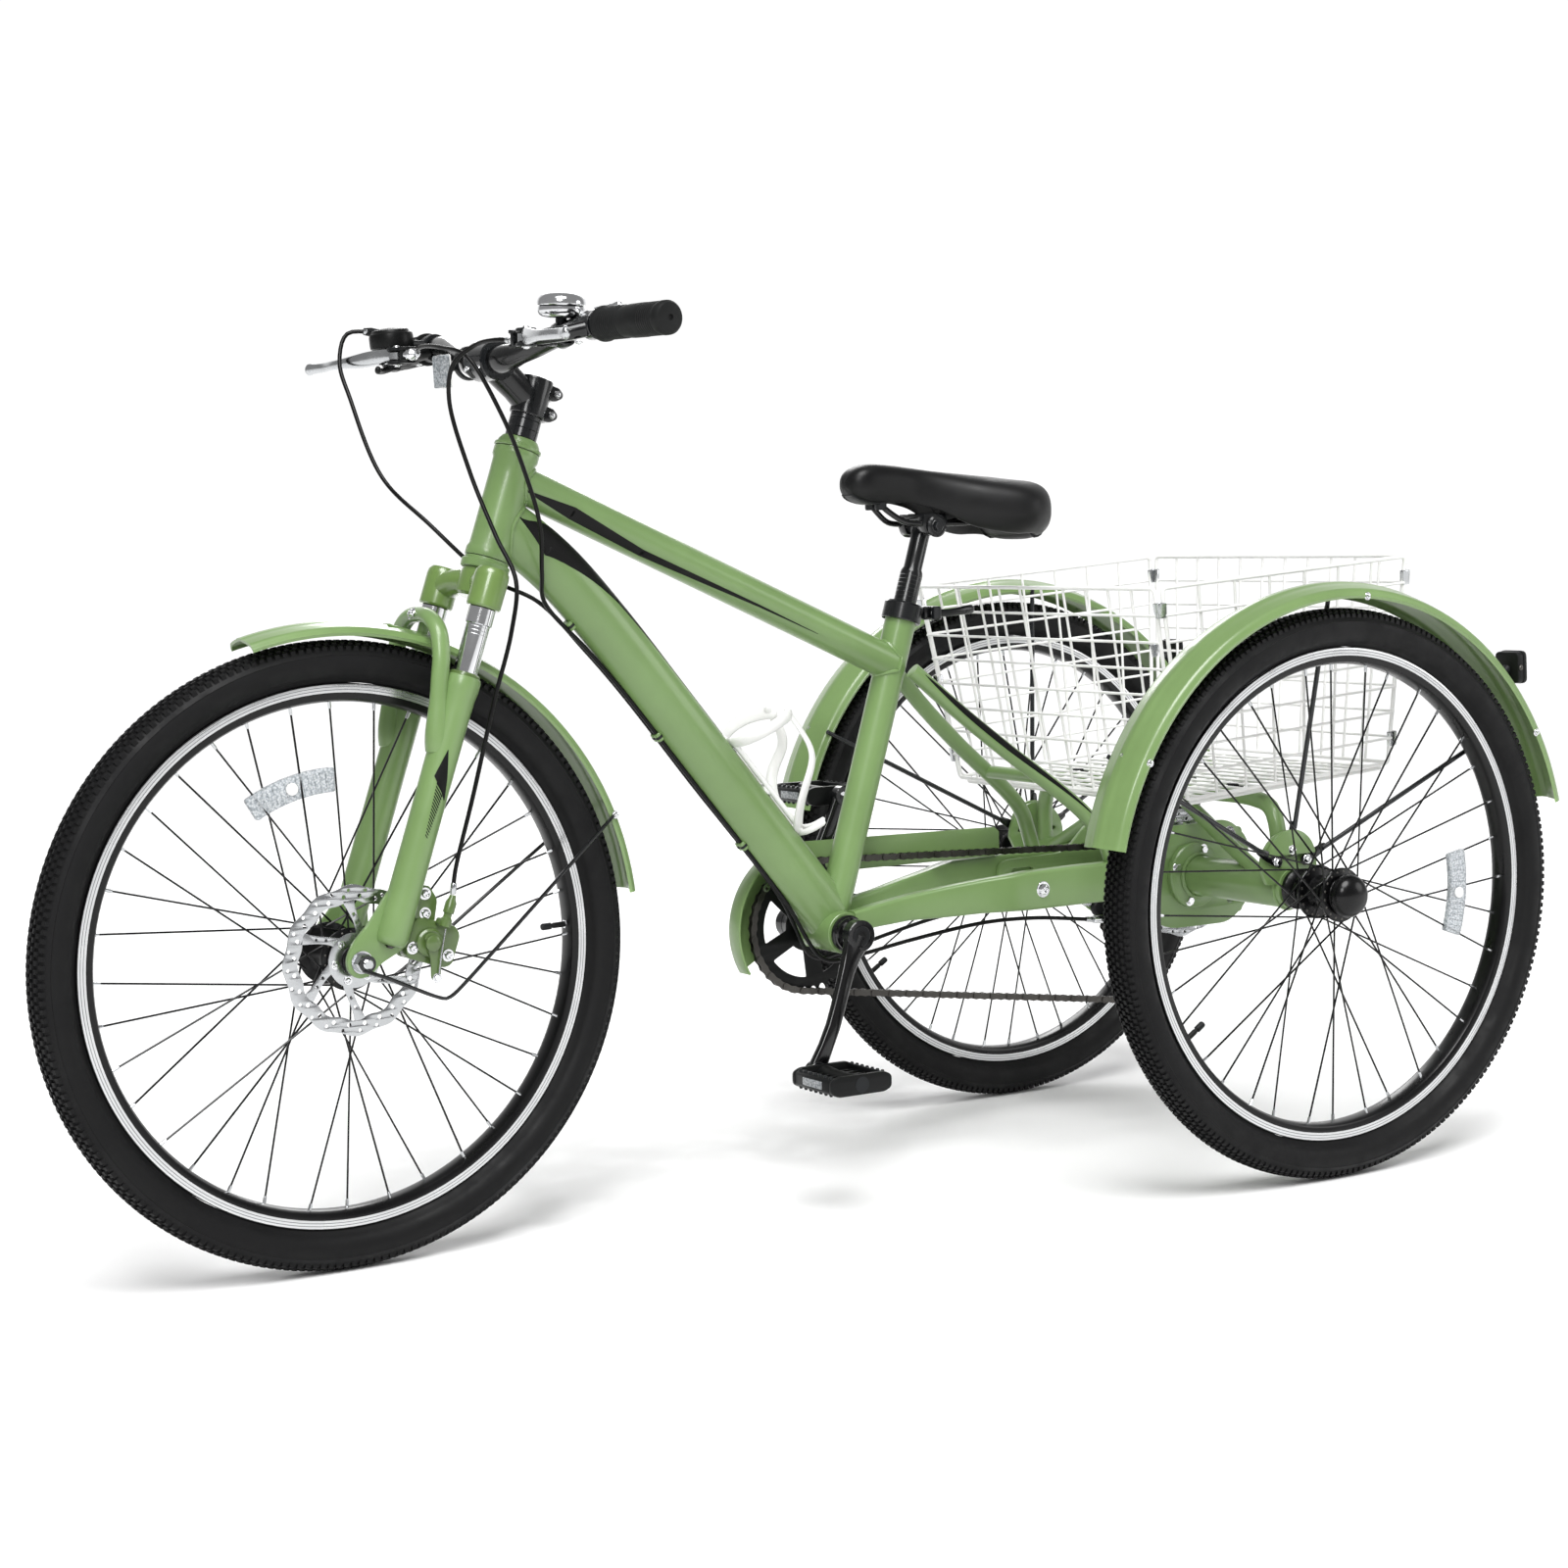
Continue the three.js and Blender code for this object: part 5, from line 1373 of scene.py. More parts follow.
def axle_tube(shape, side):
    """The tube round one half of the axle: its bolted flange, its welds and the ear for the mudguard."""
    tube = [
        (8.9, 60), (34, 61), (40, 64), (40.5, 66), (40.5, 72), (39, 74), (28, 75.5), (24.6, 78), (24.6, 247),
        (23.8, 249.6), (8.9, 249.6), (8.9, 236), (21, 236), (21, 78), (8.9, 74),
    ]
    shape.turned(on_side(tube, side), (0, 0, WHEEL_Z), (0, 1, 0))
    for degrees in range(20, 380, 90):
        x, z = polar((0, WHEEL_Z), 33, degrees)
        shape.bolt((x, 73.4 * side, z), (0, side, 0), 4.6, 4, hexagon=True)
    for y, radius, bead in ((79, 26.4, 2.4), (241, 25.2, 2.0)):
        ring = [Vector((x, y * side, z + WHEEL_Z)) for x, z in circle((0, 0), radius, 40)]
        shape.tube(ring, bead, 8, closed=True)
    ear = [(40, 340)] + arc((6, 358), 44, 0, 180, 20) + [(-34, 340)]
    holes = [circle((34, 366), 2.6, 12), circle((-22, 366), 2.6, 12)]
    shape.plate(ear, *span(side, 242, 248), holes, bevel=0.8)


def rear_carrier():
    """The plates and tubes that hold the axle, and the hoop with braces under the basket."""
    shape = Shape("frame_paint")
    hoop = [(4, 226, 345), (4, 226, 400), (4, 214, 427), (4, 186, 436), (4, -2, 436)]
    brace = [(10, 206, 345), (8, 150, 374), (6, 96, 404), (4, 48, 430)]
    for side in SIDES:
        axle_plate(shape, side)
        axle_tube(shape, side)
        shape.tube(smooth_path(mirrored(hoop, side), 34), 10, 20, up=(1, 0, 0))
        shape.tube(smooth_path(mirrored(brace, side), 16), 9, 20, up=(1, 0, 0))
    for z in (380, 286):
        shape.rod((-78, -62, z), (-78, 62, z), 7, 20)
    shape.make("carrier", "frame", "frame_paint", ["rear_carrier"], 30)


# ---------------------------------------------------------------- mudguards, lights and chain guard


GUARD_RADIUS = 350


def guard_section(half, crown):
    """Half of a pressed mudguard's section: a raised middle band, two shoulders and a rolled lip."""
    side = [
        (0.0, 1.0), (0.12, 1.0), (0.2, 0.93), (0.26, 0.84), (0.4, 0.76), (0.6, 0.6), (0.76, 0.42),
        (0.84, 0.36), (0.9, 0.2), (0.95, -0.04), (0.975, -0.26), (1.0, -0.34),
    ]
    return [(share * half, height * crown) for share, height in side]


def guard(shape, centre, radius, y, start, end, half, crown):
    """A mudguard's skin swept round the wheel, with thickness and square ends."""
    wall = 1.5
    steps = 72
    side = guard_section(half, crown)
    outer = [(-w, h) for w, h in reversed(side[1:])] + side
    inner = [(w * (1 - wall / half), h - wall) for w, h in reversed(outer)]
    section = [(w, h + wall) for w, h in outer] + inner
    count = len(section)
    points = []
    faces = []
    for i in range(steps + 1):
        angle = mix(start, end, i / steps)
        for w, h in section:
            x, z = polar(centre, radius + h, angle)
            points.append(Vector((x, y + w, z)))
    for i in range(steps):
        for k in range(count):
            n = (k + 1) % count
            faces.append((i * count + k, i * count + n, (i + 1) * count + n, (i + 1) * count + k))
    for base in (0, steps * count):
        for k in range(len(outer) - 1):
            a, b = base + k, base + k + 1
            c, d = base + count - 2 - k, base + count - 1 - k
            faces.append((a, b, c, d))
    shape.add(points, faces)


def guard_stay(shape, side, angle, foot_x, foot_z):
    """A wire stay from the carrier's ear to the mudguard, with a flat tab, an eye and bolts."""
    y = HALF_TRACK * side
    x, z = polar((0, WHEEL_Z), GUARD_RADIUS - 1, angle)
    foot = Vector((foot_x, 251.6 * side, foot_z))
    end = Vector((x, 285 * side, z))
    way = (end - foot).normalized()
    radial = Vector((math.cos(math.radians(angle)), 0, math.sin(math.radians(angle))))
    shape.tube([foot + way * 26, end - way * 14], 3.0, 12, "black_alloy")
    flat = frame_at(foot, way, (0, side, 0))
    tab = rounded_outline([(-8, -6), (20, -6), (34, -3.4), (34, 3.4), (20, 6), (-8, 6)], 5)
    shape.plate(tab, -1.2, 1.2, finish="black_alloy", place=flat)
    shape.bolt(foot + Vector((0, 1.2 * side, 0)), (0, side, 0), 4, 4, hexagon=True)
    shape.tube([end - way * 16, end - way * 4, end + radial * 6], 2.8, 12, "black_alloy")
    shape.bolt(Vector((x, y + side * 31.5, z)) - radial * 2, (0, side, 0), 3.2, 2.4)
    crown = GUARD_RADIUS + 13.2
    top = Vector((crown * radial.x, y, WHEEL_Z + crown * radial.z))
    shape.bolt(top - radial * 1.4, radial, 2.6, 2)


def rear_guards():
    """The two rear mudguards, each on three stays and a foot plate."""
    for side, name in LEFT_AND_RIGHT:
        shape = Shape("fender_paint")
        guard(shape, (0, WHEEL_Z), GUARD_RADIUS, HALF_TRACK * side, 13, 165.5, 33, 12)
        for angle, foot_x, foot_z in ((30, 29, 367), (94, 6, 380), (150, -18, 367)):
            guard_stay(shape, side, angle, foot_x, foot_z)
        foot_plate = rounded_outline(arc((6, 366), 38, 12, 168, 20), 3)
        shape.plate(foot_plate, *span(side, 249.4, 253.6), bevel=0.6, finish="frame_paint")
        shape.make(f"mudguard_{name}", "frame", "fender_paint", [f"rear_fender_{name}"], 34)


def tail_lights():
    """A square lamp behind each rear mudguard: body, rim and ribbed red lens."""
    for side, name in LEFT_AND_RIGHT:
        y = HALF_TRACK * side
        shape = Shape("black_plastic")
        place = frame_at((-291, y, 585), (0, 1, 0), (-1, 0, 0.04))
        lens = rounded_box(17, 17, 6)
        shape.plate(rounded_box(19, 19, 7), -8, 3, bevel=2.2, place=place)
        shape.plate(rounded_box(19.8, 19.8, 7.5), 1, 6, [lens], bevel=0.8, place=place)
        shape.plate(lens, 0, 5.2, finish="red_lens", bevel=1.2, place=place)
        for i in range(-3, 4):
            rib = [place @ Vector((i * 4.4, end, 5.0)) for end in (-14, 14)]
            shape.tube(rib, 0.8, 6, "red_lens")
        shape.rod((-285, y, 584), (-274.3, y, 574.7), 6, 16)
        shape.bolt((-287, y + side * 19.0, 585), (0, side, 0), 2.4, 1.6, "dark_steel")
        shape.make(f"rear_lamp_{name}", "frame", "black_plastic", [f"tail_light_{name}"])


def chain_guard():
    """A flat cover beside the chain, with a flange round the chainring and a raised rib."""
    shape = Shape("fender_paint")
    centre = (BB.x, BB.z)
    strip = arc(centre, 98.6, -30, 88, 44) + [(210, 398), (203, 392), (203, 368), (210, 362), (446, 362)]
    strip += arc(centre, 64, 110, -30, 36)
    shape.plate(strip, -63, -61, bevel=0.5)
    flange = arc(centre, 98.8, -30, 88, 44) + arc(centre, 96.8, 88, -30, 44)
    shape.plate(flange, -61.5, -40.4, bevel=0.5)
    lip = [Vector((x, -40.6, z)) for x, z in arc(centre, 97.8, -30, 88, 44)]
    shape.tube(lip, 1.5, 8)
    rib = [Vector((x, -63.2, 380 + (x - 210) * 0.02)) for x in (214, 300, 400, 440)]
    shape.tube(rib, 1.5, 8)
    for x, z in ((226, 380), (440, 380), (560, 340)):
        shape.bolt((x, -62.8, z), (0, -1, 0), 3.6, 2.6)
    shape.make("chain_cover", "frame", "fender_paint", ["chain_guard"])


# ---------------------------------------------------------------- drive

RING_RADIUS = 77
SPROCKET_RADIUS = 28.5
PULLEY_RADIUS = 18
PULLEY_HIGH = (34, 262)
PULLEY_LOW = (8, 180)


def chain_loop():
    """Close points along the chain's loop: arcs round the wheels joined by straight runs."""
    stops = [
        ((BB.x, BB.z), RING_RADIUS, 1),
        ((0, WHEEL_Z), SPROCKET_RADIUS, 1),
        (PULLEY_HIGH, PULLEY_RADIUS, -1),
        (PULLEY_LOW, PULLEY_RADIUS, 1),
    ]
    ways = []
    for i, (centre, radius, side) in enumerate(stops):
        far, far_radius, far_side = stops[(i + 1) % len(stops)]
        dx, dz = far[0] - centre[0], far[1] - centre[1]
        lean = math.asin((far_radius * far_side - radius * side) / math.hypot(dx, dz))
        ways.append(math.atan2(dz, dx) - lean)
    loop = []
    for i, (centre, radius, side) in enumerate(stops):
        turn = ways[i] - ways[i - 1]
        while turn * side < 0:
            turn += WHOLE_TURN * side
        steps = max(4, int(abs(turn) / 0.06))
        for k in range(steps + 1):
            heading = ways[i - 1] + turn * k / steps - math.pi / 2
            out = Vector((math.cos(heading), math.sin(heading)))
            loop.append(Vector(centre) + out * radius * side)
    return loop


def chain_line():
    """Even points a link apart round the loop."""
    loop = chain_loop()
    lengths = [(loop[(i + 1) % len(loop)] - p).length for i, p in enumerate(loop)]
    total = sum(lengths)
    links = 2 * round(total / LINK / 2)
    points = []
    i = 0
    passed = 0.0
    for k in range(links):
        target = total * k / links
        while passed + lengths[i] < target:
            passed += lengths[i]
            i += 1
        share = (target - passed) / lengths[i]
        points.append(loop[i].lerp(loop[(i + 1) % len(loop)], share))
    return points


def link_plate(shape, a, b, y, finish):
    """One side plate of a link, with round ends and a narrow waist."""
    half, waist, wall = 4.4, 3.2, 0.5
    way = (b - a).normalized()
    side = Vector((-way.y, way.x))
    middle = (a + b) / 2
    edge = []
    for centre, start, sign in ((b, -90, 1), (a, 90, -1)):
        for k in range(7):
            turn = math.radians(start + 30 * k)
            edge.append(centre + way * math.cos(turn) * half + side * math.sin(turn) * half)
        edge.append(middle + side * waist * sign)
    shape.loft([[Vector((p.x, y + d, p.y)) for p in edge] for d in (-wall, wall)], finish)


def chain():
    """A roller chain in one plane, with one bright joining link."""
    shape = Shape("dark_steel")
    points = chain_line()
    count = len(points)
    silver = count // 9
    for i, here in enumerate(points):
        there = points[(i + 1) % count]
        gap = 2.9 if i % 2 else 1.8
        finish = "bright_metal" if i == silver else "dark_steel"
        for side in SIDES:
            link_plate(shape, here, there, CHAIN_Y + gap * side, finish)
        for radius, half in ((1.8, 3.6), (3.2, 1.4)):
            pin = [(0, -half), (radius, -half), (radius, half), (0, half)]
            shape.turned(pin, (here.x, CHAIN_Y, here.y), (0, 1, 0), 8)
    piece = shape.make("roller_chain", "", "dark_steel", ["chain"], 30)
    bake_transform(piece)


def derailleur():
    """A hanger with a spring, an arm and a cage that holds two toothed pulleys."""
    shape = Shape("black_plastic")
    hub = [(0, -4), (5, -4), (6, -3), (6, 3), (5, 4), (0, 4)]
    for x, z in (PULLEY_HIGH, PULLEY_LOW):
        shape.at(facing_left(x, CHAIN_Y, z))
        outline = toothed(PULLEY_RADIUS - 5.6, 11, 4.4)
        shape.plate(outline, -1.6, 1.6, [circle((0, 0), 4, 16)], "black_plastic", 0.3, AS_BUILT)
        shape.turned(hub, sides=20, finish="bright_metal")
        shape.at(AS_BUILT)
        shape.bolt((x, -54, z), (0, -1, 0), 3.6, 2.6, "dark_steel")
        shape.rod((x, -52, z), (x, -42.5, z), 3, 12, "dark_steel")
    (hx, hz), (lx, lz) = PULLEY_HIGH, PULLEY_LOW
    cage = [(hx - 13, hz + 12), (lx - 11, lz - 7), (lx + 9, lz - 10), (hx + 13, hz - 8), (hx + 20, hz + 20)]
    window = [(hx - 5, hz - 16), (lx - 2, lz + 14), (lx + 3, lz + 12), (hx + 5, hz - 18)]
    shape.plate(rounded_outline(cage, 9), -54, -52.2, [rounded_outline(window, 3)], "black_alloy")
    mount = [(0, -9.4), (9, -9.4), (11, -8), (11, -2), (9, -0.2), (0, -0.2)]
    shape.turned(mount, (52, -50, 284), (0, 1, 0), 28)
    arm = [(52, -55, 284), (46, -56, 276), (40, -56, 268), (34, -55, 262)]
    shape.tube(smooth_path(arm, 10), 6.2, 16, flat=0.5, up=(0, 0, 1), round_ends=True)
    spring = []
    for k in range(60):
        x, z = polar((52, 284), 9.8, 30 * k)
        spring.append((x, -57.6 + k * 0.07, z))
    shape.tube(spring, 0.7, 6, "bright_metal")
    shape.make("gear_changer", "derailleur", "black_plastic", ["rear_derailleur"])


def crank_arm(shape, side):
    """A forged arm: deep at the axle, waisted and bent outwards, with a round pedal eye."""
    turn = 0 if side > 0 else 180
    root = 62 if side > 0 else 82
    end = polar((BB.x, BB.z), CRANK_LENGTH, CRANK_ANGLE + turn)
    way = Vector((end[0] - BB.x, 0, end[1] - BB.z)).normalized()
    across = way.cross(Vector((0, 1, 0)))
    rings = []
    stops = [
        (0, 16.6, 7), (10, 15.6, 7), (24, 12, 6.6), (42, 9.6, 6.4), (60, 9, 6.2), (84, 8.8, 6),
        (110, 8.8, 5.8), (135, 9.2, 5.6), (152, 10.4, 5.6), (165, 11.4, 5.8),
    ]
    for s, half, thick in stops:
        centre = BB + way * s + Vector((0, mix(root, 83, ease(10, 130, s)) * side, 0))
        ring = []
        for k in range(20):
            angle = WHOLE_TURN * k / 20
            c, n = math.cos(angle), math.sin(angle)
            c = math.copysign(abs(c) ** 0.6, c)
            n = math.copysign(abs(n) ** 0.6, n)
            ring.append(centre + across * c * half + Vector((0, n * thick, 0)))
        rings.append(ring)
    shape.loft(rings, "crank_black")
    place = Vector((BB.x, 0, BB.z))
    eye = [(0, -7), (17.5, -7), (18.4, -6), (18.4, 6), (17.4, 7), (13, 7), (12.4, 6), (0, 5.6)]
    shape.turned([(r, (root + y) * side) for r, y in eye], place, (0, 1, 0), 40, "crank_black")
    tip = Vector((end[0], 0, end[1]))
    foot = [(6.4, 76.6), (11.4, 76.6), (12.2, 77.4), (12.2, 88.6), (11.4, 89.4), (6.4, 89.4)]
    shape.turned(on_side(foot, side), tip, (0, 1, 0), 32, "crank_black")
    cap = [(0, 5.4), (11, 5.4), (11.6, 6), (11, 6.9), (5, 6.9), (4.4, 6.2), (0, 6.2)]
    shape.turned([(r, (root + y) * side) for r, y in cap], place, (0, 1, 0), 28, "black_plastic")


def cranks():
    """Both crank arms and the chainring."""
    left = Shape("crank_black")
    crank_arm(left, 1)
    boss = [
        (9.2, 36.4), (20.4, 36.4), (21.4, 37.4), (21.4, 41), (19.6, 42), (19.2, 46), (16.4, 47), (16, 50),
        (18, 56), (9.2, 56),
    ]
    left.turned(boss, BB, (0, 1, 0), 40)
    left.make("crank_arm_left", "crankset", "crank_black", ["crank_left"], 34)
    right = Shape("crank_black")
    crank_arm(right, -1)
    right.rod(BB + Vector((0, -52, 0)), BB + Vector((0, 60, 0)), 8.4, 24, "bare_alloy")
    right.turned([(0, -78), (18, -78), (18, -52), (20, -49), (0, -48.6)], BB, (0, 1, 0), 36)
    for i in range(5):
        spider_arm(right, CRANK_ANGLE + 36 + 72 * i)
    right.make("crank_arm_right", "crankset", "crank_black", ["crank_right"], 34)
    chain_ring()


def spider_arm(shape, degrees):
    """One flat arm from the crank to the chainring, with its bolt."""
    root, tip = (polar((BB.x, BB.z), radius, degrees) for radius in (12, 53))
    across = math.radians(degrees + 90)
    line = [(root[0], -51.6, root[1]), (tip[0], -51, tip[1])]
    shape.tube(line, [9, 6], 16, flat=0.36, up=(math.cos(across), 0, math.sin(across)))
    shape.bolt((tip[0], -53.4, tip[1]), (0, -1, 0), 3.4, 2.0)


def chain_ring():
    """The toothed ring with five windows."""
    ring = Shape("black_plastic").at(facing_left(BB.x, CHAIN_Y, BB.z))
    holes = [circle((0, 0), 13, 28)]
    for i in range(5):
        middle = -CRANK_ANGLE + 72 * i
        window = arc((0, 0), 61, middle - 25, middle + 25, 10) + arc((0, 0), 30, middle + 15, middle - 15, 6)
        holes.append(rounded_outline(window, 5, 3))
    outline = toothed(RING_RADIUS - 4.6, 38, 4.4)
    ring.plate(outline, -2.8, -0.8, holes, bevel=0.3, place=AS_BUILT)
    ring.make("chain_ring", "crankset", "black_plastic", ["chainring"])


def pedal_rail(shape, side, edge):
    """The front or the back edge of a pedal, with two rows of studs and a clear reflector."""
    rail = [(39.4 * edge, -7), (39.4 * edge, 7), (31 * edge, 11), (31 * edge, -11)]
    shape.plate(rounded_outline(rail, 3), *span(side, 100, 174), bevel=0.8, place=AS_BUILT)
    stud = [(0, 0), (2.6, 0), (1.6, 2.6), (0, 2.8)]
    for k in range(7):
        for up in SIDES:
            shape.turned(stud, (34.5 * edge, 8.6 * up, (106 + 10.2 * k) * side), (0, up, 0), 8)
    pane = [(39.0 * edge, -4.4), (40.2 * edge, -4.4), (40.2 * edge, 4.4), (39.0 * edge, 4.4)]
    low, high = span(side, 118, 156)
    shape.plate(rounded_outline(pane, 0.4), low, high, finish="clear_plastic", bevel=0.3, place=AS_BUILT)


def pedals():
    """Two platform pedals: end plates, edges, five cross bars and a barrel round the spindle."""
    body = [(40, -7), (40, 7), (31, 11.4), (-31, 11.4), (-40, 7), (-40, -7), (-31, -11.4), (31, -11.4)]
    barrel = [
        (5.6, 100), (10, 100), (11, 104), (9, 124), (9, 150), (11, 170), (10, 174), (0, 174), (0, 112),
        (5.6, 112),
    ]
    spindle = [(0, 78.4), (5.4, 78.4), (5.4, 92), (8, 92), (8, 95.5), (5.4, 96), (5.4, 110), (0, 110)]
    cap = [(0, 177), (8, 177), (9, 178), (0, 178)]
    for side, name in LEFT_AND_RIGHT:
        x, z = polar((BB.x, BB.z), CRANK_LENGTH, CRANK_ANGLE + (0 if side > 0 else 180))
        shape = Shape("black_plastic").at(facing_left(x, 0, z))
        for near, far in ((96, 102), (171.6, 177.6)):
            shape.plate(rounded_outline(body, 4), *span(side, near, far), bevel=1.0, place=AS_BUILT)
        for edge in (-1, 1):
            pedal_rail(shape, side, edge)
        for middle in (112, 124, 137, 150, 162):
            low, high = span(side, middle - 2, middle + 2)
            bar = rounded_box(35, 4.5, 2)
            shape.plate(bar, low, high, [circle((0, 0), 4, 12)], bevel=0.7, place=AS_BUILT)
        for profile, finish in ((barrel, None), (spindle, "bright_metal"), (cap, None)):
            shape.turned(on_side(profile, side), sides=24, finish=finish)
        shape.make(f"pedal_{name}_built", f"pedal_{name}", "black_plastic", [f"pedal_{name}"])


# ---------------------------------------------------------------- seat


def seat_collar():
    """The split collar at the top of the seat tube, with its skewer and nut."""
    collar = Shape("black_alloy")
    low, high = SEAT_LENGTH - 13, SEAT_LENGTH + 9
    ring = [(18.9, low), (22.6, low), (23.4, low + 1), (23.4, high - 3), (21.5, high - 0.5), (18.9, high)]
    collar.turned(ring, BB, SEAT_WAY, 44)
    for side in SIDES:
        near, far = span(side, 2, 13)
        collar.block((339, near, 660), (362, far, 676), 3)
    collar.rod((350, -16, 668), (350, 13.4, 668), 3, 14, "bright_metal")
    collar.turned([(0, 0), (6, 0), (7, 1.5), (7, 5), (5, 7), (0, 7)], (350, -13, 668), (0, -1, 0), 20)
    collar.make("seat_collar", "frame", "black_alloy", ["seat_clamp"])


def seat_lever():
    """The curved quick-release lever."""
    lever = Shape("black_alloy")
    lever.rod((350, 20, 660), (350, 20, 676), 6, 24, edge=1.5)
    path = smooth_path([(349, 21, 668), (334, 23, 668), (312, 22, 670), (299, 19, 671)], 20)
    lever.tube(path, taper(path, 4.4, 5.4, 0.3), flat=0.62, up=(0, 0, 1), round_ends=True)
    lever.make("seat_lever_built", "seat_lever", "black_alloy", ["seat_clamp_lever"])


def seat_post():
    """The post with eight height marks and a toothed head."""
    post = Shape("black_alloy")
    head = Vector((354, 0, 770))
    foot = SEAT_LENGTH - 150
    neck = SEAT_LENGTH + 44
    top = (head - BB).dot(SEAT_WAY)
    bar = [(0, foot), (12.4, foot), (13.5, foot + 1), (13.5, neck), (13.0, neck + 3), (11, neck + 7)]
    post.turned(bar + [(11, top - 4), (0, top)], BB, SEAT_WAY, 36)
    for i in range(8):
        s = SEAT_LENGTH + 6 + 5 * i
        post.turned([(13.3, s), (13.7, s + 0.3), (13.3, s + 0.6)], BB, SEAT_WAY, 32, "bright_metal")
    post.rod(head + Vector((0, -16, 0)), head + Vector((0, 16, 0)), 11, 32, edge=1.4)
    for k in range(16):
        x, z = polar((head.x, head.z), 9, 22.5 * k)
        post.turned([(0, 0), (1.1, 0), (0.8, 0.5), (0, 0.6)], (x, 15.8, z), (0, 1, 0), 6)
    post.make("seat_post", "seatpost", "black_alloy", ["seatpost"])


def saddle_rails():
    """The two bent rails, with the clamp's cheeks, caps and nuts."""
    rails = Shape("black_alloy")
    route = [
        (424, 9, 800), (412, 12, 789), (392, 18, 776), (370, 22, 773), (338, 23, 773), (300, 26, 774),
        (276, 33, 778), (262, 38, 786),
    ]
    cheek = rounded_outline([(336, 772), (342, 760), (366, 760), (372, 772), (370, 784), (338, 784)], 5)
    cap = [(0, 0), (12, 0), (13, 1.4), (13, 3.6), (11, 5), (0, 5)]
    for side in SIDES:
        rails.tube(smooth_path(mirrored(route, side), 36), 3.5, 14, "crank_black", round_ends=True)
        rails.plate(cheek, *span(side, 14.6, 27), bevel=1.6)
        rails.turned(cap, (354, 26.5 * side, 770), (0, side, 0), 28)
        rails.bolt((354, 31 * side, 770), (0, side, 0), 5.4, 5, "crank_black", hexagon=True)
    rails.block((338, -26, 777), (370, 26, 785), 2)
    rails.make("saddle_rails_built", "saddle", "black_alloy", ["saddle_rails"])


SADDLE_NOSE = 467
SADDLE_TAIL = 184
SADDLE_RING = 56


def saddle_section(t):
    """Half width, top and bottom of the saddle at a share of its length from the nose."""
    half = mix(25, 88, ease(0.3, 0.8, t))
    top = mix(847, 823, ease(0, 1, min(1, t / 0.9)))
    base = mix(796, 750, ease(0.06, 0.8, t))
    return half, top, base


def saddle_ends(t):
    """How far the width and the height have grown from nothing at either end."""
    nose = 1 - (1 - min(1, t / 0.1)) ** 2.4
    wide_tail = 1 - (1 - min(1, (1 - t) / 0.3)) ** 2.2
    tall_nose = 1 - (1 - min(1, t / 0.15)) ** 2.2
    tall_tail = 1 - (1 - min(1, (1 - t) / 0.14)) ** 2.4
    return nose**0.45 * wide_tail**0.5, tall_nose**0.48 * tall_tail**0.5


def saddle_ring(t):
    """One crowned section: full shoulders, sides drawn in to the skirt and a shallow channel on top."""
    half, top, base = saddle_section(t)
    wide, tall = saddle_ends(t)
    middle = mix(base, top, 0.46)
    x = mix(SADDLE_NOSE, SADDLE_TAIL, t)
    channel = 3.2 * ease(0.3, 0.6, t) * (1 - ease(0.84, 0.97, t))
    ring = []
    for k in range(SADDLE_RING):
        angle = WHOLE_TURN * k / SADDLE_RING
        c, s = math.cos(angle), math.sin(angle)
        y = math.copysign(abs(c) ** 0.66, c) * half
        reach = top - middle if s > 0 else middle - base
        z = math.copysign(abs(s) ** 0.72, s) * reach
        if s < 0:
            y *= 1 + 0.1 * s
        else:
            z -= channel * math.exp(-((y / 14) ** 2))
        ring.append(Vector((x, y * wide, middle + z * tall)))
    return ring


def saddle():
    """The padded cover: a closed loft, blown out a little, hollowed below and smoothed."""
    shape = Shape("saddle_skin")
    ends = [0.001, 0.004, 0.01, 0.02, 0.034, 0.052, 0.074, 0.1]
    stops = ends + [mix(0.13, 0.87, i / 26) for i in range(27)] + [1 - t for t in reversed(ends)]
    shape.loft([saddle_ring(t) for t in stops])
    piece = shape.make("saddle_cushion", "", "saddle_skin", ["saddle_cover"], 70)
    swell(piece)
    hollow_underside(piece)
    smooth = piece.modifiers.new("smooth", "SUBSURF")
    smooth.levels = 1
    smooth.render_levels = 1
    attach(piece, "saddle")
    saddle_base(piece, len(stops))


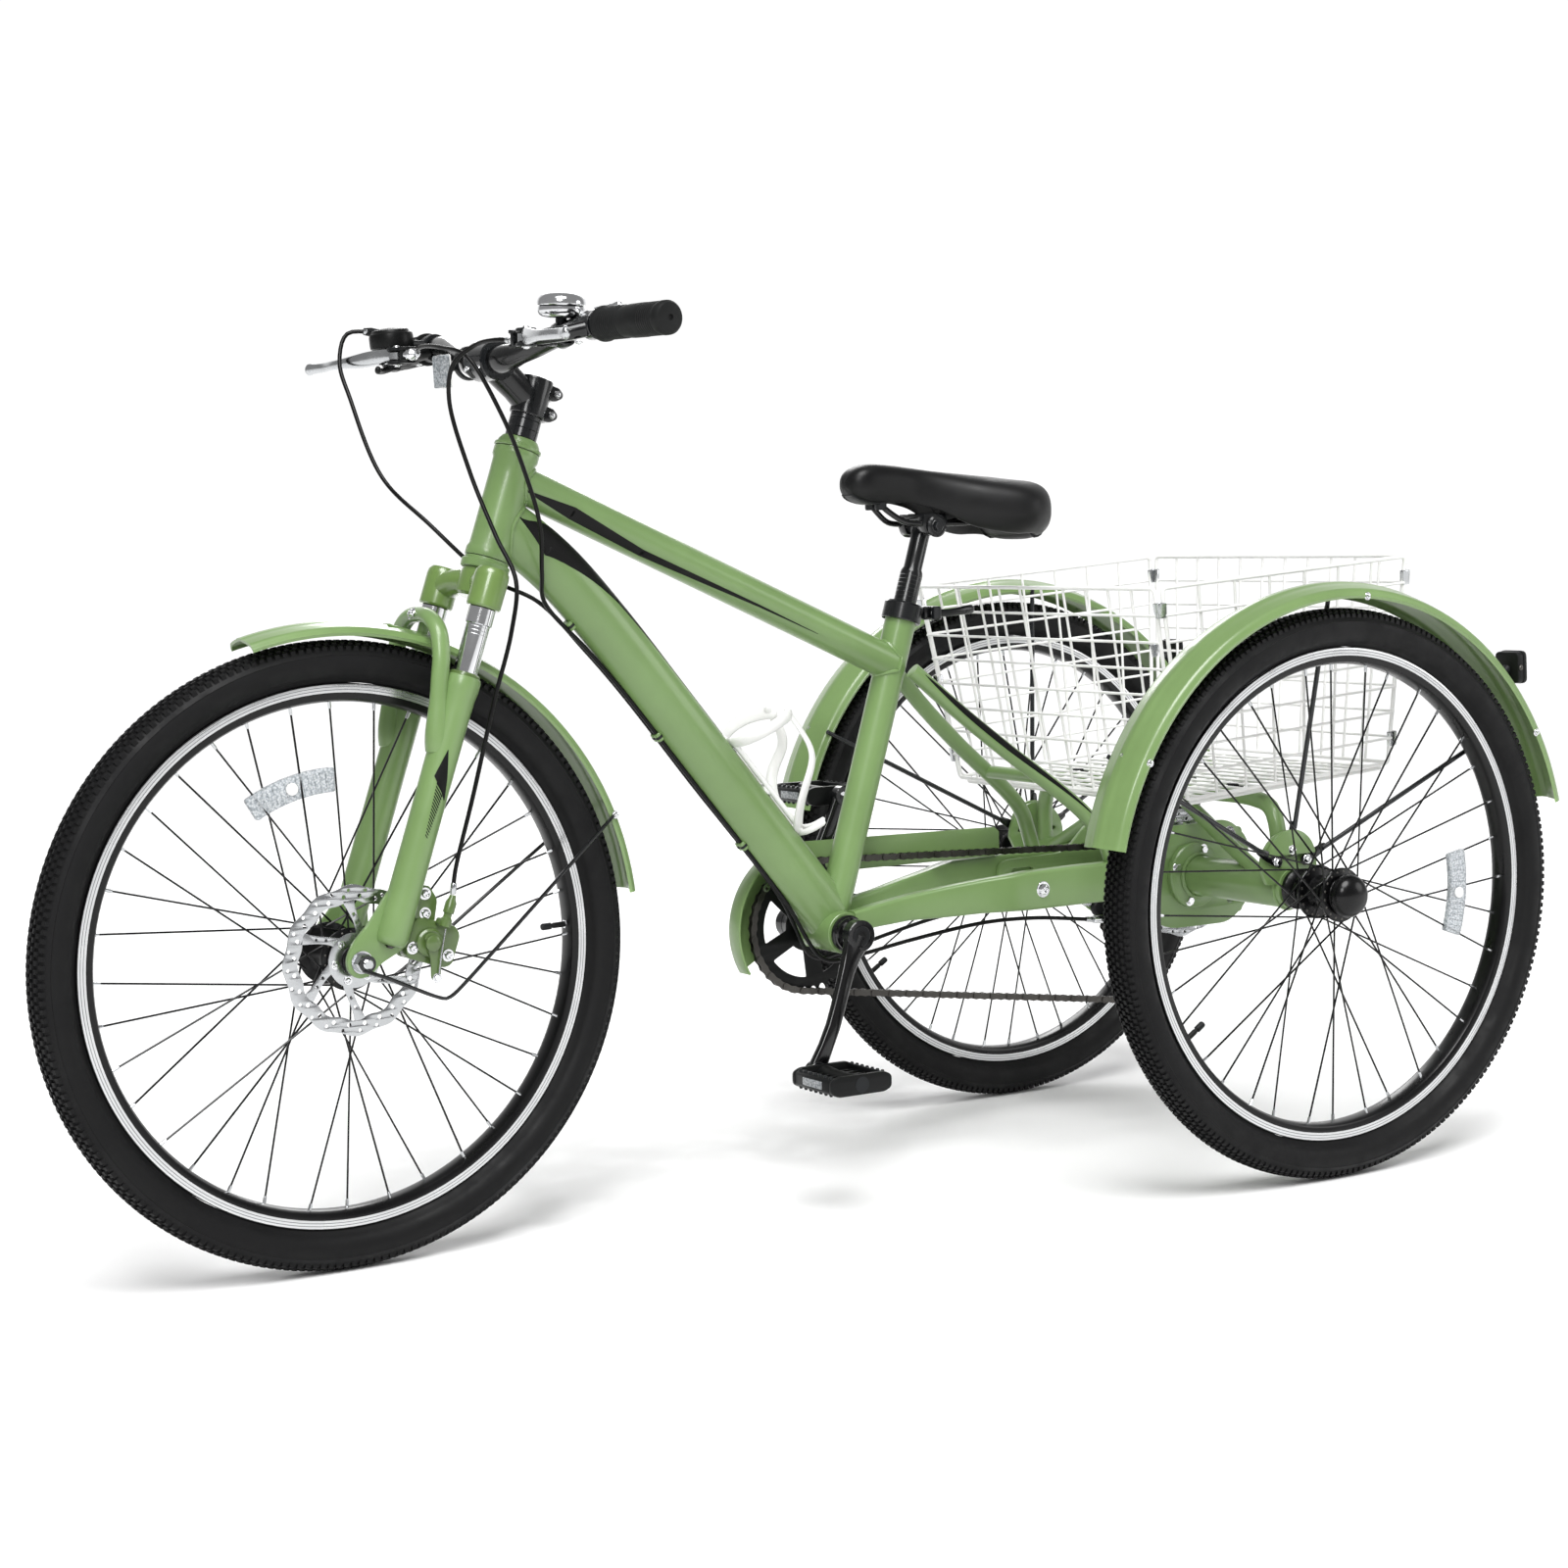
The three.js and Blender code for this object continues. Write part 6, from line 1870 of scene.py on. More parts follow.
def swell(piece):
    """Blows the padding out a little under its skin, as cloth held at the skirt."""
    scene = bpy.context.scene
    shrink = Vector((0.985, 0.97, 0.97))
    low = Vector(piece.bound_box[0])
    high = Vector(piece.bound_box[6])
    middle = (low + high) / 2
    rest = []
    for vertex in piece.data.vertices:
        offset = vertex.co - middle
        vertex.co = middle + Vector((offset.x * shrink.x, offset.y * shrink.y, offset.z * shrink.z))
        rest.append(vertex.co.copy())
    held = piece.vertex_groups.new(name="held")
    skirt = middle.z - 0.012
    for vertex in piece.data.vertices:
        if vertex.co.z < skirt:
            held.add([vertex.index], 1.0, "REPLACE")
    cloth = piece.modifiers.new("cloth", "CLOTH")
    settings = cloth.settings
    settings.quality = 6
    settings.mass = 0.4
    settings.tension_stiffness = 40
    settings.compression_stiffness = 40
    settings.bending_stiffness = 8
    settings.use_pressure = True
    settings.uniform_pressure_force = 4
    settings.effector_weights.gravity = 0
    settings.vertex_group_mass = "held"
    for step in range(1, 21):
        scene.frame_set(step)
    graph = bpy.context.evaluated_depsgraph_get()
    blown = piece.evaluated_get(graph)
    places = [vertex.co.copy() for vertex in blown.data.vertices]
    piece.modifiers.remove(cloth)
    piece.vertex_groups.remove(held)
    scene.frame_set(1)
    limit = 0.006
    for vertex, start, place in zip(piece.data.vertices, rest, places):
        move = place - start
        if move.length > limit:
            move *= limit / move.length
        vertex.co = start + move


def hollow_underside(piece):
    """Lifts the underside inside the skirt, so that the rails and the clamp have room."""
    ceiling = 0.799
    for vertex in piece.data.vertices:
        x = (vertex.co.x - REAR_X) / MM
        t = (SADDLE_NOSE - x) / (SADDLE_NOSE - SADDLE_TAIL)
        share = abs(vertex.co.y / MM) / saddle_section(t)[0]
        edge = mix(0.72, 0.48, ease(0.38, 0.58, t))
        inside = (1 - ease(edge, edge + 0.18, share)) * ease(225, 250, x) * (1 - ease(405, 440, x))
        if vertex.co.z < ceiling:
            vertex.co.z = mix(vertex.co.z, ceiling, inside)


def saddle_base(piece, rings):
    """The moulded shell's edge along the skirt and the sockets that hold the rails."""
    shape = Shape("black_plastic")
    offset = Vector((REAR_X, 0, 0))
    seam = []
    for k in (SADDLE_RING - 9, SADDLE_RING // 2 + 9):
        line = [(piece.data.vertices[i * SADDLE_RING + k].co - offset) / MM for i in range(3, rings - 3)]
        seam += line if not seam else line[::-1]
    shape.tube(seam, 1.5, 8, closed=True, up=(0, 0, 1))
    for side in SIDES:
        shape.turned([(0, 0), (7, 0), (8, 2), (8, 24), (0, 24)], (262, 36 * side, 778), (0, 0, 1), 20)
        shape.turned([(0, 0), (6, 0), (7, 2), (7, 14), (0, 14)], (420, 10 * side, 790), (0, 0, 1), 20)
    shape.make("saddle_shell", "saddle", "black_plastic")


# ---------------------------------------------------------------- fork

LEG_X = 17
LEG_Y = 58
LEG_TOP = 317


def leg_profile():
    """A lower leg from its foot to its seal: (radius, height)."""
    return [
        (13.4, 60), (13.4, LEG_TOP), (15.4, LEG_TOP + 0.2), (18.0, LEG_TOP - 1.6), (19.0, LEG_TOP - 5),
        (19.0, LEG_TOP - 14), (17.8, LEG_TOP - 24), (17.2, LEG_TOP - 44), (17.0, 200), (17.4, 60), (17.2, 34),
        (16.4, 29), (14.6, 26), (11, 24.4), (0, 24), (0, 60),
    ]


def fork_arch(shape):
    """The brace over the tyre: wide where it meets the legs, slim across the top."""
    half = [
        (18, LEG_Y, 226), (30, LEG_Y + 1, 254), (42, LEG_Y, 300), (48, LEG_Y - 2, 330), (54, 46, 355),
        (58, 24, 368),
    ]
    path = smooth_path(half + [(58, 0, 370.5)] + mirrored(half[::-1], -1), 72)
    radii = []
    for i in range(len(path)):
        share = abs(2 * i / (len(path) - 1) - 1)
        radii.append(mix(9.6, 15.5, ease(0.62, 0.95, share)) * (1 - 0.55 * ease(0.94, 1.0, share)))
    shape.tube(path, radii, 22, flat=0.86, up=(1, 0, 0), round_ends=True)


def fork_lowers():
    """The two lower legs with their seals and axle plates, joined by an arch."""
    shape = Shape("frame_paint").at(ON_STEER)
    foot = [
        (28, 92), (36, 72), (45, 42), (57, 16), (59, -2), (53, -14), (40, -18), (28, -11), (20, 4), (2, 22),
        (-6, 34), (2, 56), (16, 70),
    ]
    seal = [
        (13.2, LEG_TOP - 3), (17.0, LEG_TOP - 3), (16.6, LEG_TOP + 1.6), (14.6, LEG_TOP + 3.2),
        (13.2, LEG_TOP + 3.2),
    ]
    for side in SIDES:
        leg = (LEG_X, LEG_Y * side, 0)
        shape.turned(leg_profile(), leg, sides=40)
        shape.turned(seal, leg, sides=36, finish="hardware_paint")
        shape.plate(rounded_outline(foot, 6), *span(side, 50, 57), [circle((RAKE, 0), 5.5, 20)], bevel=1.2)
        shape.bolt((LEG_X, LEG_Y * side, 24.2), (0, 0, -1), 4, 3, "dark_steel")
    fork_arch(shape)
    for side in SIDES:
        leg_stripes(shape, side)
    shape.turned([(0, 0), (5, 0), (6, 2), (6, 12), (0, 13)], (50, 0, 352), sides=20)
    shape.bolt((67.5, 0, 369), (1, 0, 0.1), 4.4, 4)
    shape.make("fork_lower_legs", "fork_slider", "frame_paint", ["fork_lowers"], 32)


def leg_stripes(shape, side):
    """A black wedge on each leg's outer face and a ladder of shrinking slanted bars under it."""
    centre = Vector((LEG_X, LEG_Y * side, 0))

    def on_leg(z, degrees):
        a = math.radians(degrees)
        normal = Vector((math.cos(a), math.sin(a) * side, 0))
        reach = mix(17.4, 17.0, (z - 60) / 140) + 0.1
        return centre + normal * reach + Vector((0, 0, z)), normal

    shape.skin(on_leg, 236, 206, between(78, 56), between(80, 106), 16)
    shape.skin(on_leg, 206, 184, between(56, 118), between(106, 120), 12)
    bars = 17
    for i in range(bars):
        share = i / bars
        z = mix(195, 140, share)
        half = mix(0.85, 0.5, share)
        width = mix(34, 9, share)
        middle = mix(88, 86, share)

        def slanted(value, degrees, middle=middle):
            return on_leg(value - (degrees - middle) * 0.28, degrees)

        low, high = middle - width / 2, middle + width / 2
        shape.skin(slanted, z - half, z + half, between(low, low), between(high, high), 2)


def stanchion(shape, side):
    """One bright inner tube with its collar, marks and shoulder cap."""
    leg = (LEG_X, LEG_Y * side, 0)
    cup = [
        (13.6, 391), (17.2, 391), (18.6, 393), (18.6, 425), (18.0, 430), (15, 434), (8, 434.6), (7, 432.6),
        (0, 432.4), (0, 400), (13.6, 400),
    ]
    tube = [(0, 130), (12.4, 130), (12.9, 131), (12.9, 399), (0, 399)]
    collar = [(12.8, 372), (14.4, 373), (14.4, 390), (12.8, 391)]
    plug = [(0, 432.6), (6.4, 432.6), (6.4, 433.8), (3, 433.8), (3, 432), (0, 432)]
    shape.turned(cup, leg, sides=40)
    shape.turned(tube, leg, sides=40, finish="bright_metal")
    shape.turned(collar, leg, sides=36, finish="bright_metal")
    for height in (361, 365, 369):
        mark = [(12.7, height), (13.05, height + 0.8), (12.7, height + 1.6)]
        shape.turned(mark, leg, sides=32, finish="bare_alloy")
    shape.turned(plug, leg, sides=20, finish="hardware_paint")


def fork_crown():
    """The crown with two shoulders, the steerer above it and the stanchions below."""
    shape = Shape("gloss_paint").at(ON_STEER)
    body = [
        (0, HEAD_LOW - 44), (21, HEAD_LOW - 44), (24, HEAD_LOW - 41), (24, HEAD_LOW - 20),
        (22.6, HEAD_LOW - 13.6), (0, HEAD_LOW - 13.6),
    ]
    shape.turned(body, sides=44)
    shape.rod((0, 0, HEAD_LOW - 40), (0, 0, 652), 14.2, 32, "bare_alloy")
    z = HEAD_LOW - 30
    route = [(0, 0, z), (5, 18, z + 2), (12, 38, z), (LEG_X, LEG_Y, z - 10)]
    for side in SIDES:
        path = smooth_path(mirrored(route, side), 18)
        shape.tube(path, taper(path, 15.5, 16.5), 28, flat=0.9, up=(1, 0, 0))
        stanchion(shape, side)
    shape.make("fork_top", "steering", "frame_paint", ["fork_crown"], 32)


def headset():
    """The two cups in the head tube and three rings under the stem."""
    bore = 15.1
    low = [
        (bore, -13), (25, -13), (26.2, -12), (26.8, -5), (26, -4), (24, -3), (24, -0.4), (bore, -0.4),
    ]
    high = [
        (bore, 0.4), (25, 0.4), (26, 1.4), (25.6, 4), (23.4, 5), (22.6, 8), (19.6, 12.6), (bore, 13),
    ]
    for name, node, profile, level in (("low", "lower", low, HEAD_LOW), ("high", "upper", high, HEAD_HIGH)):
        cup = Shape("frame_paint").at(ON_STEER)
        cup.turned([(r, level + z) for r, z in profile])
        cup.make(f"headset_cup_{name}", "frame", "frame_paint", [f"headset_{node}"])
    spacers = Shape("black_alloy").at(ON_STEER)
    z = HEAD_HIGH + 13.3
    for step in (10.3, 10.3, 5.1):
        top = z + step - 0.2
        ring = [(14.6, z), (16.9, z), (17.4, z + 0.5), (17.4, top - 0.5), (16.9, top), (14.6, top)]
        spacers.turned(ring, sides=40)
        z += step
    spacers.make("headset_rings", "steering", "black_alloy", ["headset_spacers"])


def front_guard():
    """The front mudguard, its tab under the crown and its two looping wire stays."""
    shape = Shape("fender_paint").at(ON_STEER)
    centre = (RAKE, 0)
    guard(shape, centre, 342, 0, 54.7, 154, 31, 9)
    end_x, end_z = polar(centre, 343, 139)
    bolt_x, bolt_z = polar(centre, 344, 139)
    eye = [(5.5, 70), (8.8, 70), (9, 70.6), (9, 73), (8.8, 73.5), (5.5, 73.5)]
    route = [
        (44, 72, -7.5), (36, 77.5, -8), (17, 79, -9), (0, 79, -11), (-40, 79, -14.6), (-52, 78.6, -14),
        (-60, 76.5, -8), (-68, 74, 2), (end_x + 8, 36, end_z - 8), (end_x, 29, end_z),
    ]
    for side in SIDES:
        shape.turned(on_side(eye, side), (RAKE, 0, 0), (0, 1, 0), 24, "black_alloy")
        shape.tube(smooth_path(mirrored(route, side), 56), 2.1, 10, "black_alloy", round_ends=True)
        shape.bolt((bolt_x, 30.6 * side, bolt_z), (0, side, 0), 3, 2.6)
    x, z = polar(centre, 349, 83)
    shape.block((x - 10, -9, z + 1), (x + 8, 9, z + 4), 1)
    shape.make("front_mudguard", "fork_slider", "fender_paint", ["front_fender"], 34)


# ---------------------------------------------------------------- cockpit

STEM_REACH = 59
STEM_RISE = 654
BAR_CENTRE = on_steer(STEM_REACH, 0, STEM_RISE)
BAR_RADIUS = 11.1


def bar_at(side, y):
    """The handlebar's centre line at a distance from the middle, in its straight part."""
    return Vector((892.3 - 0.074 * (y - 165), y * side, 982.5 - 0.0148 * (y - 165)))


def stem():
    """The clamp on the steerer, the arm, the bar clamp and their six bolts."""
    shape = Shape("black_alloy").at(ON_STEER)
    low = HEAD_HIGH + 39.3
    clamp = [
        (14.5, low), (18.6, low), (19.4, low + 1), (19.4, 650), (18.4, 654), (16.5, 655), (0, 655),
        (0, 652.5), (14.5, 652.5),
    ]
    shape.turned(clamp, sides=44)
    shape.turned([(0, 654), (13, 654), (13.6, 655.2), (5, 655.4), (4, 654.6), (0, 654.4)], sides=28)
    start = Vector((6, 0, 631))
    end = Vector((STEM_REACH, 0, STEM_RISE))
    way = (end - start).normalized()
    above = Vector((-way.z, 0, way.x))
    shape.tube([start, start + way * 18, end - way * 14, end], [17, 15.6, 16.2, 18], 36, flat=1.08)
    face = [(15.2, -21), (20.8, -21), (22, -19.6), (22, 19.6), (20.8, 21), (15.2, 21)]
    shape.turned(face, end, (0, 1, 0), 44)
    for z in (low + 8, 644):
        lug = [(-12, z - 9), (-24, z - 8), (-31, z - 2), (-31, z + 3), (-24, z + 8), (-12, z + 8)]
        for near, far in ((-10.5, -1.2), (1.2, 10.5)):
            shape.plate(rounded_outline(lug, 3), near, far, bevel=1.4)
        shape.rod((-23.5, -13, z), (-23.5, 12.4, z), 4.6, edge=0.8)
        shape.bolt((-23.5, 12, z), (0, 1, 0), 2.6, 1.8)
    for up in SIDES:
        for y in (-13, 13):
            spot = end + above * (20 * up) + way * 9 + Vector((0, y, 0))
            shape.rod(spot - way * 12, spot + way, 4.2, 16, edge=1.0)
            shape.bolt(spot + way * 0.6, way, 3.0, 2.6)
    shape.make("handlebar_stem", "steering", "black_alloy", ["stem"], 34)


def handlebar():
    """The swept bar, thicker where the stem holds it."""
    half = [*(bar_at(-1, y) for y in (318, 240, 165)), (899.5, -130, 975), (910, -80, 963)]
    half.append((BAR_CENTRE.x, -36, BAR_CENTRE.z))
    path = smooth_path(half + [BAR_CENTRE] + mirrored(half[::-1], -1), 120)
    radii = [mix(BAR_RADIUS - 0.1, 15.4, 1 - ease(30, 72, abs(p.y))) for p in path]
    shape = Shape("black_alloy")
    shape.tube(path, radii, 32, up=(0, 0, 1))
    shape.make("bar", "steering", "black_alloy", ["handlebar"])


def ribs(start, end, step, low, high, rise, width):
    """The profile of even raised rings along a grip."""
    profile = []
    s = start
    while s < end:
        profile += [(low, s), (high, s + rise), (high, s + width - rise), (low, s + width)]
        s += step
    return profile


def grips():
    """A rubber grip on each end of the bar: a collar, two runs of rings and a round end."""
    for side, name in LEFT_AND_RIGHT:
        shape = Shape("grip_rubber")
        start, end = bar_at(side, 206), bar_at(side, 326)
        length = (end - start).length
        profile = [(11.5, 0), (17.6, 0), (18.4, 1.2), (18.4, 5), (17.2, 7.5)]
        profile += ribs(10, 42, 3.8, 16.2, 16.9, 0.9, 3.0)
        profile += [(16.3, 44), (17.1, 56), (17.3, 78)]
        profile += ribs(82, length - 16, 3.6, 16.4, 17.0, 0.8, 2.8)
        tip = [(17.4, 10), (17.2, 5), (14.6, 1.4), (8, 0.2), (3, 0), (2.4, 2), (0, 2), (0, 6), (11.5, 6)]
        profile += [(r, length - back) for r, back in tip]
        shape.turned(profile, start, end - start, 44)
        shape.make(f"grip_{name}_built", "steering", "grip_rubber", [f"grip_{name}"], 40)


LEVER_PIVOT = Vector((952, 156, 970.5))


def lever_clamp(shape, side):
    """A brake lever's clamp ring, horn, two cheeks with the pivot and the cable barrel."""
    px, py, pz = LEVER_PIVOT.x, LEVER_PIVOT.y * side, LEVER_PIVOT.z
    ring = [(11.5, 0), (14.6, 0), (15.6, 1), (15.6, 14), (14.6, 15), (11.5, 15)]
    shape.turned(ring, bar_at(side, 183), bar_at(side, 198) - bar_at(side, 183), 36)
    route = [(902, 189, 978), (920, 182, 974), (938, 168, 971), (944, 160, pz)]
    horn = smooth_path(mirrored(route, side), 16)
    shape.tube(horn, taper(horn, 10, 8.6), 20, flat=0.9)
    corners = [(930, 150), (952, 138), (961, 132), (953, 126), (942, 130), (932, 142), (922, 168), (932, 172)]
    cheek = rounded_outline([(x, y * side) for x, y in corners], 3)
    pin = [(0, 5.3), (10, 5.3), (10.8, 6), (10.8, 8.6), (10, 9.4), (0, 9.4)]
    for up in SIDES:
        shape.turned(pin, (px, py, pz), (0, 0, up), 28)
        shape.bolt((px, py, pz + 9.2 * up), (0, 0, up), 3.4, 2.6)
        shape.plate(cheek, pz + up * 7.2 - 1.9, pz + up * 7.2 + 1.9, bevel=0.6, place=AS_BUILT)
    near, far = span(side, 130, 137)
    shape.block((944, near, pz - 8), (958, far, pz + 8), 2)
    barrel = [
        (0, 0), (6, 0), (6.4, 1), (6.4, 4), (4.6, 5), (4.6, 6.2), (6.8, 7), (6.8, 12), (5.6, 13),
        (3.4, 15.5), (0, 15.5),
    ]
    shape.turned(barrel, (951, 132 * side, pz), (-3, -12 * side, 0), 18, "bright_metal")
    shape.bolt((910, 190 * side, 965), (0.3, 0, -1), 3.0, 3)


def left_clamp():
    """The left brake lever's clamp, a piece of its own."""
    shape = Shape("black_alloy")
    lever_clamp(shape, 1)
    shape.make("lever_mount_left", "steering", "black_alloy", ["lever_clamp_left"], 34)


def brake_lever(side, name):
    """A bent alloy blade with a small ball at its tip."""
    shape = Shape("bare_alloy")
    route = [
        LEVER_PIVOT, (962, 176, 970.5), (974, 206, 968), (984, 250, 966), (983, 290, 965), (990, 312, 964),
    ]
    path = smooth_path(mirrored(route, side), 40)
    blade = taper(path, 8.6, 5.4, 0.25, 0.6)
    ball = taper(path, 0, 1.4, 0.93)
    shape.tube(path, [a + b for a, b in zip(blade, ball)], 20, flat=0.6, up=(0, 0, 1), round_ends=True)
    eye = [(0, -4.2), (8.4, -4.2), (8.8, -3.6), (8.8, 3.6), (8.4, 4.2), (0, 4.2)]
    shape.turned(eye, (LEVER_PIVOT.x, LEVER_PIVOT.y * side, LEVER_PIVOT.z), sides=32)
    shape.make(f"lever_blade_{name}", f"brake_lever_{name}", "bare_alloy", [f"brake_lever_{name}"])


def shifter():
    """The right lever clamp with the round gear pod on it, and the thumb lever below."""
    shape = Shape("black_plastic")
    lever_clamp(shape, -1)
    cover = [
        (0, -13), (18, -13), (21, -11.5), (23, -8), (24.4, -7.4), (24.8, -4), (24.8, 5), (24, 8.4),
        (22.4, 9.6), (20.6, 12.4), (17, 13.6), (15, 13.2), (12, 14.2), (0, 15),
    ]
    top = Vector((938, -199, 990))
    shape.turned(cover, top, (1, 0, 11))
    shape.tube([(902, -190, 983), (916, -193, 984), (930, -196, 985)], [8, 7.4, 7], 18)
    shape.bolt(top + Vector((0, 0, -12.6)), (0, 0, -1), 3.4, 2.6)
    outlet = [(946, -217, 999), (951, -224, 1001.5), (958, -229, 1002.4)]
    shape.tube(outlet, [5.6, 5.2, 4.0])
    shape.make("gear_shifter", "steering", "black_plastic", ["shifter_body"], 34)
    thumb = Shape("black_plastic")
    path = smooth_path([(938, -199, 960), (954, -190, 956), (968, -172, 955), (975, -156, 955)], 22)
    thumb.tube(path, taper(path, 3.6, 4.4, 0.5), flat=0.8, up=(0, 0, 1), round_ends=True)
    hub = [(0, 957), (9, 957), (10, 958), (10, 966.4), (9, 967.4), (0, 967.4)]
    thumb.turned(hub, (938, -199, 0), sides=28)
    thumb.make("gear_thumb_lever", "shift_lever", "black_plastic", ["shift_lever"])


def bell():
    """A two-part dome on a strap, with a thumb striker of its own."""
    shape = Shape("bright_metal")
    a, b = Vector((902.6, 130, 973)), Vector((898, 146, 978))
    strap = [(11.6, 3), (13.6, 3), (14.2, 4), (14.2, 13), (13.6, 14), (11.6, 14)]
    shape.turned(strap, a, b - a, 32, "black_alloy")
    base = Vector((902, 138, 983))
    way = Vector((-0.02, 0.05, 1)).normalized()
    shape.turned([(0, 0), (6, 0), (6, 9), (0, 9)], base, way, 20, "black_plastic")
    lower = [(0, 8.6), (16, 8.8), (21, 10.4), (24, 13.4), (24.8, 17), (24.4, 20.4), (23.6, 21), (0, 21)]
    shape.turned(lower, base, way, 56)
    shape.turned([(0, 20.6), (22.6, 20.6), (22.6, 22.2), (0, 22.2)], base, way, 48, "black_plastic")
    upper = [
        (0, 21.8), (24.6, 21.8), (25.4, 22.6), (25.6, 25), (24.8, 28.4), (22.6, 31.4), (18.6, 33.8),
        (12.6, 35.4), (6, 36.2), (0, 36.4),
    ]
    shape.turned(upper, base, way, 56)
    shape.turned([(0, 35.8), (3.4, 35.8), (3.4, 36.4), (2.4, 36.7), (0, 36.8)], base, way, 16, "bare_alloy")
    arm = [(884, 142, 990.7), (878, 154, 990.7), (873, 166, 990.7)]
    shape.tube(arm, 2.9, 12, "bare_alloy", round_ends=True)
    shape.make("bell_body", "steering", "bright_metal", ["bell"], 40)
    striker = Shape("bright_metal")
    path = smooth_path([(873, 167, 998), (868, 177, 1001), (861, 188, 1003)], 12)
    striker.tube(path, [3.0] * (len(path) - 3) + [3.4, 3.9, 4.0], 14, round_ends=True)
    hub = [(0, 994), (4.6, 994), (5, 995), (5, 1001), (4.6, 1002), (0, 1002)]
    striker.turned(hub, (873, 167, 0), sides=20)
    striker.make("bell_thumb", "bell_striker", "bright_metal", ["bell_striker"])


def bar_reflector():
    """A clear upright reflector on a bracket round the bar."""
    shape = Shape("clear_plastic")
    place = frame_at((950, -48, 947.5), (0, 1, 0), (1, 0, -0.04))
    shape.plate(rounded_box(12.5, 17.5, 3), -5.6, 4.2, bevel=0.8, place=place)
    shape.plate(rounded_box(13, 18, 3.4), -6, -4.6, finish="white_plastic", place=place)
    for i in range(-5, 6):
        shape.tube([place @ Vector((i * 2.1, end, 4.1)) for end in (-15, 15)], 0.8, 6)
    shape.tube([(932.5, -48, 953), (940, -48, 951), (945.6, -48, 950)], 4, 14, "black_plastic")
    ring = [(16.0, -53), (18.2, -53), (18.6, -52), (18.6, -44), (18.2, -43), (16.0, -43)]
    shape.turned(ring, (BAR_CENTRE.x, 0, BAR_CENTRE.z), (0, 1, 0), 32, "black_plastic")
    shape.make("bar_reflector_built", "steering", "clear_plastic", ["front_reflector"])


# ---------------------------------------------------------------- brakes


def front_brake():
    """The front caliper with its bracket and cable stop, and the arm that the cable pulls."""
    shape = Shape("hardware_paint").at(ON_STEER)
    body = [(-58, 22), (-50, 16), (-6, 16), (-1, 24), (-1, 56), (-10, 62), (-50, 62), (-58, 54)]
    shape.plate(rounded_outline(body, 6), 41, 60, bevel=1.6)
    shape.plate(rounded_outline(body, 6), 29.4, 35.2, bevel=1.4)
    for x, z in ((-52, 24), (-30, 58)):
        shape.rod((x, 34, z), (x, 43, z), 4.6, 16)
    cap = [(0, 58), (14, 58), (15, 59.6), (15, 64.6), (13, 66.2), (0, 66.2)]
    shape.turned(cap, (-24, 0, 38), (0, 1, 0), 32)
    bridge = rounded_outline([(-26, 58), (-1, 58), (4, 92), (-8, 96), (-22, 84)], 5)
    shape.plate(bridge, 52, 58, bevel=1.0)
    for x, z in ((-12, 66), (-6, 86), (-50, 30), (-8, 28)):
        shape.bolt((x, 60 if z < 60 else 58, z), (0, 1, 0), 4.6, 4.6)
    barrel = [
        (2.6, 58), (6, 58), (6, 66), (4.4, 68), (4.4, 72), (6, 73), (6, 84), (4, 88), (3.4, 92), (2.6, 92),
    ]
    shape.turned(barrel, (-31, 72, 0), sides=20)
    shape.block((-37, 59, 58), (-25, 76, 66), 2)
    shape.make("brake_body_front", "fork_slider", "hardware_paint", ["front_brake_caliper"], 34)
    arm = Shape("hardware_paint").at(ON_STEER)
    outline = arc((-24, 38), 11, 20, 180, 12) + [(-44, 6), (-40, -1), (-34, 2), (-28, 20)]
    arm.plate(rounded_outline(outline, 4), 66.8, 69.8, bevel=0.7)
    arm.turned([(0, 69.4), (8, 69.4), (8.4, 70), (8.4, 72.6), (6, 74), (0, 74)], (-24, 0, 38), (0, 1, 0), 24)
    arm.bolt((-40, 69.6, 4), (0, 1, 0), 3.6, 3.4, hexagon=True)
    arm.tube([(-33, 71.6, 56), (-36, 71.8, 30), (-40, 71.8, 6)], 0.9, 8, "bare_alloy")
    arm.make("brake_arm_front", "front_brake_arm", "hardware_paint", ["front_brake_arm"], 34)


def rear_brake():
    """The rear caliper inside the carrier, and the arm that its cable pulls."""
    shape = Shape("black_plastic")
    body = [(60, 270), (70, 262), (104, 262), (112, 272), (112, 306), (104, 314), (66, 314), (60, 306)]
    for low, high in ((48, 58), (30.4, 42)):
        shape.plate(rounded_outline(body, 8), low, high, bevel=2)
    for x, z in ((66, 268), (106, 268), (108, 308)):
        shape.rod((x, 40, z), (x, 50, z), 4.4, 14)
    shape.rod((110, 36, 284), (134, 36, 286), 5, 20, "bright_metal")
    for x, z in ((70, 304), (102, 304), (96, 270)):
        shape.bolt((x, 31, z), (0, -1, 0), 4, 3.6)
    shape.make("brake_body_rear", "frame", "black_plastic", ["rear_brake_caliper"], 34)
    arm = Shape("black_alloy")
    outline = arc((92, 292), 10, 180, 0, 12) + [(104, 262), (99, 256), (92, 258), (86, 276)]
    arm.plate(rounded_outline(outline, 3), 25.2, 28.2, bevel=0.7)
    arm.turned([(0, 22), (6, 22), (7, 23), (7, 29.2), (0, 29.2)], (92, 0, 292), (0, 1, 0), 24, "bare_alloy")
    arm.bolt((97, 25.4, 262), (0, -1, 0), 3.2, 3)
    arm.make("brake_arm_rear", "rear_brake_arm", "black_alloy", ["rear_brake_arm"], 34)


# ---------------------------------------------------------------- bottle cage and basket


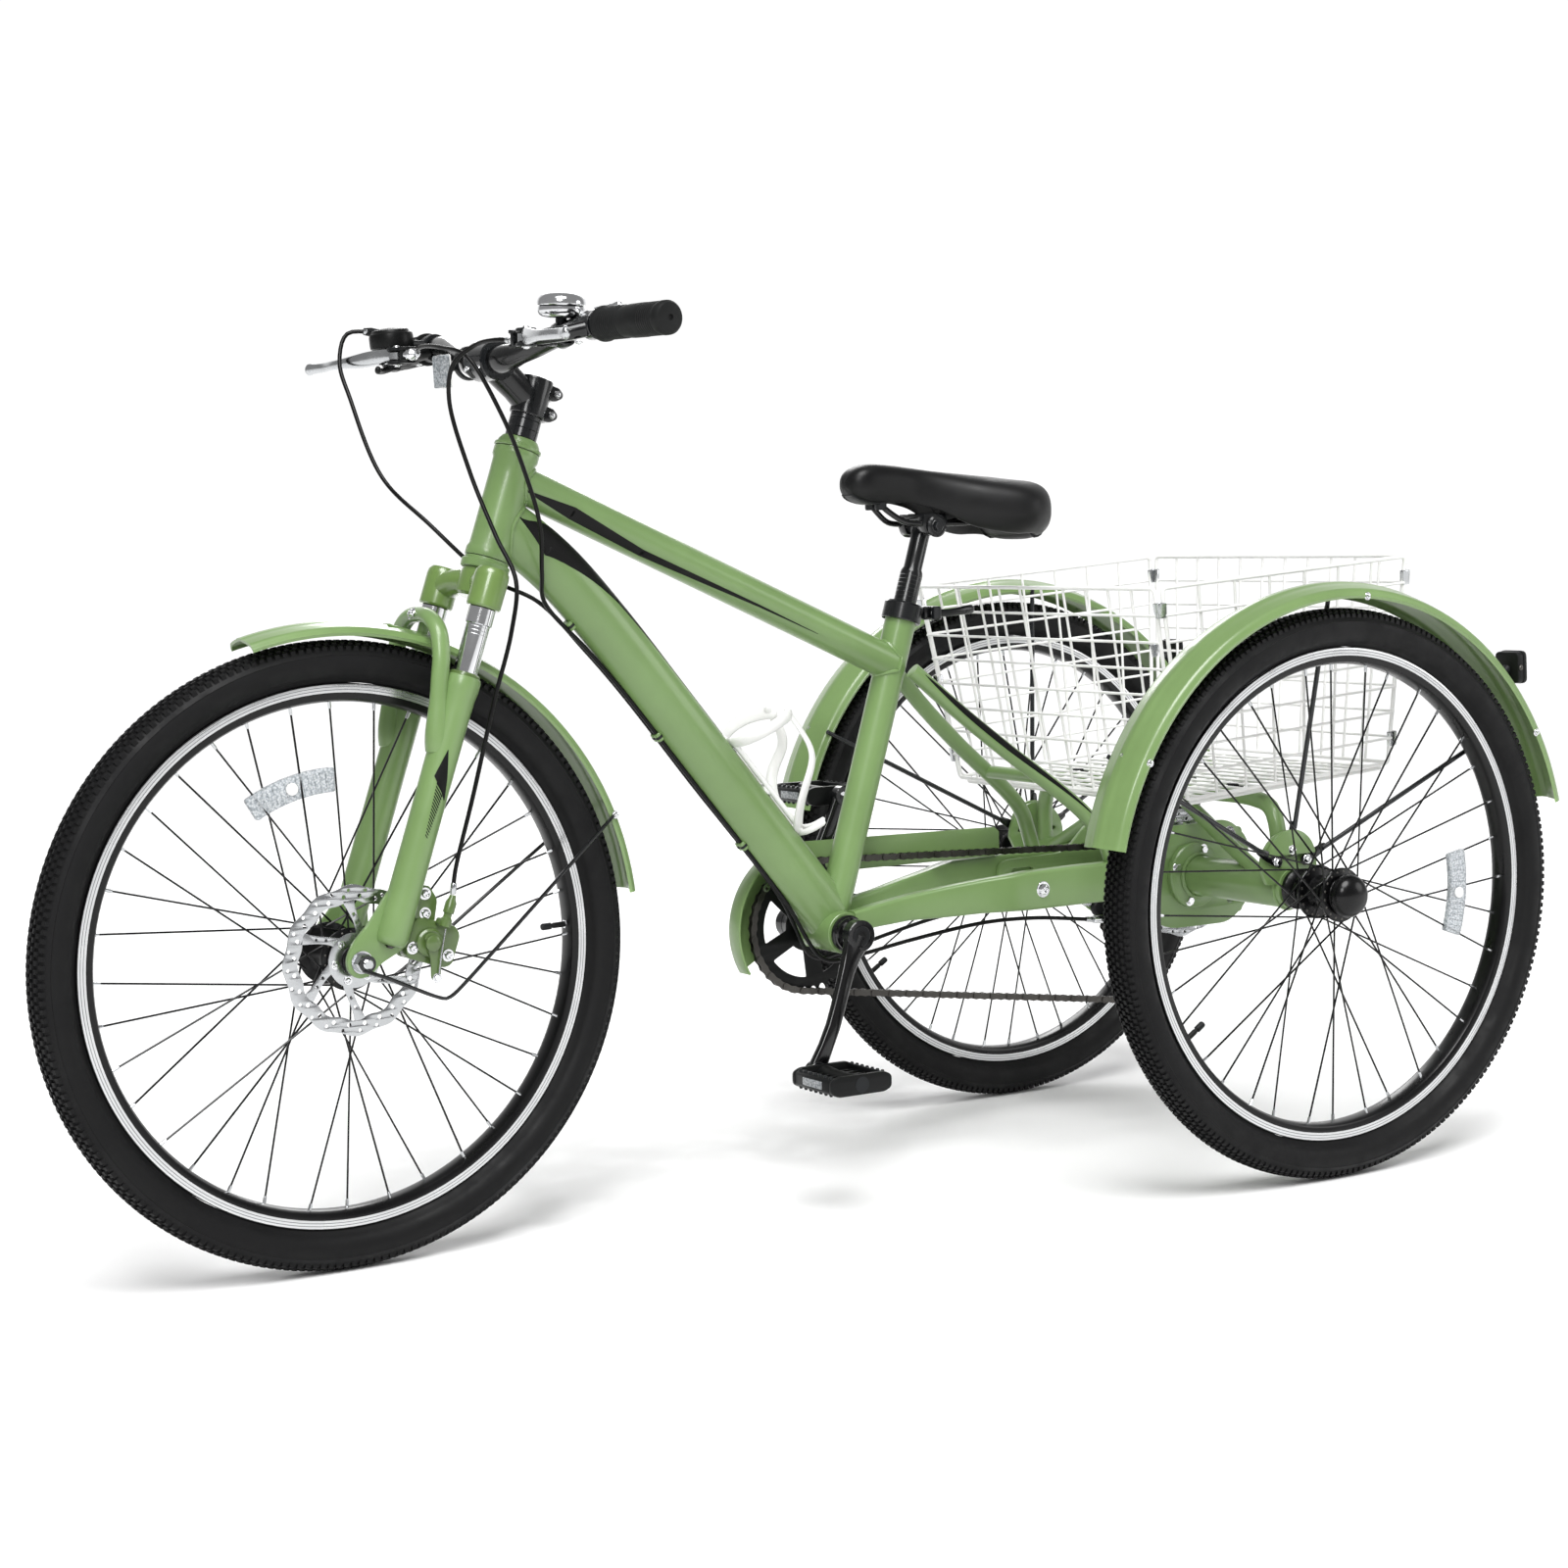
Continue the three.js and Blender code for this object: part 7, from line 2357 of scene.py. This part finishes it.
def bottle_cage():
    """A moulded cage on the down tube: a spine of two rails, two arms, an upper band and a shelf."""
    way = Vector((0.636, 0, 0.772)).normalized()
    off = Vector((-way.z, 0, way.x))
    middle = 82.8
    shape = Shape("white_plastic")

    def ring_point(s, degrees, radius=38.8):
        a = math.radians(degrees)
        return BB + way * s + off * (middle - radius * math.cos(a)) + Vector((0, radius * math.sin(a), 0))

    for y in (-7.5, 7.5):
        rail = [ring_point(s, math.degrees(y / 38), 38.2) for s in (116, 150, 190, 230, 262)]
        shape.tube(smooth_path(rail, 16), 3.4, 12, round_ends=True)
    pad = BB + way * 186 + off * (middle - 39.4)
    pad_reach = Vector((6, 9, 6))
    shape.block(pad - pad_reach, pad + pad_reach, 2.5)
    for side in SIDES:
        arm = []
        for i in range(33):
            u = i / 32
            along = mix(122, 242, u) + 10 * math.sin(u * math.pi * 2)
            arm.append(ring_point(along, side * mix(8, 148, math.sin(u * math.pi / 2))))
        shape.tube(arm, taper(arm, 7.5, 5), 18, round_ends=True, up=off, flat=0.5)
        upper = []
        for i in range(25):
            u = i / 24
            upper.append(ring_point(mix(258, 236, u) + 5 * math.sin(u * math.pi), side * mix(4, 150, u)))
        shape.tube(upper, 7, 18, round_ends=True, up=way, flat=0.42)
        low = [ring_point(mix(116, 118, i / 12), side * mix(6, 58, i / 12)) for i in range(13)]
        shape.tube(low, 3.6, 14, round_ends=True, up=off)
    shelf = [ring_point(117, a, 30) for a in (-60, -30, 0, 30, 60)]
    shape.tube(smooth_path(shelf, 16), 2.8, 12, round_ends=True)
    shape.make("bottle_holder", "frame", "white_plastic", ["bottle_cage"], 40)


BASKET_X = -18.5
BASKET_Z = 452
BASKET_LENGTH = 332
BASKET_WIDTH = 446
BASKET_HEIGHT = 256
BASKET_TILT = math.radians(4.15)
FLARE_X = 31
FLARE_Y = 17
WIRE = 1.65
RIM_WIRE = 2.4


def basket_place():
    """The basket floor's own frame, tilted a little back."""
    return Matrix.Translation((BASKET_X, 0, BASKET_Z)) @ Matrix.Rotation(BASKET_TILT, 4, "Y")


def basket_panel(name, span, top_span, flare, reach, turn, columns):
    """One folding panel: upright wires between a heavier rim, with level wires welded outside them."""
    inset = 12
    lift = 6
    slant = math.hypot(BASKET_HEIGHT, flare) - lift
    lean = math.atan2(flare, BASKET_HEIGHT)
    local = (
        Matrix.Rotation(math.radians(turn), 4, "Z")
        @ Matrix.Translation((0, -reach - flare * lift / BASKET_HEIGHT, lift))
        @ Matrix.Rotation(math.pi / 2 + lean, 4, "X")
    )
    shape = Shape("white_coated_wire").at(basket_place() @ local)
    low_half = (span - inset) / 2
    high_half = (top_span - inset) / 2

    def spot(u, height, out=0.0):
        half = mix(low_half, high_half, height / slant)
        return (half * (2 * u - 1), height, out)

    corners = [spot(0, 0), spot(1, 0), spot(1, slant), spot(0, slant)]
    shape.tube(bent_rim(corners, 7), RIM_WIRE, 10, closed=True, up=(0, 0, 1))
    for i in range(1, columns):
        u = i / columns
        shape.tube([spot(u, 0), spot(u, slant)], WIRE, 8)
    rows = 8
    for j in range(1, rows):
        height = slant * j / rows
        shape.tube([spot(0, height, WIRE * 1.5), spot(1, height, WIRE * 1.5)], WIRE, 8)
    for u in (0, 1):
        for height in (slant * 0.12, slant * 0.5, slant * 0.9):
            x, y, _ = spot(u, height)
            clip = frame_at((x + (3 if u else -3), y, 0), (1, 0, 0), (0, 0, 1))
            sleeve = rounded_outline([(-5.5, -9), (4.5, -9), (4.5, 9), (-5.5, 9)], 2)
            shape.plate(sleeve, -2.8, 2.8, finish="bare_alloy", bevel=0.5, place=clip)
    shape.make(name + "_wires", "frame", "white_coated_wire", [name], 50)


def bent_rim(corners, reach):
    """A closed wire through four corners, each bent round over a reach."""
    rim = []
    for i, corner in enumerate(corners):
        here = Vector(corner)
        before = Vector(corners[i - 1])
        after = Vector(corners[(i + 1) % len(corners)])
        a = here + (before - here).normalized() * reach
        b = here + (after - here).normalized() * reach
        rim += [a * (1 - t) ** 2 + here * 2 * t * (1 - t) + b * t * t for t in (0, 0.25, 0.5, 0.75, 1)]
    return rim


def basket():
    """Four folding panels and a floor of crossed wires with three bearers and four rubber pads."""
    width, length = BASKET_WIDTH, BASKET_LENGTH
    basket_panel("basket_front", width, width + 2 * FLARE_Y, FLARE_X, length / 2, 90, 11)
    basket_panel("basket_rear", width, width + 2 * FLARE_Y, FLARE_X, length / 2, -90, 11)
    basket_panel("basket_left", length, length + 2 * FLARE_X, FLARE_Y, width / 2, 180, 7)
    basket_panel("basket_right", length, length + 2 * FLARE_X, FLARE_Y, width / 2, 0, 7)
    floor = Shape("white_coated_wire").at(basket_place())
    half_x, half_y = (length - 16) / 2, (width - 16) / 2
    corners = [(-half_x, -half_y, 0), (half_x, -half_y, 0), (half_x, half_y, 0), (-half_x, half_y, 0)]
    floor.tube(bent_rim(corners, 9), RIM_WIRE, 10, closed=True, up=(0, 0, 1))
    for i in range(1, 14):
        x = mix(-half_x, half_x, i / 14)
        floor.tube([(x, -half_y, 1.2), (x, half_y, 1.2)], WIRE, 8)
    for i in range(1, 12):
        y = mix(-half_y, half_y, i / 12)
        floor.tube([(-half_x, y, -1.2), (half_x, y, -1.2)], WIRE, 8)
    for y in (-120, 0, 120):
        floor.tube([(-half_x, y, -2.0), (half_x, y, -2.0)], 2.2, 10)
    for y in (-150, -50, 50, 150):
        floor.block((15, y - 9, -3.2), (29, y + 9, 2.2), 1.5, "black_plastic")
    floor.make("basket_floor_wires", "frame", "white_coated_wire", ["basket_floor"], 50)


# ---------------------------------------------------------------- cables


def under_tube(s, y):
    """A place under the down tube: s along it from the bottom bracket, y across it."""
    way = Vector((0.6334, 0, 0.7738))
    below = Vector((way.z, 0, -way.x)) * (DOWN_DEPTH + 2.3)
    return BB + Vector((0, y, 17)) + way * s + below


UNDER_TUBE = (380, 250, 60)
SHIFT_CABLE = [
    (950, -222, 1002), (975, -236, 1000), (990, -226, 968), (990, -200, 925), (978, -150, 838),
    (953, -84, 784), (902, -44, 724), (862, -7, 697), (808, -3.2, 642),
    *(under_tube(s, -3.2) for s in UNDER_TUBE),
    (512, -12, 271), (472, -16, 272), (400, -26, 285), (306, -40, 298), (200, -54, 303), (110, -55, 300),
    (68, -55, 290),
]
REAR_CABLE = [
    (946, -116, 970), (955, -90, 976), (958, -30, 972), (952, 22, 958), (925, 42, 898), (902, 45, 840),
    (884, 44, 780), (876, 30, 728), (862, 7, 697), (808, 3.2, 642),
    *(under_tube(s, 3.2) for s in UNDER_TUBE),
    (512, 12, 271), (472, 16, 272), (400, 28, 285), (306, 42, 298), (230, 42, 297), (136, 36, 286),
]
FRONT_CABLE = [
    (946, 116, 970), (956, 92, 972), (962, 56, 968), (974, 30, 950), (974, 18, 915), (958, 28, 840),
    (944, 58, 770), (936, 86, 722), (944, 88, 670), (964, 84, 600), (990, 79, 500), (1011, 73, 420),
    (1013.5, 72, 399),
]


def cable(name, node, route, steps):
    """A sheathed cable with a metal ferrule at each end."""
    shape = Shape("cable_sheath")
    path = smooth_path(route, steps)
    shape.tube(path, 2.4, 14)
    ferrule = [(0, -2), (2.7, -2), (3.3, -1), (3.3, 9), (2.7, 10), (0, 10)]
    for tip, way in ((path[0], path[1] - path[0]), (path[-1], path[-2] - path[-1])):
        shape.turned(ferrule, tip, way, 16, "bare_alloy")
    piece = shape.make(name, "", "cable_sheath", [node], 40)
    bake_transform(piece)


def cables():
    """Two cables from the bar to the frame, and one down to the front brake."""
    cable("shift_cable_built", "cable_shift", SHIFT_CABLE, 190)
    cable("rear_brake_cable", "cable_rear_brake", REAR_CABLE, 190)
    cable("front_brake_cable", "cable_front_brake", FRONT_CABLE, 110)


# ---------------------------------------------------------------- assembly

add_camera()
add_studio()
main_frame()
rear_carrier()
rear_guards()
tail_lights()
chain_guard()
chain()
derailleur()
cranks()
pedals()
seat_collar()
seat_lever()
seat_post()
saddle_rails()
saddle()
fork_lowers()
fork_crown()
headset()
front_guard()
stem()
handlebar()
grips()
left_clamp()
for lever_side, lever_name in LEFT_AND_RIGHT:
    brake_lever(lever_side, lever_name)
shifter()
bell()
bar_reflector()
front_brake()
rear_brake()
bottle_cage()
basket()
front_wheel()
rear_wheels()
rear_axle()
sprockets()
cables()
